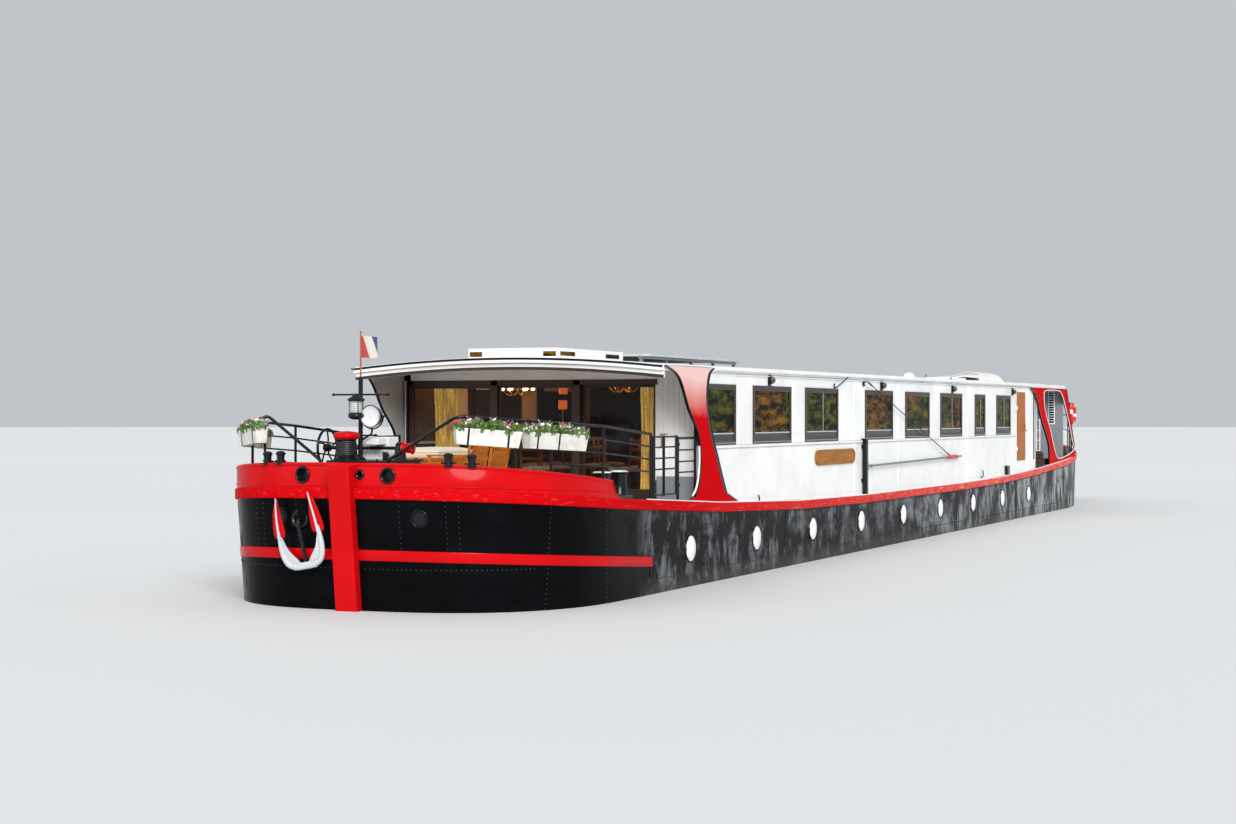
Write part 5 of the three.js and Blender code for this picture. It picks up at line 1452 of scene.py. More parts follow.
class BOAT_OT_portholes(bpy.types.Operator):
    """Round portholes with domed white covers along both sides of the hull"""

    bl_idname = "boat.portholes"
    bl_label = "Portholes"

    def execute(self, context):
        sizes = context.scene.boat_sizes
        radius, h = sizes.porthole / 2, PORTHOLES["h"]
        for name, sign in SIDES:
            out = Vector((0, sign, 0))
            places = [PORTHOLES["first"] + PORTHOLES["pitch"] * i for i in range(sizes.portholes)]
            spots = [at(s, sign * (skin_y(s, h) + 0.002), h) for s in places]
            cover = lathe(
                [(0, -0.01), (radius, -0.01), (radius, 0.012), (radius * 0.93, 0.02), (radius * 0.8, 0.022),
                 (radius * 0.55, 0.036), (radius * 0.25, 0.043), (0, 0.045)], (0, 0, 0), out, 40)
            bolts = [ball(out * 0.02 + Vector((cos(a), 0, sin(a))) * (radius + 0.014), 0.009, 6)
                     for a in turns(8)]
            rim = hoop((0, 0, 0), out, radius + 0.012, 0.015, 40, 8)
            repeated(f"porthole_covers_{name}", [cover], spots, "white_gloss")
            repeated(f"porthole_rims_{name}", [rim, *bolts], spots, "black_gloss")
        return {"FINISHED"}


# House


def slab_with_hole(s_lines, y_lines, low, high, skip):
    """Sheet over a grid of (s, y) cells, with the cells that skip names left open."""
    columns, rows = len(s_lines), len(y_lines)
    points = [at(s, y, surface(s, y)) for surface in (low, high) for s in s_lines for y in y_lines]

    def index(layer, i, j):
        return layer * columns * rows + i * rows + j

    kept = {(i, j) for i in range(columns - 1) for j in range(rows - 1) if not skip(i, j)}
    faces, tones = [], []
    for i, j in kept:
        square = ((i, j), (i + 1, j), (i + 1, j + 1), (i, j + 1))
        faces.append(tuple(index(0, *corner) for corner in reversed(square)))
        faces.append(tuple(index(1, *corner) for corner in square))
        tones += [1, 0]
        for (a, b), near in zip(zip(square, square[1:] + square[:1]),
                                ((i, j - 1), (i + 1, j), (i, j + 1), (i - 1, j))):
            if near not in kept:
                faces.append((index(0, *a), index(0, *b), index(1, *b), index(1, *a)))
                tones.append(1)
    return Shell(points, faces, tones)


class BOAT_OT_house(bpy.types.Operator):
    """Roof, side walls and the fittings on them"""

    bl_idname = "boat.house"
    bl_label = "House"

    def execute(self, context):
        self.make_roof()
        for name, sign in SIDES:
            dress(f"side_wall_{name}", "white_gloss")
            self.make_wall_trim(name, sign)
        self.make_lamps()
        self.make_name_board()
        return {"FINISHED"}

    def make_roof(self):
        start, end, half, lip = HELM_WELL.values()
        s_lines = evenly(ROOF["front"], start, 12) + [27.6, end, 29.5, 30.8, ROOF["end"]]
        y_lines = [-2.42, -2.4, -2.3, -2.0, -1.6, -1.15, -0.7, -0.35, 0.0, 0.35, 0.7, 1.15, 1.6, 2.0, 2.3,
                   2.4, 2.42]

        def ease(y):
            return 0.022 if abs(y) > 2.41 else 0.006 if abs(y) > 2.39 else 0.0

        def inside(i, j):
            across = abs(y_lines[j] + y_lines[j + 1]) / 2 < half
            return s_lines[i] > start - 0.1 and s_lines[i + 1] < end + 0.1 and across

        sheet = slab_with_hole(s_lines, y_lines, lambda s, y: roof_top(s, y) - ROOF["thick"] + ease(y) * 0.4,
                               lambda s, y: roof_top(s, y) - ease(y), inside)
        line = [-2.4, -2.0, -1.2, 0.0, 1.2, 2.0, 2.4]
        beam = cross_plate([[(y, roof_top(4.4, y) - 0.07) for y in line]
                            + [(y, roof_top(4.4, y) - 0.175) for y in reversed(line)]], 4.4, 4.48)
        top = roof_top(27.6, half + lip) + 0.05
        well = [block(s0, s1, y0, y1, top - 0.13, top, 1) for s0, s1, y0, y1 in (
            (start - lip, start, -half - lip, half + lip), (end, end + lip, -half - lip, half + lip),
            (start - lip, end + lip, -half - lip, -half), (start - lip, end + lip, half, half + lip))]
        piece("roof_sheet", [sheet, beam, *well], ["roof_paint", "white_gloss"],
              replaces=["roof"], bevel=0.006, smooth=25)
        front = ROOF["front"]
        line = [k * 2.41 / 8 for k in range(-8, 9)]
        rim = cross_plate([[(y, roof_top(front, y) - 0.005) for y in line]
                           + [(y, roof_top(front, y) - 0.036) for y in reversed(line)]], front - 0.004,
                          front + 0.002)
        piece("roof_front_rim", [rim], ["black_gloss"])
        # Dark brown strip on the foot of the front beam: painted shadow under the roof's front edge
        foot = cross_plate([[(y, roof_top(4.4, y) - 0.135) for y in line]
                            + [(y, roof_top(4.4, y) - 0.177) for y in reversed(line)]], 4.397, 4.402)
        piece("roof_beam_foot", [foot], ["window_brown"])

        gutter = []
        for sign in (1, -1):
            line = [at(s, sign * 2.41, roof_edge(s) - 0.095) for s in (7.3, 14.0, 21.0, 27.6)]
            gutter.append(tube(line, 0.012, 8))
            edge = [at(s, sign * 2.405, roof_edge(s) + 0.004) for s in (4.42, 14.0, 21.0, 32.05)]
            gutter.append(tube(edge, 0.013, 8))
            eave = edge_strip([(s, 2.42) for s in (6.3, 13.0, 20.0, 27.75)], lambda s: [
                (-0.01, roof_edge(s) - 0.045), (0.05, roof_edge(s) - 0.04), (0.055, roof_edge(s) - 0.02),
                (0.045, roof_edge(s) - 0.006), (-0.01, roof_edge(s) + 0.004)])
            gutter += mirrored([eave], sign)
        piece("eaves_beads", gutter, ["white_gloss"])
        lights = [lathe([(0, 0), (0.045, 0), (0.045, -0.012), (0.035, -0.018), (0, -0.018)],
                        at(4.75, y, roof_top(4.75, y) - 0.08), UP, 24) for y in (-1.6, -0.8, 0.0, 0.8, 1.6)]
        piece("ceiling_lights", lights, ["lamp_glow"])

    def make_wall_trim(self, name, sign):
        wide, thick = 0.1, 0.008
        battens = []
        for s in (13.4, 16.25, 21.7):
            battens.append(block(s - wide / 2, s + wide / 2, sign * (WALL_OUT - 0.002),
                                 sign * (WALL_OUT + thick), deck_h(s) + 0.02, roof_edge(s) - 0.09))
        foot = edge_strip([(s, WALL_OUT) for s in (7.35, 11, 14, 17, 20, 23, 26, 28.4)], lambda s: [
            (-0.004, deck_h(s) + 0.001), (0.022, deck_h(s) + 0.001), (0.02, deck_h(s) + 0.012),
            (0.006, deck_h(s) + 0.026), (-0.004, deck_h(s) + 0.028)])
        piece(f"wall_battens_{name}", [*battens, *mirrored([foot], sign)], ["white_gloss"],
              bevel=0.003)

    def make_lamps(self):
        bodies, glasses = [], []
        for sign in (1, -1):
            for s in (8.8, 15.06, 20.32, 25.94):
                h = 2.93
                bodies.append(block(s - 0.06, s + 0.06, sign * (WALL_OUT - 0.002), sign * 2.42, h - 0.09,
                                    h + 0.09))
                spot = at(s, sign * 2.42, h)
                bodies.append(lathe([(0, 0), (0.055, 0), (0.06, 0.01), (0.06, 0.03), (0.05, 0.034),
                                     (0, 0.034)], spot, (0, sign, 0), 28))
                glasses.append(dome(spot + Vector((0, sign * 0.03, 0)), (0, sign, 0), 0.048, 0.05, 24, 5))
                for turn in (0.0, pi / 2):
                    arc = [spot + Vector((sin(turn) * 0.054 * cos(a), sign * (0.03 + 0.056 * sin(a)),
                                          cos(turn) * 0.054 * cos(a))) for a in evenly(0, pi, 10)]
                    bodies.append(tube(arc, 0.004, 6))
        piece("bulkhead_lamps", bodies, ["black_gloss"], bevel=0.004)
        piece("bulkhead_lamp_glasses", glasses, ["amber_glass"])
        black = [block(25.18, 25.42, 2.398, 2.47, 1.04, 1.24)]
        for s, low in ((22.85, 1.04), (8.2, 1.02)):
            hook = rounded([at(s, 2.4, low), at(s, 2.45, low), at(s, 2.455, low + 0.1),
                            at(s - 0.05, 2.455, low + 0.15)], 0.03)
            black.append(tube(hook, 0.012, 10))
        s = 12.18
        stay = [at(s, 2.405, 2.85), at(s, 2.46, 2.87), at(s + 0.62, 2.46, roof_edge(s) - 0.05)]
        black.append(tube(rounded(stay, 0.02), 0.011, 10))
        black.append(block(s - 0.03, s + 0.03, 2.398, 2.412, 2.79, 2.93))
        piece("wall_fittings", black, ["black_gloss"], bevel=0.008)
        spot = at(24.5, 0.35, roof_top(24.5, 0.35))
        aerial = dome(spot - Vector((0, 0, 0.01)), UP, 0.14, 0.13, 36, 10)
        foot = lathe([(0, -0.02), (0.16, -0.02), (0.16, 0.01), (0.14, 0.02), (0, 0.02)],
                     spot, UP, 36)
        piece("aerial_dome", [aerial, foot], ["white_gloss"])

    def make_name_board(self):
        middle_s, middle_h = NAME_BOARD["s"], NAME_BOARD["h"]
        quarter = [(11.1, middle_h), (11.12, 1.61), (11.18, 1.567), (11.27, 1.552)]
        low = quarter + [(2 * middle_s - s, h) for s, h in reversed(quarter)]
        outline = low + [(s, 2 * middle_h - h) for s, h in reversed(low[1:-1])]
        board = side_plate([outline], 2.4002, 2.43)
        piece("name_board", [board], ["board_wood"], bevel=0.006)
        ring = [(mix(middle_s, s, 0.955), mix(middle_h, h, 0.8)) for s, h in outline]
        bead = tube([at(s, 2.431, h) for s, h in ring], 0.007, 8, closed=True)
        screws = [dome(at(s, 2.4295, middle_h), (0, 1, 0), 0.012, 0.006, 12, 3) for s in (11.2, 13.25)]
        piece("name_board_bead", [bead, *screws], ["brass"])


class BOAT_OT_windows(bpy.types.Operator):
    """Side windows: frames, panes, bars and the moulding under them"""

    bl_idname = "boat.windows"
    bl_label = "Windows"

    def execute(self, context):
        for name, sign in SIDES:
            dress(f"windows_{name}", "window_brown")
            frames, panes, rails, lines = [], [], [], []
            for start, end, count in WINDOWS:
                low, high, rim = WINDOW["sill"], WINDOW["head"], WINDOW["frame"]
                outer = rectangle(start - 0.04, end + 0.04, low - 0.035, high + 0.04)
                inner = rectangle(start + rim, end - rim, low + rim, high - rim)
                lips = rectangle(start - 0.005, end + 0.005, low + 0.005, high - 0.005)
                frames.append(side_plate([outer, lips], sign * 2.411, sign * 2.4165))
                frames.append(side_plate([lips, inner], sign * WALL_OUT, sign * 2.4125))
                panes.append(block(start + rim - 0.01, end - rim + 0.01, sign * 2.3795, sign * WALL_OUT,
                                   low + rim - 0.01, high - rim + 0.01))
                sash = low + rim + 0.075
                rails.append(block(start + rim - 0.002, end - rim + 0.002, sign * 2.38, sign * 2.407,
                                   low + rim - 0.002, sash))
                lines.append(block(start + rim, end - rim, sign * 2.384, sign * 2.409, sash, sash + 0.02))
                lines.append(block(start - 0.035, end + 0.035, sign * WALL_OUT, sign * 2.4175, low - 0.012,
                                   low - 0.003))
                if count == 2:
                    middle = mix(start, end, 0.52)
                    rails.append(block(middle - 0.028, middle + 0.028, sign * 2.38, sign * 2.408, sash,
                                       high - rim + 0.002))
                    lines.append(block(middle + 0.018, middle + 0.032, sign * 2.38, sign * 2.41, sash,
                                       high - rim + 0.001))
            piece(f"window_frames_{name}", frames, ["window_brown"], bevel=0.002)
            # The panes are dark glass with a painted reflection of trees
            piece(f"window_panes_{name}", panes, ["dark_pane_painted_reflection"])
            piece(f"window_sashes_{name}", rails, ["black_gloss"], bevel=0.003)
            piece(f"window_lines_{name}", lines, ["light_grey"], bevel=0.002)
            ledge = edge_strip([(s, WALL_OUT) for s in (5.97, 12.0, 19.0, 26.39)],
                               lambda s: [(-0.002, 1.896), (0.016, 1.897), (0.0195, 1.91), (0.0195, 1.935),
                                          (0.016, 1.948), (-0.002, 1.95)])
            piece(f"window_ledge_{name}", mirrored([ledge], sign), ["white_gloss"])
        return {"FINISHED"}


class BOAT_OT_front(bpy.types.Operator):
    """Front wall: brown posts, glazing, grooved boards and the sliding door"""

    bl_idname = "boat.front"
    bl_label = "Front wall"

    def execute(self, context):
        s0 = FRONT_WALL
        foot = deck_h(s0)
        sill = foot + 0.11
        dress("front_wall", "window_brown")
        head = [(-WALL_OUT, 2.9), (WALL_OUT, 2.9)]
        head += [(y, roof_top(s0, y) - 0.082) for y in (2.4, 1.6, 0.8, 0.0, -0.8, -1.6, -2.4)]
        skins = [block(s0 - 0.012, s0 + 0.001, -WALL_OUT, -2.29, foot + 0.004, 3.04),
                 cross_plate([head], s0 - 0.012, s0 + 0.001)]
        piece("front_corner", skins, ["white_gloss"], bevel=0.003)
        posts = [block(s0 - 0.03, s0 + 0.002, y - 0.055, y + 0.055, foot + 0.003, FRONT_HEAD + 0.07)
                 for y in (-2.33 + 0.03, -0.88, 0.46)]
        posts.append(block(s0 - 0.03, s0 + 0.002, -2.33, 1.73, FRONT_HEAD - 0.005, FRONT_HEAD + 0.075))
        posts.append(block(s0 - 0.035, s0 + 0.002, -2.33, 0.51, sill - 0.07, sill + 0.015))
        piece("front_posts", posts, ["window_brown"], bevel=0.004)

        for name, low, high in GLASS:
            a, b = low + 0.0003, high - 0.0003
            bottom, top = sill + 0.0003, FRONT_HEAD - 0.0003
            hole = rectangle(a + 0.045, b - 0.045, bottom + 0.045, top - 0.045)
            rim = cross_plate([rectangle(a, b, bottom, top), hole], s0 + 0.01, s0 + 0.05)
            piece(name + "_frame", [rim], ["window_brown"], bevel=0.003)
            pane = block(s0 + 0.026, s0 + 0.034, a + 0.04, b - 0.04, bottom + 0.04, top - 0.04)
            piece(name + "_pane", [pane], ["clear_pane"], replaces=[name])

        self.make_boards(context.scene.boat_sizes.board, foot)
        self.make_sliding_door()
        return {"FINISHED"}

    def make_boards(self, wide, foot):
        s0 = FRONT_WALL
        low, high, head = 1.735, 2.4, 2.9
        line = [Vector((X(s0) + 0.004, low + (0.5 + k) * wide, 0.0)) for k in range(int((high - low) / wide))]
        section = [(-0.46 * wide, 0.0), (-0.36 * wide, 0.012), (0.36 * wide, 0.012), (0.46 * wide, 0.0)]
        board = prism([section], lambda u, v, w: Vector((v, u, w)), WATERLINE + foot + 0.35, WATERLINE + head)
        repeated("grooved_boards", [board], line, "white_gloss")
        dado = block(s0 - 0.02, s0 + 0.001, 1.72, 2.4, foot + 0.003, foot + 0.36)
        back = block(s0 - 0.003, s0 + 0.001, 1.7, 2.4, foot + 0.3, head)
        piece("front_dado", [dado], ["grey_satin"], bevel=0.004)
        piece("board_backing", [back], ["white_gloss"])
        grip = rounded([at(s0 - 0.01, 1.82, 1.95), at(s0 - 0.06, 1.82, 1.95), at(s0 - 0.06, 1.82, 2.12),
                        at(s0 - 0.01, 1.82, 2.12)], 0.02)
        piece("board_handle", [tube(grip, 0.009, 10)], ["brass"])

    def make_sliding_door(self):
        near = FRONT_WALL + WALL_THICK + 0.006
        far = near + FRONT_DOOR["thick"]
        low = deck_h(far) + 0.11 - FRONT_DOOR["lap"]
        high = FRONT_HEAD + FRONT_DOOR["lap"]
        a, b = FRONT_DOOR["low"] - FRONT_DOOR["lap"], FRONT_DOOR["high"] + FRONT_DOOR["lap"]
        hole = rectangle(a + 0.07, b - 0.07, low + 0.09, high - 0.07)
        leaf = cross_plate([rectangle(a, b, low, high), hole], near, far)
        pull = rounded([at(far - 0.002, a + 0.03, 1.95), at(far + 0.028, a + 0.03, 1.95),
                        at(far + 0.028, a + 0.03, 2.15), at(far - 0.002, a + 0.03, 2.15)], 0.015)
        piece("sliding_door_leaf", [leaf], ["window_brown"], body="front_door",
              replaces=["front_door"], bevel=0.004)
        piece("sliding_door_pull", [tube(pull, 0.008, 10)], ["brass"], body="front_door")
        pane = block(near + 0.017, near + 0.023, a + 0.065, b - 0.065, low + 0.085, high - 0.065)
        piece("sliding_door_pane", [pane], ["clear_pane"], body="front_door")


class BOAT_OT_saloon(bpy.types.Operator):
    """What shows of the saloon through the front glazing"""

    bl_idname = "boat.saloon"
    bl_label = "Saloon"

    def execute(self, context):
        s0, s1 = 6.0, 12.6
        floor = deck_h(12.0) + 0.004
        lining = flat_plate([rectangle(s0, s1, -2.33, 2.33)], floor + 0.1, floor + 0.12)
        piece("saloon_floor", [lining], ["parquet"])
        walls = [block(s1, s1 + 0.03, -2.33, 2.33, floor, 2.95)]
        for sign in (1, -1):
            walls.append(block(s0, s1, sign * 2.325, sign * 2.338, floor, 1.95))
            for start, _, _ in WINDOWS[:3]:
                walls.append(block(start - 0.28, start - 0.02, sign * 2.318, sign * 2.338, 1.95, 2.9))
            for k in range(6):
                s = s0 + 0.3 + k * 1.05
                walls.append(block(s, s + 0.9, sign * 2.315, sign * 2.33, floor + 0.25, 1.8))
        for k in range(6):
            y = -2.1 + k * 0.72
            walls.append(block(s1 - 0.02, s1, y, y + 0.6, floor + 0.3, 2.7))
        piece("saloon_panelling", walls, ["dark_wood"], bevel=0.008)
        ceiling = cross_plate([[(y, roof_top(s0, y) - 0.085) for y in (-2.33, -1.2, 0.0, 1.2, 2.33)]
                               + [(y, roof_top(s0, y) - 0.1) for y in (2.33, 1.2, 0.0, -1.2, -2.33)]], s0, s1)
        piece("saloon_ceiling", [ceiling], ["light_grey"])
        self.make_tables(floor + 0.12)
        self.make_lights(floor + 0.12)
        return {"FINISHED"}

    def make_tables(self, floor):
        wood, seats = [], []
        for s, y in SALOON_TABLES:
            wood.append(lathe([(0, 0.72), (0.5, 0.72), (0.52, 0.735), (0.5, 0.75), (0, 0.75)],
                              at(s, y, floor), UP, 36))
            wood.append(lathe([(0, 0), (0.24, 0), (0.22, 0.03), (0.05, 0.07), (0.035, 0.35), (0.06, 0.7),
                               (0, 0.72)], at(s, y, floor), UP, 20))
            for turn in (0.6, 2.2, 3.8, 5.4):
                place = Matrix.Translation(at(s + 0.72 * cos(turn), y + 0.72 * sin(turn),
                                              floor)) @ Matrix.Rotation(pi - turn, 4, "Z")
                for u, v in ((-0.19, -0.18), (-0.19, 0.18), (0.19, -0.18), (0.19, 0.18)):
                    top = 0.92 if u < 0 else 0.44
                    leg = tube([Vector((u * 1.1, v * 1.1, 0.0)), Vector((u, v, 0.44)),
                                Vector((u * 1.15, v, top))], 0.018, 8)
                    wood.append(leg.moved(place))
                for up in (0.6, 0.74, 0.88):
                    rail = tube([Vector((-0.21, -0.18, up)), Vector((-0.25, 0, up)),
                                 Vector((-0.21, 0.18, up))], 0.022, 8)
                    wood.append(rail.moved(place))
                seat = lathe([(0, 0.42), (0.23, 0.42), (0.25, 0.45), (0.22, 0.48), (0, 0.495)], (0, 0, 0),
                             UP, 20)
                seats.append(seat.moved(place))
        piece("saloon_furniture", wood, ["varnished_wood"])
        piece("saloon_seats", seats, ["cushion_cloth"])

    def make_lights(self, floor):
        stems, shades, hoods = [], [], []
        for s, y, h in SALOON_LAMPS:
            hoods.append(lathe(rectangle(0.055, 0.07, -0.07, 0.07), at(s, y, h), UP, 20, ring=True))
            stems.append(tube([at(s, y, h - 0.07), at(s, y, h - 0.02)], 0.02, 8))
            if h > 2.7:
                stems.append(tube([at(s, y, h), at(s, y, roof_top(s, y) - 0.1)], 0.008, 8))
            else:
                stems.append(tube([at(s, y, floor), at(s, y, h - 0.05)], 0.012, 8))
        for s, y in SALOON_TABLES:
            stems.append(lathe([(0, 0.75), (0.06, 0.75), (0.05, 0.77), (0.012, 0.79), (0.012, 0.98),
                                (0, 0.98)], at(s, y, floor), UP, 16))
            shades.append(lathe([(0.075, 0.97), (0.09, 0.97), (0.055, 1.1), (0.045, 1.1)], at(s, y, floor),
                                UP, 20, ring=True))
        for s, y in SALOON_LIGHTS:
            top = roof_top(s, y) - 0.1
            stems.append(tube([at(s, y, top), at(s, y, top - 0.3)], 0.01, 8))
            for turn in turns(6):
                arm = [at(s, y, top - 0.3), at(s + 0.13 * cos(turn), y + 0.13 * sin(turn), top - 0.36),
                       at(s + 0.24 * cos(turn), y + 0.24 * sin(turn), top - 0.28)]
                stems.append(tube(flowing(arm, 4), 0.007, 6))
                shades.append(ball(arm[2] + Vector((0, 0, 0.03)), 0.032, 12))
        piece("saloon_lamp_stems", stems, ["brass"])
        piece("saloon_lamp_shades", shades, ["lamp_glow"])
        piece("saloon_lamp_hoods", hoods, ["shade_glow"])


def cloth_mesh(name, rows, finish):
    """Open sheet through rows of points with its UV in metres, then its area and height."""
    count = len(rows[0])
    mesh = bpy.data.meshes.new(name)
    points = [Vector(point) for row in rows for point in row]
    faces = [(r * count + i, r * count + i + 1, (r + 1) * count + i + 1, (r + 1) * count + i)
             for r in range(len(rows) - 1) for i in range(count - 1)]
    mesh.from_pydata(points, [], faces)
    across = [0.0]
    middle = rows[len(rows) // 2]
    for a, b in zip(middle, middle[1:]):
        across.append(across[-1] + (Vector(b) - Vector(a)).length)
    down = [0.0]
    for a, b in zip(rows, rows[1:]):
        down.append(down[-1] + (Vector(b[0]) - Vector(a[0])).length)
    layer = mesh.uv_layers.new(name="UVMap")
    for polygon in mesh.polygons:
        for i in polygon.loop_indices:
            row, column = divmod(mesh.loops[i].vertex_index, count)
            layer.data[i].uv = (across[column], down[row])
    mesh.materials.append(FINISHES[finish])
    mesh.shade_smooth()
    area = sum(polygon.area for polygon in mesh.polygons)
    return mesh, area, down[-1]


class BOAT_OT_curtains(bpy.types.Operator):
    """Gold curtains gathered in even pleats inside the front wall"""

    bl_idname = "boat.curtains"
    bl_label = "Curtains"

    def execute(self, context):
        for name, low, high, folds in (("starboard", -2.02, -1.56, 6), ("port", 1.37, 1.67, 4)):
            s = FRONT_WALL + WALL_THICK + 0.155
            foot, top = deck_h(s) + 0.15, roof_edge(s) - 0.12
            rows = []
            for r in range(25):
                share = r / 24
                h = mix(foot, top, share)
                deep = mix(0.036, 0.02, share)
                waist = 1 - 0.1 * sin(pi * share)
                row = []
                for i in range(folds * 12 + 1):
                    t = i / (folds * 12)
                    turn = 2 * pi * folds * t
                    sway = 0.006 * sin(3 * turn * 0.31 + share * 5)
                    row.append(at(s + deep * sin(turn) + sway,
                                  mix(low, high, 0.5 + (t - 0.5) * waist) + 0.006 * sin(2 * turn), h))
                rows.append(row)
            # The cloth's finish glows faintly: painted light
            mesh, area, _ = cloth_mesh(f"curtain_cloth_{name}", rows, "curtain_gold_painted_glow")
            cloth = fitted(add_object(f"curtain_cloth_{name}", mesh), "boat",
                           [f"curtain_{name}"])
            rod = tube([at(s, low - 0.05, top + 0.01), at(s, high + 0.05, top + 0.01)], 0.012, 10)
            rail = piece(f"curtain_rod_{name}", [rod], ["brass"])
        return {"FINISHED"}


def foot_line(start, end):
    """Foot of a panel on the deck."""
    return [(s, deck_h(s) + 0.001) for s in evenly(start, end, 10)]


class BOAT_OT_side_panels(bpy.types.Operator):
    """Curved red panels outside the walls, with black edges and pale inner faces"""

    bl_idname = "boat.side_panels"
    bl_label = "Side panels"

    def execute(self, context):
        front_fore, front_aft = flowing(FRONT_PANEL_FORE), flowing(FRONT_PANEL_AFT)
        aft_fore, aft_end = flowing(AFT_PANEL_FORE), flowing(AFT_PANEL_END)
        front_foot = foot_line(5.25, 7.32)
        fore = front_fore + front_foot + front_aft
        aft = aft_fore + foot_line(29.93, 33.25) + aft_end
        hole = flowing(AFT_PANEL_HOLE, closed=True)
        trim = flowing(((5.66, 1.95), (5.672, 1.75), (5.63, 1.52), (5.53, 1.34), (5.4, 1.255)))
        for name, sign in SIDES:
            def edge_line(points, under, radius, closed=False):
                line = [at(s, sign * (PANEL["outer"] - under), h) for s, h in points]
                return tube(line, radius, 8, closed=closed)

            for panel, loops in (("front_panel", [fore]), ("aft_panel", [aft, hole])):
                # The red of the forward panels carries a painted sheen on its upper part
                plate = side_plate(loops, sign * PANEL["inner"], sign * PANEL["outer"], (1, 0, 2))
                piece(f"{panel}_{name}_plate", [plate], ["panel_red_painted_sheen", "light_grey", "black_gloss"],
                      replaces=[f"{panel}_{name}"], smooth=20)
            black = [edge_line(line, 0.002, 0.0125) for line in (front_fore, front_aft, aft_fore, aft_end)]
            # Flat black band beside an edge: its line and its width, negative towards the bow
            for border, wide in (([front_foot[-1]] + front_aft, -0.08), (aft_fore, 0.05)):
                band = border + [(s + wide, h) for s, h in reversed(border)]
                black.append(side_plate([band], sign * (PANEL["outer"] - 0.001),
                                        sign * (PANEL["outer"] + 0.0025)))
            piece(f"panel_edges_{name}", black, ["black_gloss"])
            piece(f"panel_foot_trim_{name}", [edge_line(trim, 0.012, 0.014)], ["white_gloss"])
            piece(f"panel_opening_edge_{name}", [edge_line(hole, 0.003, 0.012, closed=True)], ["white_gloss"])
        return {"FINISHED"}


def door_knob(place, way):
    profile = [(0, 0), (0.022, 0), (0.022, 0.006), (0.008, 0.01), (0.008, 0.03), (0.022, 0.036),
               (0.024, 0.048), (0, 0.055)]
    return lathe(profile, place, way, 20)


class BOAT_OT_doors(bpy.types.Operator):
    """Wooden side doors and the aft house with its door"""

    bl_idname = "boat.doors"
    bl_label = "Doors"

    def execute(self, context):
        for name, sign in SIDES:
            body = f"side_door_{name}"
            dress(body, "upright_wood")
            face = sign * WALL_OUT
            trim = []
            start, end, low, high = SIDE_DOOR.values()
            for a, b, c, d in ((start + 0.07, end - 0.012, high - 0.1, high - 0.01),
                               (start + 0.07, end - 0.012, low + 0.01, low + 0.14),
                               (start + 0.07, start + 0.16, low + 0.14, high - 0.1),
                               (end - 0.1, end - 0.012, low + 0.14, high - 0.1)):
                trim.append(block(a, b, face - sign * 0.001, face + sign * 0.008, c, d))
            for k in range(6):
                s = start + 0.165 + k * 0.106
                trim.append(block(s, s + 0.1, face - sign * 0.001, face + sign * 0.004, low + 0.145,
                                  high - 0.105))
            piece(f"{body}_framing", trim, ["upright_wood"], body=body, bevel=0.003)
            piece(f"{body}_knob", [door_knob(at(end - 0.05, face, 2.03), (0, sign, 0))], ["brass"], body=body)
        self.make_aft_house()
        return {"FINISHED"}

    def make_aft_house(self):
        dress("aft_house", "grey_satin")
        dress("aft_door", "upright_wood")
        face = AFT_WALL + WALL_THICK
        low = deck_h(face) + 0.16
        panels = []
        for a, b, c, d in ((-0.39, 0.33, 2.83, 2.94), (-0.39, 0.33, low, low + 0.14),
                           (-0.39, -0.3, low + 0.14, 2.83), (0.24, 0.33, low + 0.14, 2.83),
                           (-0.3, 0.24, 2.1, 2.2)):
            panels.append(block(face - 0.001, face + 0.008, a, b, c, d))
        for k in range(5):
            y = -0.297 + k * 0.108
            panels.append(block(face - 0.001, face + 0.004, y, y + 0.102, low + 0.145, 2.095))
        piece("aft_door_framing", panels, ["upright_wood"], body="aft_door",
              bevel=0.003)
        piece("aft_door_pane", [block(face - 0.001, face + 0.003, -0.26, 0.2, 2.24, 2.79)], ["dark_pane_painted_reflection"],
              body="aft_door")
        piece("aft_door_knob", [door_knob(at(face, -0.345, 2.15), (-1, 0, 0))], ["brass"], body="aft_door")
        louvres, frames = [], []
        for sign in (1, -1):
            y = sign * 1.75
            for s in (28.9, 30.6):
                loops = [rectangle(s, s + 0.8, 1.6, 2.3), rectangle(s + 0.03, s + 0.77, 1.63, 2.27)]
                frames.append(side_plate(loops, y - sign * 0.001, y + sign * 0.03))
                louvres += [at(s + 0.4, y + sign * 0.006, 1.66 + 0.06 * k) for k in range(10)]
        piece("vent_frames", frames, ["grey_satin"], bevel=0.004)
        post = [block(28.27, 28.35, sign * 2.399, sign * 2.412, 1.33, 2.98) for sign in (1, -1)]
        piece("house_end_strips", post, ["dark_wood"], bevel=0.003)
        self.make_end_louvres()
        slat = prism([[(-0.006, 0.0), (0.006, 0.0), (0.02, 0.04), (0.01, 0.04)]],
                     lambda v, w, u: Vector((u, v, w)), -0.37, 0.37)
        repeated("vent_slats", [slat], louvres, "light_grey")

    def make_end_louvres(self):
        """Dark slats in a pale strip on the fore face of the end wall, on both sides."""
        face = AFT_WALL
        strips = [block(face - 0.008, face + 0.001, *sorted((sign * 2.03, sign * 2.2)), 2.16, 3.03)
                  for sign in (1, -1)]
        piece("louvre_strips", strips, ["white_gloss"], bevel=0.003)
        slat = prism([[(0.0, 0.0), (0.0, 0.04), (0.012, 0.03), (0.012, 0.0)]],
                     lambda u, w, v: Vector((u, v, w)), -0.062, 0.062)
        spots = [at(face - 0.009, sign * 2.115, 2.2 + 0.062 * k) for sign in (1, -1) for k in range(13)]
        repeated("end_louvres", [slat], spots, "black_gloss")


# Bow gear


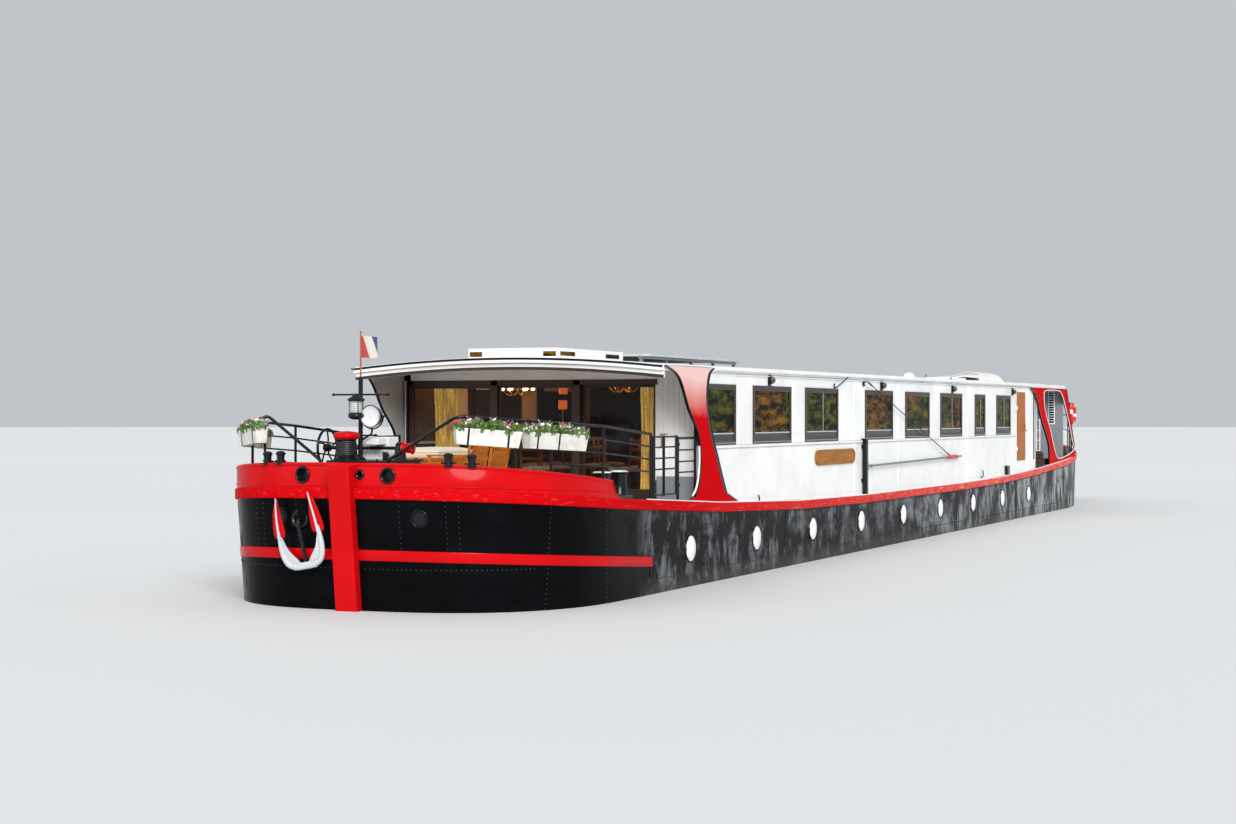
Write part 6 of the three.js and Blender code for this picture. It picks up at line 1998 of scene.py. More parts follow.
class BOAT_OT_windlass(bpy.types.Operator):
    """Anchor windlass: bed, motor, warping heads, handwheel and the red-capped capstan"""

    bl_idname = "boat.windlass"
    bl_label = "Windlass"

    def execute(self, context):
        low, top = deck_h(0.6) - 0.02, BED["top"]
        plate = rectangle(BED["start"], BED["end"], BED["starboard"], BED["port"])
        inner = [(s + (0.03 if s < 1 else -0.03), y + (0.03 if y < 0 else -0.03)) for s, y in plate]
        bed = [flat_plate([inner], low, top - 0.025), flat_plate([plate], top - 0.025, top),
               flat_plate([plate], low, low + 0.035)]
        for side, a, b in ((-1, -0.38, -0.32), (1, 0.31, 0.37)):
            cheek = [(0.69, top - 0.002), (0.91, top - 0.002), (0.9, top + 0.05)]
            cheek += [(0.8 + 0.082 * cos(t), SHAFT["h"] + 0.078 * sin(t)) for t in evenly(0, pi, 10)]
            cheek += [(0.7, top + 0.05)]
            bed.append(side_plate([cheek], a, b))
            bed.append(lathe([(0, 0), (0.045, 0), (0.045, 0.016), (0.036, 0.022), (0, 0.022)],
                             at(0.8, a if side < 0 else b, SHAFT["h"]), (0, side, 0), 24))
        for s, y in ((0.3, -0.3), (0.3, 0.3), (1.28, -0.3), (1.28, 0.3), (0.79, 0.3), (0.79, -0.3)):
            bed.append(lathe([(0, 0), (0.016, 0), (0.016, 0.012), (0.008, 0.018), (0, 0.018)],
                             at(s, y, top), UP, 6))
        bed.append(side_plate([[(0.71, 1.83), (0.78, 1.83), (0.78, 1.9), (0.71, 1.93)]], 0.14, 0.2))
        piece("windlass_frame", bed, ["black_gloss"], replaces=["windlass_bed"],
              bevel=0.006)

        motor = [block(0.92, 1.16, -0.31, 0.11, top - 0.002, 2.105)]
        motor += [block(0.905, 1.175, y, y + 0.018, top + 0.04, 2.112)
                  for y in (-0.27 + 0.06 * k for k in range(7))]
        motor.append(block(0.71, 0.92, -0.1, 0.08, 1.98 + 0.035, 2.1))
        piece("windlass_motor", motor, ["white_gloss"], bevel=0.012)
        self.make_capstan()
        self.make_shaft()
        return {"FINISHED"}

    def make_capstan(self):
        low = BED["top"] + 0.001
        centre = at(CAPSTAN["s"], CAPSTAN["y"], low)
        drum = lathe([(0, 0), (0.148, 0), (0.15, 0.008), (0.148, 0.02), (0.13, 0.03), (0.112, 0.04),
                      (0.109, 0.13), (0.112, 0.23), (0.128, 0.245), (0.128, 0.26), (0, 0.26)], centre, UP,
                     48)
        piece("capstan_drum", [drum], ["black_gloss"], body="capstan",
              replaces=["capstan"])
        cap = lathe([(0, 0.258), (0.13, 0.258), (0.152, 0.265), (0.163, 0.28), (0.165, 0.3), (0.16, 0.32),
                     (0.145, 0.335), (0.1, 0.349), (0.05, 0.356), (0, 0.358)], centre, UP, 48)
        nut = block(CAPSTAN["s"] - 0.02, CAPSTAN["s"] + 0.02, CAPSTAN["y"] - 0.02, CAPSTAN["y"] + 0.02,
                    low + 0.345, CAPSTAN["cap_top"] - 0.0005)
        piece("capstan_cap", [cap, nut], ["red_gloss"], body="capstan", bevel=0.003)
        host = bpy.data.meshes.new("winding")
        host.from_pydata([(0, 0, 0)], [], [])
        grown("capstan_winding", host, winding_plan(),
              {"Turns": 8.0, "Drum Radius": 0.116, "Height": 0.176, "Thickness": 0.0105},
              "rope_steel", "capstan", Matrix.Translation(centre + Vector((0, 0, 0.051))), 60)

    def make_shaft(self):
        red, black = [], []
        black.append(tube([at(SHAFT["s"], SHAFT["starboard"] + 0.002, SHAFT["h"]),
                           at(SHAFT["s"], SHAFT["port"] - 0.002, SHAFT["h"])], SHAFT["radius"], 20))
        for low, high in ((-0.53, -0.39), (0.38, 0.52)):
            middle, half = mix(low, high, 0.5), (high - low) / 2
            profile = [(0.0, -half), (0.06, -half)] + [
                (0.056 + 0.022 * abs(t) ** 2.2, half * t * 0.93) for t in evenly(-1, 1, 12)
            ] + [(0.06, half), (0.0, half)]
            red.append(lathe(profile, at(SHAFT["s"], middle, SHAFT["h"]), (0, 1, 0), 36))
            for turn in turns(6):
                spot = at(SHAFT["s"], middle, SHAFT["h"]) + Vector((cos(turn), 0, sin(turn))) * 0.058
                red.append(tube([spot + Vector((0, -half * 0.75, 0)), spot + Vector((0, half * 0.75, 0))],
                                0.011, 8))
        centre = at(SHAFT["s"], HANDWHEEL["y"], SHAFT["h"])
        wheel = HANDWHEEL["radius"] - HANDWHEEL["rim"]
        black.append(hoop(centre, (0, 1, 0), wheel, HANDWHEEL["rim"], 64, 12))
        black.append(lathe([(0, -0.04), (0.045, -0.04), (0.05, -0.02), (0.05, 0.02), (0.045, 0.04),
                            (0, 0.04)], centre, (0, 1, 0), 28))
        for k in range(HANDWHEEL["spokes"]):
            turn = 2 * pi * k / HANDWHEEL["spokes"] + 0.3
            way, side = Vector((cos(turn), 0, sin(turn))), Vector((-sin(turn), 0, cos(turn)))
            bent = flowing([centre + way * 0.03, centre + way * 0.1 + side * 0.022,
                            centre + way * 0.17 + side * 0.01, centre + way * wheel], 4)
            black.append(tube(bent, 0.011, 10))
        piece("warping_heads", red, ["red_gloss"], body="windlass")
        piece("windlass_handwheel", black, ["black_gloss"], body="windlass",
              replaces=["windlass_shaft"])


class BOAT_OT_bow_mast(bpy.types.Operator):
    """Lantern, searchlight and crossbar on the bow mast, with the flag"""

    bl_idname = "boat.bow_mast"
    bl_label = "Bow mast"

    def execute(self, context):
        s, y = MAST["s"], MAST["y"]
        black = [lathe([(0, 0), (0.068, 0), (0.07, 0.01), (0.05, 0.025), (0.03, 0.035),
                        (MAST["radius"], 0.05), (MAST["radius"], 1.02), (0.018, 1.03), (0, 1.03)],
                       at(s, y, BED["top"]), UP, 28)]
        black.append(tube([at(s, y - MAST["bar_half"], MAST["bar_h"]),
                           at(s, y + MAST["bar_half"], MAST["bar_h"])], 0.012, 14))
        black += [ball(at(s, y + side * 0.39, MAST["bar_h"]), 0.0195, 14) for side in (1, -1)]
        staff = [tube([at(s, y, 2.84), at(s, y, MAST["staff"] - 0.012)], 0.01, 12),
                 ball(at(s, y, MAST["staff"] - 0.013), 0.0125, 14)]
        piece("flagstaff", staff, ["board_wood"])
        black.append(tube(rounded([at(s, y, 2.345), at(0.53, y, 2.345), at(0.53, y, 2.36)], 0.02), 0.014, 10))
        # Lantern: foot, guard bars, hood and ring
        spot = at(0.53, y, 2.33)
        black.append(lathe([(0, 0), (0.05, 0), (0.07, 0.012), (0.098, 0.03), (0.1, 0.05), (0.092, 0.075),
                            (0.08, 0.085), (0, 0.085)], spot, UP, 40))
        black.append(lathe([(0, 0.225), (0.088, 0.225), (0.108, 0.235), (0.11, 0.245), (0.098, 0.262),
                            (0.06, 0.28), (0.045, 0.3), (0.03, 0.312), (0, 0.315)], spot, UP, 40))
        black += [tube([spot + Vector((0.088 * cos(a), 0.088 * sin(a), 0.05)),
                        spot + Vector((0.088 * cos(a), 0.088 * sin(a), 0.24))], 0.0045, 8)
                  for a in (pi / 4 + pi / 2 * k for k in range(4))]
        black.append(hoop(spot + Vector((0, 0, 0.31)), (0, 1, 0), 0.014, 0.004, 20, 8))
        # Searchlight: drum and yoke
        lamp = at(0.6, 0.06, 2.37)
        black.append(lathe([(0, -0.13), (0.058, -0.13), (0.09, -0.1), (0.118, -0.055), (0.132, 0.0),
                            (0.133, 0.034), (0.143, 0.036), (0.145, 0.044), (0.143, 0.05), (0.13, 0.05),
                            (0.126, 0.012), (0, 0.012)], lamp, AHEAD, 48))
        yoke = [lamp + Vector((0, 0.155 * cos(a), 0.155 * sin(a))) for a in evenly(pi, 2 * pi, 16)]
        black.append(tube(yoke, 0.009, 10))
        black += [tube([lamp + Vector((0, side * 0.13, 0)), lamp + Vector((0, side * 0.172, 0))], 0.012, 12)
                  for side in (1, -1)]
        foot = [lamp + Vector((0, 0, -0.15)), lamp + Vector((-0.02, -0.02, -0.2)), at(s, 0.02, 2.15),
                at(s, y + 0.02, 2.08)]
        black.append(tube(rounded(foot, 0.03), 0.012, 10))
        piece("bow_mast_metal", black, ["black_gloss"], replaces=["bow_mast"])

        glass = lathe([(0.0, 0.084), (0.074, 0.084), (0.078, 0.1), (0.078, 0.21), (0.074, 0.226),
                       (0.0, 0.226)], spot, UP, 40)
        piece("lantern_glass", [glass], ["lamp_glass"])
        ribs = [hoop(spot + Vector((0, 0, h)), UP, 0.078, 0.0035, 36, 6) for h in (0.12, 0.145, 0.17, 0.195)]
        piece("lantern_ribs", ribs, ["lamp_mirror"])
        mirror = lathe([(0, 0.02), (0.06, 0.024), (0.1, 0.032), (0.127, 0.046), (0.127, 0.049),
                        (0.1, 0.036), (0.06, 0.028), (0, 0.024)], lamp, AHEAD, 48)
        bulb = ball(lamp + Vector((0.032, 0, 0)), 0.012, 12)
        piece("searchlight_face", [mirror, bulb], ["lamp_mirror"])
        rim = hoop(lamp + Vector((0.048, 0, 0)), AHEAD, 0.139, 0.0035, 48, 8)
        piece("searchlight_rim", [rim], ["bright_steel"])
        self.make_flag(s, y)
        return {"FINISHED"}

    def make_flag(self, s, y):
        wide, high = 0.4, 0.27
        rows = []
        for r in range(15):
            row = []
            for i in range(31):
                t = i / 30
                wave = 0.0045 * sin(2 * pi * (1.3 * t + 0.15 * r / 14)) * min(1, 3 * t)
                row.append(at(s + 0.0114 + wide * t * 0.999, y + wave, 3.1 + high * r / 14))
            rows.append(row)
        mesh, area, down = cloth_mesh("flag_cloth", rows, "flag_cloth")
        cloth = fitted(add_object("flag_cloth", mesh), "boat", ["flag"])


def bow_s(y, h):
    """Where the hull's face stands at a distance y from the middle, forward of the side."""
    last = skin_point(0, h)
    for i in range(1, len(OUTLINES[0])):
        here = skin_point(i, h)
        if here[1] >= abs(y):
            return mix(last[0], here[0], (abs(y) - last[1]) / (here[1] - last[1]))
        last = here


class BOAT_OT_anchor(bpy.types.Operator):
    """Anchor hung on the starboard bow, its flukes turned up against the shell"""

    bl_idname = "boat.anchor"
    bl_label = "Anchor"

    def execute(self, context):
        middle = ANCHOR_Y + 0.14
        lean = radians(10.0)

        def spot(across, h, proud):
            turned = 1.22 * across * cos(lean) - (h - 0.6) * sin(lean)
            y = middle + turned
            h = 0.6 + (h - 0.6) * cos(lean) + 1.22 * across * sin(lean)
            return at(mix(bow_s(y, min(h, 1.2)), bow_s(middle, min(h, 1.2)), 0.35) - proud, y, h)

        white, red = [], []
        for side in (1, -1):
            line = [(0.0, 0.53), (0.1, 0.535), (0.19, 0.58), (0.235, 0.68), (0.25, 0.82), (0.243, 1.0)]
            arm = flowing([spot(side * a, h, 0.1) for a, h in line], 4)
            radii = [r for (r,) in flowing([(0.034,), (0.036,), (0.036,), (0.034,), (0.03,), (0.022,)], 4)]
            white.append(tube([Vector(p) for p in arm], 0.03, 14, radii=radii))
            web = flowing([(0.05, 0.535), (0.2, 0.58), (0.252, 0.74), (0.25, 0.96), (0.225, 0.94),
                           (0.17, 0.76), (0.06, 0.6)], 3, closed=True)
            white.append(self.leaf([spot(side * a, h, 0.09) for a, h in web], 0.028))
            ridge = [(0.243, 0.9), (0.235, 1.1), (0.215, 1.28), (0.2, 1.415)]
            line = [Vector(p) for p in flowing([spot(side * a, h, 0.118) for a, h in ridge], 4)]
            radii = [mix(0.018, 0.007, i / (len(line) - 1)) for i in range(len(line))]
            white.append(tube(line, 0.015, 10, radii=radii))
            blade = flowing([(0.2, 1.42), (0.262, 1.28), (0.302, 1.1), (0.312, 0.97), (0.29, 0.92),
                             (0.243, 0.94), (0.19, 0.92), (0.165, 0.97), (0.168, 1.1), (0.182, 1.28)], 3,
                            closed=True)
            red.append(self.leaf([spot(side * a, h, 0.096) for a, h in blade], 0.02))
        crown = [(-0.14, 0.502), (0.14, 0.502), (0.15, 0.55), (0.07, 0.585), (-0.07, 0.585), (-0.15, 0.55)]
        white.append(self.leaf([spot(a, h, 0.1) for a, h in crown], 0.06))
        shank = rounded([spot(0, 0.56, 0.06), spot(0, 1.1, 0.06), spot(0, 1.13, -0.03)], 0.05)
        pipe = spot(0, 1.12, -0.006)
        black = [tube(shank, 0.026, 12), hoop(pipe, (1, 0, 0.1), 0.1, 0.022, 40, 10)]
        piece("anchor_shank", black, ["black_gloss"], replaces=["anchor"])
        piece("anchor_iron", white, ["weathered_white"], replaces=["anchor"], bevel=0.006)
        piece("anchor_flukes", red, ["red_gloss"], bevel=0.004)
        return {"FINISHED"}

    def leaf(self, outline, thick):
        """Plate with a bulged face, from its outline; it stands off the shell to both sides."""
        count = len(outline)
        centre = sum((Vector(p) for p in outline), Vector()) / count
        rings = []
        for share, lift in ((0.0, thick * 0.62), (0.55, thick * 0.55), (0.93, thick * 0.36), (1.0, 0.0),
                            (0.93, -thick * 0.3), (0.0, -thick * 0.4)):
            share = max(share, 0.02)
            rings.append([centre + (Vector(p) - centre) * share + Vector((lift, 0, 0)) for p in outline])
        return loft(rings)


# Railings, gates and flowers


def rail_corners(sign):
    return [at(s, sign * y, h) for s, y, h in TOP_RAIL]


class BOAT_OT_railings(bpy.types.Operator):
    """Black tube railings round the bow and beside the side gates"""

    bl_idname = "boat.railings"
    bl_label = "Railings"

    def execute(self, context):
        for name, sign in SIDES:
            corners = rail_corners(sign)
            shells = [tube(rounded(corners, 0.09, 6), 0.02, 16), ball(corners[-1], 0.02, 14)]
            for low, start in LOWER_BARS:
                line = [Vector((p.x, p.y, p.z - low)) for p in corners[start:]]
                shells.append(tube(rounded(line, 0.05, 5), 0.012, 12))
            for i, (s, y, h) in enumerate(TOP_RAIL):
                if i < 3:
                    continue
                shells.append(tube([at(s, sign * y, deck_h(s) - 0.001), at(s, sign * y, h)], 0.018, 14))
                shells.append(self.foot(s, sign * y))
                shells += [ball(at(s, sign * y, h - low), 0.021, 12) for low, start in LOWER_BARS
                           if i >= start]
            piece(f"bow_rails_{name}", shells, ["black_gloss"],
                  replaces=[f"bow_railing_{name}"])

            y = sign * GATE["y"]
            shells = []
            for s in (GATE["post"], GATE["end"]):
                shells.append(tube([at(s, y, deck_h(s) - 0.001), at(s, y, 2.085)], 0.02, 16))
                shells.append(dome(at(s, y, 2.083), UP, 0.02, 0.008, 16, 3))
                shells.append(self.foot(s, y))
            for h, radius in ((2.065, 0.019), (1.9, 0.012), (1.74, 0.012), (1.59, 0.012)):
                shells.append(tube([at(GATE["post"], y, h), at(GATE["end"], y, h)], radius, 14))
            for h in (1.9, 1.74, 1.59):
                shells += [ball(at(s, y, h), 0.0225, 12) for s in (GATE["post"], GATE["end"])]
            piece(f"gate_frame_{name}", shells, ["black_gloss"],
                  replaces=[f"gate_post_{name}"])
        return {"FINISHED"}

    def foot(self, s, y):
        return lathe([(0, -0.001), (0.038, -0.001), (0.04, 0.006), (0.036, 0.012), (0.02, 0.016), (0, 0.016)],
                     at(s, y, deck_h(s)), UP, 20)


class BOAT_OT_gates(bpy.types.Operator):
    """Double side gates that swing on eyes round their posts"""

    bl_idname = "boat.gates"
    bl_label = "Gates"

    def execute(self, context):
        for name, sign in SIDES:
            body = f"side_gate_{name}"
            y = sign * GATE["y"]
            shells = []
            for s in (4.09, 4.465, 4.931):
                shells.append(tube([at(s, y, 1.29), at(s, y, 2.108)], 0.0195, 16))
                shells.append(dome(at(s, y, 2.105), UP, 0.0195, 0.005, 16, 3))
            for h in (2.09, 1.95, 1.8, 1.65, 1.305):
                shells.append(tube([at(4.092, y, h), at(4.933, y, h)], 0.012 if h < 2.0 else 0.0135, 12))
                if h < 2.0:
                    shells += [ball(at(s, y, h), 0.0225, 12) for s in (4.09, 4.465, 4.93)]
            for h in (1.42, 1.98):
                ring = rectangle(0.0205, 0.03, -0.02, 0.02)
                shells.append(lathe(ring, at(GATE["post"], y, h), UP, 24, ring=True))
                shells.append(tube([at(4.935, y, h), at(4.962, y, h)], 0.012, 10))
            piece(f"{body}_tubes", shells, ["black_gloss"], body=body, replaces=[body])
            latch = [tube([at(4.465, y, 2.105), at(4.465, y, 2.125)], 0.012, 12),
                     tube([at(4.465, y - 0.057, 2.127), at(4.465, y + 0.057, 2.127)], 0.011, 12)]
            latch += [ball(at(4.465, y + side * 0.05, 2.127), 0.0125, 12) for side in (1, -1)]
            piece(f"{body}_latch", latch, ["bright_steel"], body=body)
        return {"FINISHED"}


class BOAT_OT_flowers(bpy.types.Operator):
    """White troughs hung on the top rail, with leaves and red and white blossoms"""

    bl_idname = "boat.flowers"
    bl_label = "Flowers"

    def execute(self, context):
        sizes = context.scene.boat_sizes
        leaf = unit_object("leaf_cluster", self.leaf_cluster())
        blossom = unit_object("blossom", self.blossom())
        plan = growth_plan()
        seed = 11
        for name, sign in SIDES:
            for trough in TROUGHS:
                place, half = self.trough_place(trough)
                flip = Matrix.Scale(sign, 4, Vector((0, 1, 0)))
                label = f"{trough['name']}_{name}"
                self.make_trough(label, trough, half, flip @ place)
                mound = self.mound(half)
                for kind, unit, density, low, high, finish, grow in (
                    ("leaves", leaf, sizes.leaves, 0.7, 1.25, "leaf", 0.0),
                    ("red_blossoms", blossom, sizes.blossoms * 0.45, 1.0, 1.7, "petal_red", 0.018),
                    ("white_blossoms", blossom, sizes.blossoms * 0.8, 0.9, 1.6, "petal_white", 0.024),
                ):
                    seed += 1
                    host = mound.copy()
                    host.transform(flip @ place @ Matrix.Translation((0, 0, grow)))
                    if sign < 0:
                        host.flip_normals()
                    grown(f"{kind}_{label}", host, plan, {
                        "Unit": unit, "Density": density, "Smallest": low, "Largest": high, "Seed": seed},
                        finish, "boat", smooth=60)
        drop(leaf, blossom)
        return {"FINISHED"}

    def trough_place(self, trough):
        corners = rail_corners(1)
        a, b = corners[trough["stretch"]], corners[trough["stretch"] + 1]
        along = (b - a).normalized()
        out = Vector((0, 0, -1)).cross(along).normalized()
        up = out.cross(along)
        spot = a + (b - a) * trough["share"]
        place = Matrix((
            (along.x, out.x, up.x, spot.x), (along.y, out.y, up.y, spot.y),
            (along.z, out.z, up.z, spot.z), (0, 0, 0, 1)))
        return place, trough["long"] / 2

    def make_trough(self, label, trough, half, place):
        def ring(narrow, up, near, far):
            return [Vector((x, y, up)) for x, y in rectangle(narrow - half, half - narrow, near, far)]

        def rib_ring(x, near, far, up):
            return [Vector((x + u, y, up)) for u, y in rectangle(-0.006, 0.006, near, far)]

        def band(p, thick):
            return [p - wide - thick, p + wide - thick, p + wide + thick, p - wide + thick]

        outer = [ring(0.03, -0.335, 0.0403, 0.1703), ring(0.005, -0.165, 0.025, 0.187),
                 ring(0.0, -0.165, 0.0213, 0.1903), ring(0.0, -0.135, 0.0213, 0.1903),
                 ring(0.008, -0.135, 0.03, 0.182), ring(0.012, -0.17, 0.034, 0.178)]
        box = loft(outer)
        ribs = [loft([rib_ring(x, 0.171, 0.1745, -0.325), rib_ring(x, 0.183, 0.1885, -0.17)])
                for x in (-half * 0.86, half * 0.86)]
        piece(f"trough_{label}", [box.moved(place), *[rib.moved(place) for rib in ribs]], ["trough_white"],
              replaces=[f"flower_trough_{label}"], bevel=0.004)
        earth = loft([ring(0.012, -0.19, 0.034, 0.178), ring(0.012, -0.16, 0.034, 0.178),
                      ring(0.06, -0.142, 0.07, 0.14)])
        piece(f"soil_{label}", [earth.moved(place)], ["soil"])
        straps = []
        wide = Vector((0.0125, 0, 0))
        bends = [(0.0225, 0.006), (0.0205, -0.13), (0.0385, -0.337), (0.1725, -0.337), (0.1925, -0.137)]
        for x in trough["straps"]:
            for (y0, z0), (y1, z1) in zip(bends, bends[1:]):
                way = Vector((0, y1 - y0, z1 - z0)).normalized()
                side = Vector((0, way.z, -way.y)) * 0.002
                straps.append(loft([band(Vector((x, y0, z0)), side), band(Vector((x, y1, z1)), side)]))
            arc = []
            for t in evenly(-1.9, 1.6, 12):
                away = Vector((0, sin(t), cos(t)))
                arc.append(band(Vector((x, 0, 0)) + away * 0.0225, away * 0.002))
            straps.append(loft(arc))
        piece(f"trough_hooks_{label}", [strap.moved(place) for strap in straps], ["black_gloss"])

    def mound(self, half):
        """Domed surface over the soil, where the plants stand."""
        mesh = bpy.data.meshes.new("mound")
        points, faces = [], []
        across = 7
        for i in range(17):
            x = (-1 + i / 8) * (half + 0.02)
            swell = 0.11 + 0.026 * sin(2.3 * i) + 0.018 * sin(5.1 * i + 1)
            for j in range(across):
                t = -1 + 2 * j / (across - 1)
                points.append((x, 0.106 + t * 0.085, -0.15 + swell * (1 - 0.85 * t * t)
                               * (1 - 0.5 * (-1 + i / 8) ** 4)))
        for i in range(16):
            for j in range(across - 1):
                a = i * across + j
                faces.append((a, a + across, a + across + 1, a + 1))
        mesh.from_pydata(points, [], faces)
        mesh.update()
        if mesh.polygons[0].normal.z < 0:
            mesh.flip_normals()
        return mesh

    def leaf_cluster(self):
        shells = []
        for k in range(6):
            turn = 2 * pi * k / 6 + 0.4 * (k % 2)
            rise = 0.018 + 0.012 * (k % 3)
            out, side = Vector((cos(turn), sin(turn), 0)), Vector((-sin(turn), cos(turn), 0))
            up = Vector((0, 0, 1))
            stem, tip = out * 0.006 - up * 0.03, out * 0.046 + up * (rise + 0.002)
            middle = out * 0.028 + up * (rise + 0.006)
            blade = [stem, middle + side * 0.02, tip, middle - side * 0.02]
            thick = Vector((0, 0, 0.0012))
            shells.append(Shell([p - thick for p in blade] + [p + thick for p in blade],
                                [(3, 2, 1, 0), (4, 5, 6, 7), (0, 1, 5, 4), (1, 2, 6, 5), (2, 3, 7, 6),
                                 (3, 0, 4, 7)]))
        return shells

    def blossom(self):
        shells = [tube([Vector((0, 0, -0.03)), Vector((0.002, 0, 0.02))], 0.0016, 4)]
        for k in range(7):
            turn = 2 * pi * k / 6
            spread = 0.0 if k == 6 else 0.019
            spot = Vector((cos(turn) * spread, sin(turn) * spread,
                           0.028 + (0.006 if k == 6 else 0.002 * (k % 2))))
            shells.append(ball(spot, 0.0125, 6))
        return shells


# Deck furniture and fittings


class BOAT_OT_deck_furniture(bpy.types.Operator):
    """Slatted chairs, and the locker with its cushion"""

    bl_idname = "boat.deck_furniture"
    bl_label = "Deck furniture"

    def execute(self, context):
        for name, s in CHAIRS:
            self.make_chair(name, s)
        self.make_locker()
        return {"FINISHED"}

    def make_chair(self, name, s):
        low, high = s - 0.27, s + 0.27
        half = 0.018
        shells = []
        for leg in (low + half, high - half):
            feet = deck_h(leg)
            shells.append(block(leg - half, leg + half, -0.24, -0.204, feet, feet + 0.33))
            lean = [(0.262, feet), (0.298, feet), (0.405, feet + 0.685), (0.372, feet + 0.69)]
            shells.append(cross_plate([lean], leg - half, leg + half))
            shells.append(block(leg - half, leg + half, -0.24, 0.31, feet + 0.294, feet + 0.33))
            shells.append(block(leg - half - 0.008, leg + half + 0.008, -0.25, 0.34, feet + 0.52,
                                feet + 0.542))
            shells.append(block(leg - half, leg + half, -0.24, -0.204, feet + 0.33, feet + 0.52))
            brace = [at(leg, -0.2, feet + 0.12), at(leg, 0.27, feet + 0.12)]
            shells.append(tube(brace, 0.012, 8))
        for y, above in ((-0.222, 0.28), (0.3, 0.3), (0.39, 0.655)):
            a, b = deck_h(low) + above, deck_h(high) + above
            shells.append(side_plate([[(low, a), (high, b), (high, b + 0.04), (low, a + 0.04)]], y - 0.012,
                                     y + 0.012))
        piece(f"deck_chair_{name}_frame", shells, ["raw_teak"],
              replaces=[f"deck_chair_{name}"], bevel=0.004)
        across = [(-0.031, -0.008), (0.031, -0.008), (0.034, 0.0), (0.031, 0.007), (-0.031, 0.007),
                  (-0.034, 0.0)]
        seat = prism([across], lambda v, w, u: Vector((u, v, w)), -0.25, 0.25)
        spots = [at(s, -0.19 + 0.082 * k, deck_h(s) + 0.338) for k in range(6)]
        repeated(f"deck_chair_{name}_seat", [seat], spots, "raw_teak")
        way = Vector((0, 0.107, 0.33)).normalized()
        face = Vector((0, way.z, -way.y))
        across = [(-0.026, -0.008), (0.026, -0.008), (0.029, 0), (0.026, 0.008), (-0.026, 0.008), (-0.029, 0)]
        slat = [Vector((u, 0, 0)) + face * v for u, v in across]
        upright = loft([slat, [p + way * 0.335 for p in slat]])
        spots = [at(low + 0.075 + 0.078 * k, 0.312, deck_h(s) + 0.335) for k in range(6)]
        repeated(f"deck_chair_{name}_back", [upright], spots, "raw_teak")

    def make_locker(self):
        start, end, port, starboard, top = LOCKER.values()
        low = [(s, deck_h(s)) for s in evenly(start, end, 2)]
        body = side_plate([[*low, (end, top - 0.03), (start, top - 0.03)]], starboard + 0.012, port - 0.012)
        lid = block(start, end, starboard, port, top - 0.03, top)
        panels = []
        for k in range(14):
            s = start + 0.02 + k * 0.1475
            foot = [(s, deck_h(s) + 0.004), (s + 0.14, deck_h(s + 0.14) + 0.004)]
            panels.append(side_plate([[*foot, (s + 0.14, top - 0.036), (s, top - 0.036)]], port - 0.013,
                                     port - 0.002))
        piece("deck_locker_chest", [body, lid, *panels], ["raw_teak"],
              replaces=["deck_locker"], bevel=0.005)
        self.make_cushion(top)

    def make_cushion(self, low):
        s, y, long, wide, thick = CUSHION.values()
        count, across = 24, 16

        def spot(u, v, w):
            pull = 1 - 0.02 * (1 - abs(u)) * abs(v) ** 6
            x = long / 2 * u * (1 - 0.02 * (1 - v * v) * abs(u) ** 8)
            z = wide / 2 * v * (1 - 0.035 * (1 - u * u) * abs(v) ** 8) * pull
            return at(s + x, y + z, low + w)

        def share(i, j):
            return -1 + 2 * i / count, -1 + 2 * j / across

        # Under side and domed top, as grids of points
        points, faces, grid = [], [], {}
        for side in (0, 1):
            for i in range(count + 1):
                for j in range(across + 1):
                    u, v = share(i, j)
                    grid[(side, i, j)] = len(points)
                    if side == 0:
                        points.append(spot(u * 0.985, v * 0.985, 0.0))
                        continue
                    crown = (1 - abs(u) ** 4) * (1 - abs(v) ** 4)
                    dimple = 0.02 * exp(-9 * (u * u + v * v))
                    points.append(spot(u, v, thick * (0.62 + 0.38 * crown ** 0.6) - dimple))
        for side in (0, 1):
            for i in range(count):
                for j in range(across):
                    quad = [grid[(side, i + a, j + b)] for a, b in ((0, 0), (1, 0), (1, 1), (0, 1))]
                    faces.append(tuple(quad if side else reversed(quad)))
        # Side wall, through a ring of points half-way up
        rim = [(i, 0) for i in range(count)] + [(count, j) for j in range(across)]
        rim += [(i, across) for i in range(count, 0, -1)] + [(0, j) for j in range(across, 0, -1)]
        first = len(points)
        for u, v in (share(i, j) for i, j in rim):
            points.append(spot(u * 1.004, v * 1.006, thick * 0.31))
        for n, a in enumerate(rim):
            m = (n + 1) % len(rim)
            b = rim[m]
            faces.append((grid[(0, *a)], grid[(0, *b)], first + m, first + n))
            faces.append((first + n, first + m, grid[(1, *b)], grid[(1, *a)]))
        cushion = piece("locker_cushion", [Shell(points, faces)], ["cushion_cloth"],
                        replaces=["deck_locker"], smooth=50)
        soft = cushion.modifiers.new("soft", "SUBSURF")
        soft.levels = soft.render_levels = 1
        line = [spot(u * 1.002, v * 1.002, thick * 0.6) for u, v in (share(i, j) for i, j in rim)]
        piece("cushion_piping", [tube(line, 0.0045, 8, closed=True)], ["canvas"])


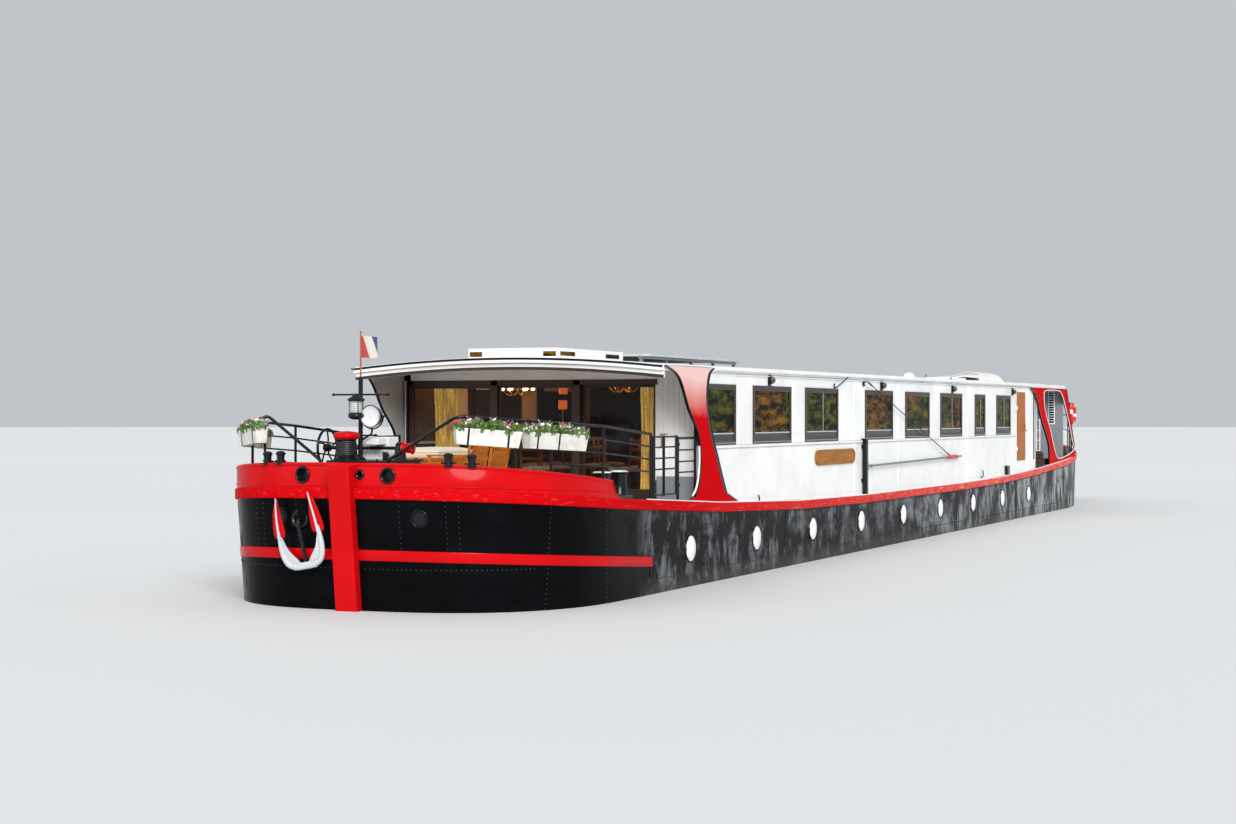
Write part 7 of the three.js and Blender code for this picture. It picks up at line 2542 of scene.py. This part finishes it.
class BOAT_OT_bollards(bpy.types.Operator):
    """Paired mooring posts, black with pale caps, and the small fairleads on the bulwark"""

    bl_idname = "boat.bollards"
    bl_label = "Bollards"

    def execute(self, context):
        for end, s, half in BOLLARDS:
            under, low = sorted((deck_h(s - 0.44), deck_h(s + 0.44)))
            for name, sign in SIDES:
                y = sign * half
                black = [block(s - 0.44, s + 0.44, y - 0.13, y + 0.13, under, low + 0.02)]
                caps = []
                for spot in (at(s - 0.28, y, low), at(s + 0.28, y, low)):
                    black.append(lathe([(0, 0.018), (0.118, 0.018), (0.107, 0.035), (0.104, 0.29),
                                        (0.108, 0.302), (0.124, 0.31), (0.124, 0.322), (0, 0.322)], spot,
                                       UP, 40))
                    caps.append(lathe([(0, 0.32), (0.118, 0.32), (0.121, 0.326), (0.117, 0.335),
                                       (0.09, 0.341), (0.05, 0.344), (0, 0.345)], spot, UP, 40))
                for u in (-0.4, 0.4):
                    for v in (-0.1, 0.1):
                        black.append(lathe([(0, 0), (0.014, 0), (0.014, 0.008), (0, 0.011)],
                                           at(s + u, y + v, low + 0.019), UP, 8))
                piece(f"bollard_posts_{end}_{name}", black, ["black_gloss"],
                      replaces=[f"bollards_{end}_{name}"], bevel=0.003)
                piece(f"bollard_caps_{end}_{name}", caps, ["white_gloss"])
        rollers = []
        for sign, middles in ((1, (1.31, 1.56)), (-1, (0.97, 1.2))):
            for y in middles:
                s = bow_s(y, deck_h(0.5)) + 0.028
                top = bulwark_top(s) - 0.004
                rollers.append(lathe([(0, 0), (0.068, 0), (0.07, 0.016), (0.052, 0.026), (0.046, 0.07),
                                      (0.05, 0.118), (0.06, 0.126), (0.062, 0.142), (0.046, 0.162),
                                      (0.02, 0.17), (0, 0.171)], at(s, sign * y, top), UP, 28))
                rollers.append(tube([at(s - 0.03, sign * (y - 0.085), top + 0.05),
                                     at(s + 0.03, sign * (y + 0.085), top + 0.05)], 0.011, 12))
        piece("bulwark_rollers", rollers, ["black_gloss"])
        return {"FINISHED"}


class BOAT_OT_boom(bpy.types.Operator):
    """Swinging side boom on its post, with its lift"""

    bl_idname = "boat.boom"
    bl_label = "Boom"

    def execute(self, context):
        s, y = BOOM["s"], BOOM["y"]
        low = deck_h(13.86) - 0.001
        post = [block(13.815, 13.905, 2.421, 2.498, low, 1.95),
                block(13.775, 13.945, 2.413, 2.498, 1.95, 1.975), block(13.79, 13.93, 2.4, 2.43, 1.2, 1.26),
                block(13.79, 13.93, 2.4, 2.43, 1.8, 1.86), block(13.9, 13.965, 2.455, 2.487, 1.41, 1.43),
                block(13.9, 13.965, 2.455, 2.487, 1.53, 1.55)]
        post.append(tube([at(s, y, 1.405), at(s, y, 1.56)], 0.0098, 14))
        post.append(dome(at(s, y, 1.556), UP, 0.015, 0.012, 14, 3))
        post.append(side_plate([rectangle(13.86, 13.99, 2.9, 3.0)], 2.398, 2.412))
        post.append(hoop(at(s, 2.455, 2.985), UP, 0.02, 0.008, 24, 8))
        post.append(block(13.93, 13.97, 2.405, 2.445, 2.975, 2.995))
        piece("boom_post_iron", post, ["black_gloss"], replaces=["boom_post"],
              bevel=0.004)

        arm = [at(s + 0.018, y, BOOM["h"]), at(BOOM["end"], y, BOOM["end_h"])]
        eye = lathe(rectangle(0.0115, 0.024, -0.044, 0.044), at(s, y, BOOM["h"]), UP, 24, ring=True)
        rod = tube(arm, BOOM["radius"], 16)
        ends = [lathe([(0, -0.012), (0.019, -0.012), (0.0205, -0.004), (0.0205, 0.03), (0, 0.03)], arm[1],
                      AHEAD, 16)]
        collars = [lathe([(0.0, -0.02), (0.027, -0.02), (0.029, -0.01), (0.029, 0.01), (0.027, 0.02),
                          (0.0, 0.02)], mix(arm[0], arm[1], share), AHEAD, 20) for share in (0.03, 0.868)]
        piece("boom_tube", [rod, eye, *ends, *collars], ["alloy"], body="boom",
              replaces=["boom"])
        lift = [at(s, y, 2.985), mix(arm[0], arm[1], 0.868) + Vector((0, 0, 0.03))]
        wire = tube(lift, 0.009, 10)
        grips = [tube([mix(lift[0], lift[1], a), mix(lift[0], lift[1], b)], 0.014, 10)
                 for a, b in ((0.01, 0.05), (0.955, 0.99))]
        piece("boom_lift", [wire, *grips], ["black_rubber"], body="boom")
        straps = [hoop(mix(arm[0], arm[1], 0.84 + 0.009 * k), (1, 0.25 * sin(4 * k), 0.3 * cos(3 * k)),
                       0.03 + 0.009 * sin(2.3 * k), 0.006, 20, 8) for k in range(13)]
        piece("boom_lashing", straps, ["faded_red"], body="boom")
        return {"FINISHED"}


# Roof and helm


class BOAT_OT_roof_gear(bpy.types.Operator):
    """Skylight box, solar panels and the folded awning on the roof"""

    bl_idname = "boat.roof_gear"
    bl_label = "Roof gear"

    def execute(self, context):
        start, end, half = SKYLIGHT.values()
        base = roof_top(end, 0.0)
        coaming = rectangle(start, end, half, -half)
        box = flat_plate([coaming], roof_top(start, half) - 0.01, base + 0.09)
        lid = flat_plate([coaming], base + 0.09, base + 0.128)
        ribs = [block(s, s + 0.03, -0.66, 0.66, base + 0.125, base + 0.13) for s in (5.2, 5.8, 6.4)]
        piece("roof_box_shell", [box, lid, *ribs], ["white_gloss"],
              replaces=["roof_box"], bevel=0.006)
        strip = [block(s, s + 0.5, side * half - 0.002, side * half + 0.002, base + 0.02, base + 0.08)
                 for side in (1, -1) for s in (4.75, 6.35)]
        strip += [block(start - 0.002, start + 0.002, y, y + 0.2, base + 0.01, base + 0.08)
                  for y in (-0.68, 0.48)]
        piece("roof_box_glass", strip, ["dark_pane_painted_reflection"])
        self.make_panels()
        self.make_canvas()
        return {"FINISHED"}

    def make_panels(self):
        base = roof_top(11.6, 0.8)
        rails = []
        for sign in (1, -1):
            rails.append(block(7.35, 11.6, sign * 0.8, sign * 0.84, base + 0.045, base + 0.088))
            rails += [block(s, s + 0.06, sign * 0.8, sign * 0.84, roof_top(s, 0.84) - 0.02, base + 0.05)
                      for s in (7.4, 8.4, 9.5, 10.5, 11.5)]
        frames, cells, spots = [], [], []
        long, half = SOLAR["long"], SOLAR["half"]
        for k in range(SOLAR["count"]):
            start = SOLAR["start"] + SOLAR["pitch"] * k
            loops = [rectangle(start, start + long, -half, half),
                     rectangle(start + 0.025, start + long - 0.025, 0.025 - half, half - 0.025)]
            frames.append(flat_plate(loops, base + 0.08, base + 0.115))
            cells.append(block(start + 0.02, start + long - 0.02, 0.02 - half, half - 0.02, base + 0.085,
                               base + 0.108))
            spots += [at(start + 0.098 + 0.161 * i, -0.89 + 0.178 * j, base + 0.1085) for i in range(6)
                      for j in range(11)]
        piece("solar_rails", rails, ["alloy"], replaces=["solar_array"], bevel=0.002)
        piece("solar_frames", frames, ["light_grey"], bevel=0.002)
        piece("solar_backs", cells, ["light_grey"])
        outline = [(-0.076, -0.072), (-0.064, -0.084), (0.064, -0.084), (0.076, -0.072), (0.076, 0.072),
                   (0.064, 0.084), (-0.064, 0.084), (-0.076, 0.072)]
        cell = prism([outline], lambda u, v, w: Vector((u, v, w)), -0.0005, 0.0012)
        repeated("solar_cells", [cell], spots, "solar_cell")

    def make_canvas(self):
        base = roof_top(31.7, 0)
        section = flowing([(-0.7, 0.004), (-0.64, 0.05), (-0.42, 0.06), (-0.2, 0.08), (0.12, 0.1),
                           (0.5, 0.195), (0.7, 0.17), (0.86, 0.115), (0.9, 0.004)], 6)
        rows = []
        for i in range(61):
            t = i / 60
            s = mix(29.0, 31.7, t)
            row = []
            for j, (y, up) in enumerate(section):
                share = j / (len(section) - 1)
                fold = 0.014 * sin(9 * t * pi + 2.2 * sin(3 * share * pi)) + 0.009 * sin(23 * t + 8 * share)
                ends = min(1.0, 9 * t, 9 * (1 - t)) ** 0.5
                row.append(at(s, y, base - (0.02 if up < 0.01 else 0.0)
                              + max(0.0, up * (0.35 + 0.6 * ends * mix(0.35, 1.0, t))
                                    + fold * sin(share * pi) * ends)))
            rows.append(row)
        mesh, area, down = cloth_mesh("awning_cloth", rows, "canvas")
        cloth = fitted(add_object("awning_cloth", mesh), "boat", ["canvas_bundle"])
        ties = []
        for s in (29.45, 30.35, 31.25):
            loop = [at(s + 0.004 * sin(5 * y), y, base + up + 0.012) for y, up in section]
            ties.append(tube(loop, 0.006, 8))
        piece("awning_ties", ties, ["canvas"])


class BOAT_OT_helm(bpy.types.Operator):
    """Steering stand in the roof well, with the spoked wheel"""

    bl_idname = "boat.helm"
    bl_label = "Helm"

    def execute(self, context):
        floor = deck_h(27.6)
        stand = [block(26.95, 28.25, -0.64, 0.64, floor - 0.02, 2.15),
                 block(28.249, 28.55, -0.3, 0.3, floor - 0.02, 1.6),
                 block(26.96, 27.18, -0.26, 0.26, 2.15, 2.95),
                 side_plate([[(26.96, 2.95), (27.18, 2.95), (27.17, 2.98), (26.98, 3.02)]], -0.25, 0.25)]
        piece("helm_stand_box", stand, ["white_gloss"], replaces=["helm_stand"],
              bevel=0.01)
        treads = [block(26.97, 28.24, y, y + 0.09, 2.148, 2.153)
                  for y in (-0.62 + 0.1 * k for k in range(12))]
        treads += [block(28.26, 28.54, y, y + 0.09, 1.598, 1.603)
                   for y in (-0.29 + 0.1 * k for k in range(6))]
        piece("helm_treads", treads, ["raw_teak"], bevel=0.001)
        dials = []
        for y in (-0.16, -0.05, 0.06, 0.17):
            dials.append(lathe([(0, 0), (0.04, 0), (0.042, 0.006), (0.036, 0.009), (0.034, 0.004),
                                (0, 0.004)], at(27.18, y, 2.8), (-1, 0, 0), 28))
        dials.append(tube([at(27.179, 0, 2.9), at(27.268, 0, 2.9)], 0.032, 20))
        dials.append(tube([at(27.08, 0.21, 2.98), at(27.1, 0.21, 3.015)], 0.007, 8))
        piece("helm_dials", dials, ["black_gloss"])

        centre = at(WHEEL["s"], 0, WHEEL["h"])
        wood = [hoop(centre, AHEAD, WHEEL["radius"], 0.0195, 72, 12)]
        for turn in turns(8):
            turned = [(0.0, 0.05), (0.014, 0.05), (0.014, 0.08), (0.019, 0.1), (0.012, 0.12), (0.017, 0.2),
                      (0.012, 0.28), (0.018, 0.31), (0.013, 0.34), (0.013, 0.4), (0.0115, 0.415),
                      (0.0165, 0.44), (0.0175, 0.46), (0.014, 0.48), (0.0, 0.4895)]
            wood.append(lathe(turned, centre, (0, cos(turn), sin(turn)), 14))
        wood.append(lathe([(0, -0.026), (0.05, -0.026), (0.055, -0.01), (0.055, 0.012), (0.05, 0.026),
                           (0, 0.026)], centre, AHEAD, 36))
        piece("wheel_wood", wood, ["varnished_wood"], body="helm_wheel",
              replaces=["helm_wheel"])
        profiles = ([(0, 0.02), (0.03, 0.02), (0.034, 0.03), (0.026, 0.038), (0, 0.0395)],
                    [(0, -0.0295), (0.03, -0.0295), (0.032, -0.026), (0, -0.024)])
        brass = [lathe(profile, centre, AHEAD, 28) for profile in profiles]
        brass += [hoop(centre + Vector((side * 0.0165, 0, 0)), AHEAD, WHEEL["radius"], 0.0028, 64, 6)
                  for side in (1, -1)]
        piece("wheel_brass", brass, ["brass"], body="helm_wheel")
        return {"FINISHED"}


# Stern and running gear


class BOAT_OT_stern(bpy.types.Operator):
    """Stern rail, ladder, lifebuoy and the gear on the after deck"""

    bl_idname = "boat.stern"
    bl_label = "Stern"

    def execute(self, context):
        inset = [(s - out_s * 0.11, y - out_y * 0.11)
                 for s, y, out_s, out_y in outward_path([p for p in OUTLINES[-1] if p[0] > 32.6])]
        inset = [p for p in inset if p[0] >= 33.25 and p[1] > 0.0]
        loop = inset + [(s, -y) for s, y in reversed(inset)]
        shells = []
        for above, radius in ((0.88, 0.018), (0.48, 0.014)):
            shells.append(tube([at(s, y, deck_h(s) + above) for s, y in loop], radius, 14))
        for s, y in self.spaced(loop, 13):
            shells.append(tube([at(s, y, deck_h(s) - 0.001), at(s, y, deck_h(s) + 0.88)], 0.016, 12))
            shells.append(lathe([(0, 0), (0.034, 0), (0.034, 0.008), (0.018, 0.014), (0, 0.014)],
                                at(s, y, deck_h(s)), UP, 18))
            shells.append(ball(at(s, y, deck_h(s) + 0.48), 0.021, 12))
        s, y = loop[0]
        shells.append(tube([at(s, y, deck_h(s) + 0.86), at(s, y, 2.725)], 0.016, 12))
        shells.append(ball(at(s, y, 2.72), 0.0165, 12))
        piece("stern_rail_tubes", shells, ["black_gloss"], replaces=["stern_railing"])
        self.make_buoy(s)
        self.make_ladder()
        hatch = flat_plate([rectangle(34.75, 35.65, -0.45, 0.45)], deck_h(34.75) - 0.02, deck_h(35.65) + 0.06)
        piece("steering_hatch", [hatch], ["red_gloss"], bevel=0.015)
        return {"FINISHED"}

    def spaced(self, line, count):
        """Places at even distances along a line of (s, y) points."""
        lengths = [0.0]
        for a, b in zip(line, line[1:]):
            lengths.append(lengths[-1] + dist(a, b))
        for k in range(count):
            want = lengths[-1] * k / (count - 1)
            i = next(i for i in range(1, len(lengths)) if lengths[i] >= want - 1e-9)
            share = (want - lengths[i - 1]) / (lengths[i] - lengths[i - 1])
            yield mix(line[i - 1][0], line[i][0], share), mix(line[i - 1][1], line[i][1], share)

    def make_buoy(self, s):
        centre = at(s - 0.005, 2.38, 2.43)
        radius, thick = 0.3 - 0.062, 0.06
        red, white = [], []
        for k in range(8):
            start = (k // 2) * pi / 2 + (0.36 if k % 2 else 0.0)
            end = (k // 2 + 1) * pi / 2 if k % 2 else start + 0.38
            wide = thick if k % 2 else thick + 0.0012
            ring = [centre + Vector((radius * cos(a), 0, radius * sin(a))) for a in evenly(start, end, 12)]
            (red if k % 2 else white).append(tube(ring, wide, 20))
        piece("lifebuoy_body", red, ["buoy_red"], replaces=["lifebuoy"])
        piece("lifebuoy_bands", white, ["white_gloss"])
        grab = []
        for k in range(4):
            mid = k * pi / 2 + pi / 4 + 0.05
            arc = [centre + Vector((cos(a), 0, sin(a))) * (radius + 0.048 + 0.01 * cos((a - mid) * 3))
                   for a in evenly(mid - 0.7, mid + 0.7, 12)]
            grab.append(tube(arc, 0.004, 8))
        piece("lifebuoy_line", grab, ["canvas"])

    def make_ladder(self):
        s, middle, half, top = LADDER.values()
        tubes = []
        low = deck_h(s) - 0.001
        for side in (-1, 1):
            foot = at(s + side * half, middle, low)
            tubes.append(tube(rounded([foot, at(s + side * half, middle, top - 0.02),
                                       at(s + side * half, 1.752, top - 0.02)], 0.05), 0.016, 12))
        for k in range(int((top - 0.2 - low) / 0.26)):
            h = low + 0.26 * (k + 1)
            tubes.append(tube([at(s - half, middle, h), at(s + half, middle, h)], 0.012, 10))
            tubes += [ball(at(s + side * half, middle, h), 0.019, 10) for side in (-1, 1)]
        piece("ladder_tubes", tubes, ["white_gloss"], replaces=["ladder"])


class BOAT_OT_running_gear(bpy.types.Operator):
    """Rudder and propeller under the stern"""

    bl_idname = "boat.running_gear"
    bl_label = "Running gear"

    def execute(self, context):
        def lift(h):
            return h - WATERLINE

        rings = []
        for z in (0.14, 0.16, 0.5, 0.94, 0.96):
            narrow = 0.7 if z in (0.14, 0.96) else 1.0
            ring = []
            for t in turns(24):
                along = 36.65 + 0.6 * (1 - cos(t))
                thick = 0.03 * narrow * sin(t) * (1.25 - 0.55 * (1 - cos(t)) / 2)
                ring.append(at(along, clamp(thick, -0.03, 0.03), lift(z)))
            rings.append(ring)
        blade = loft(rings)
        stock = lathe(rectangle(0, 0.05, 0, 0.119), at(RUDDER_STOCK, 0, lift(0.94)), UP, 24)
        heel = lathe(rectangle(0, 0.04, 0.001, 0.07), at(RUDDER_STOCK, 0, lift(0.09)), UP, 24)
        ribs = [side_plate([rectangle(36.72, 37.7, lift(z), lift(z + 0.02))], -0.0298, 0.0298)
                for z in (0.35, 0.55, 0.75)]
        piece("rudder_blade", [blade, stock, heel, *ribs], ["bottom_black"], body="rudder",
              replaces=["rudder"], bevel=0.003)

        centre = at(PROPELLER["s"], 0, PROPELLER["h"])
        boss = lathe([(0, -0.128), (0.03, -0.12), (0.055, -0.09), (0.072, -0.03), (0.078, 0.03),
                      (0.076, 0.092), (0, 0.092)], centre, AHEAD, 36)
        blades = []
        for k in range(4):
            rings = []
            for i in range(10):
                share = i / 9
                radius = mix(0.06, 0.385, share)
                chord = 0.17 * sqrt(max(0.02, 1 - (2 * share - 1.05) ** 2 * 0.92)) + 0.02 * (1 - share)
                pitch = atan2(0.42, 2 * pi * radius)
                thick = mix(0.016, 0.003, share)
                skew = pi / 2 * k + 0.22 * share**2
                ring = []
                for t in turns(16):
                    u, v = chord * 0.5 * cos(t), thick * sin(t)
                    along = u * sin(pitch) + v * cos(pitch)
                    around = (u * cos(pitch) - v * sin(pitch)) / radius
                    ring.append(centre + Vector((along, radius * cos(skew + around),
                                                 radius * sin(skew + around))))
                rings.append(ring)
            blades.append(loft(rings))
        piece("propeller_blades", [boss, *blades], ["bronze"], body="propeller",
              replaces=["propeller"], smooth=50)
        return {"FINISHED"}


GROUPS = (("boat_colours", BoatColours), ("boat_sizes", BoatSizes), ("boat_stage", BoatStage))
STEPS = (
    BOAT_OT_stage, BOAT_OT_mooring_rope, BOAT_OT_hull, BOAT_OT_portholes, BOAT_OT_house, BOAT_OT_windows,
    BOAT_OT_front, BOAT_OT_saloon, BOAT_OT_curtains, BOAT_OT_side_panels, BOAT_OT_doors, BOAT_OT_windlass,
    BOAT_OT_bow_mast, BOAT_OT_anchor, BOAT_OT_railings, BOAT_OT_gates, BOAT_OT_flowers,
    BOAT_OT_deck_furniture, BOAT_OT_bollards, BOAT_OT_boom, BOAT_OT_roof_gear, BOAT_OT_helm, BOAT_OT_stern,
    BOAT_OT_running_gear,
)


class BOAT_PT_panel(bpy.types.Panel):
    """Sizes, colours and the pieces in the order in which they are made"""

    bl_idname = "BOAT_PT_panel"
    bl_label = "River boat"
    bl_space_type = "VIEW_3D"
    bl_region_type = "UI"
    bl_category = "River boat"

    def draw(self, context):
        for name, group in GROUPS:
            box = self.layout.box()
            box.label(text=group.__doc__)
            for field in group.__annotations__:
                box.prop(getattr(context.scene, name), field)
        for step in STEPS:
            self.layout.operator(step.bl_idname)


def register():
    for name, group in GROUPS:
        bpy.utils.register_class(group)
        setattr(bpy.types.Scene, name, PointerProperty(type=group))
    for item in (*STEPS, BOAT_PT_panel):
        bpy.utils.register_class(item)


def unregister():
    for item in reversed((*STEPS, BOAT_PT_panel)):
        bpy.utils.unregister_class(item)
    for name, group in reversed(GROUPS):
        delattr(bpy.types.Scene, name)
        bpy.utils.unregister_class(group)


def main():
    register()
    for step in STEPS:
        getattr(bpy.ops.boat, step.bl_idname.split(".")[1])()


if __name__ == "__main__":
    main()
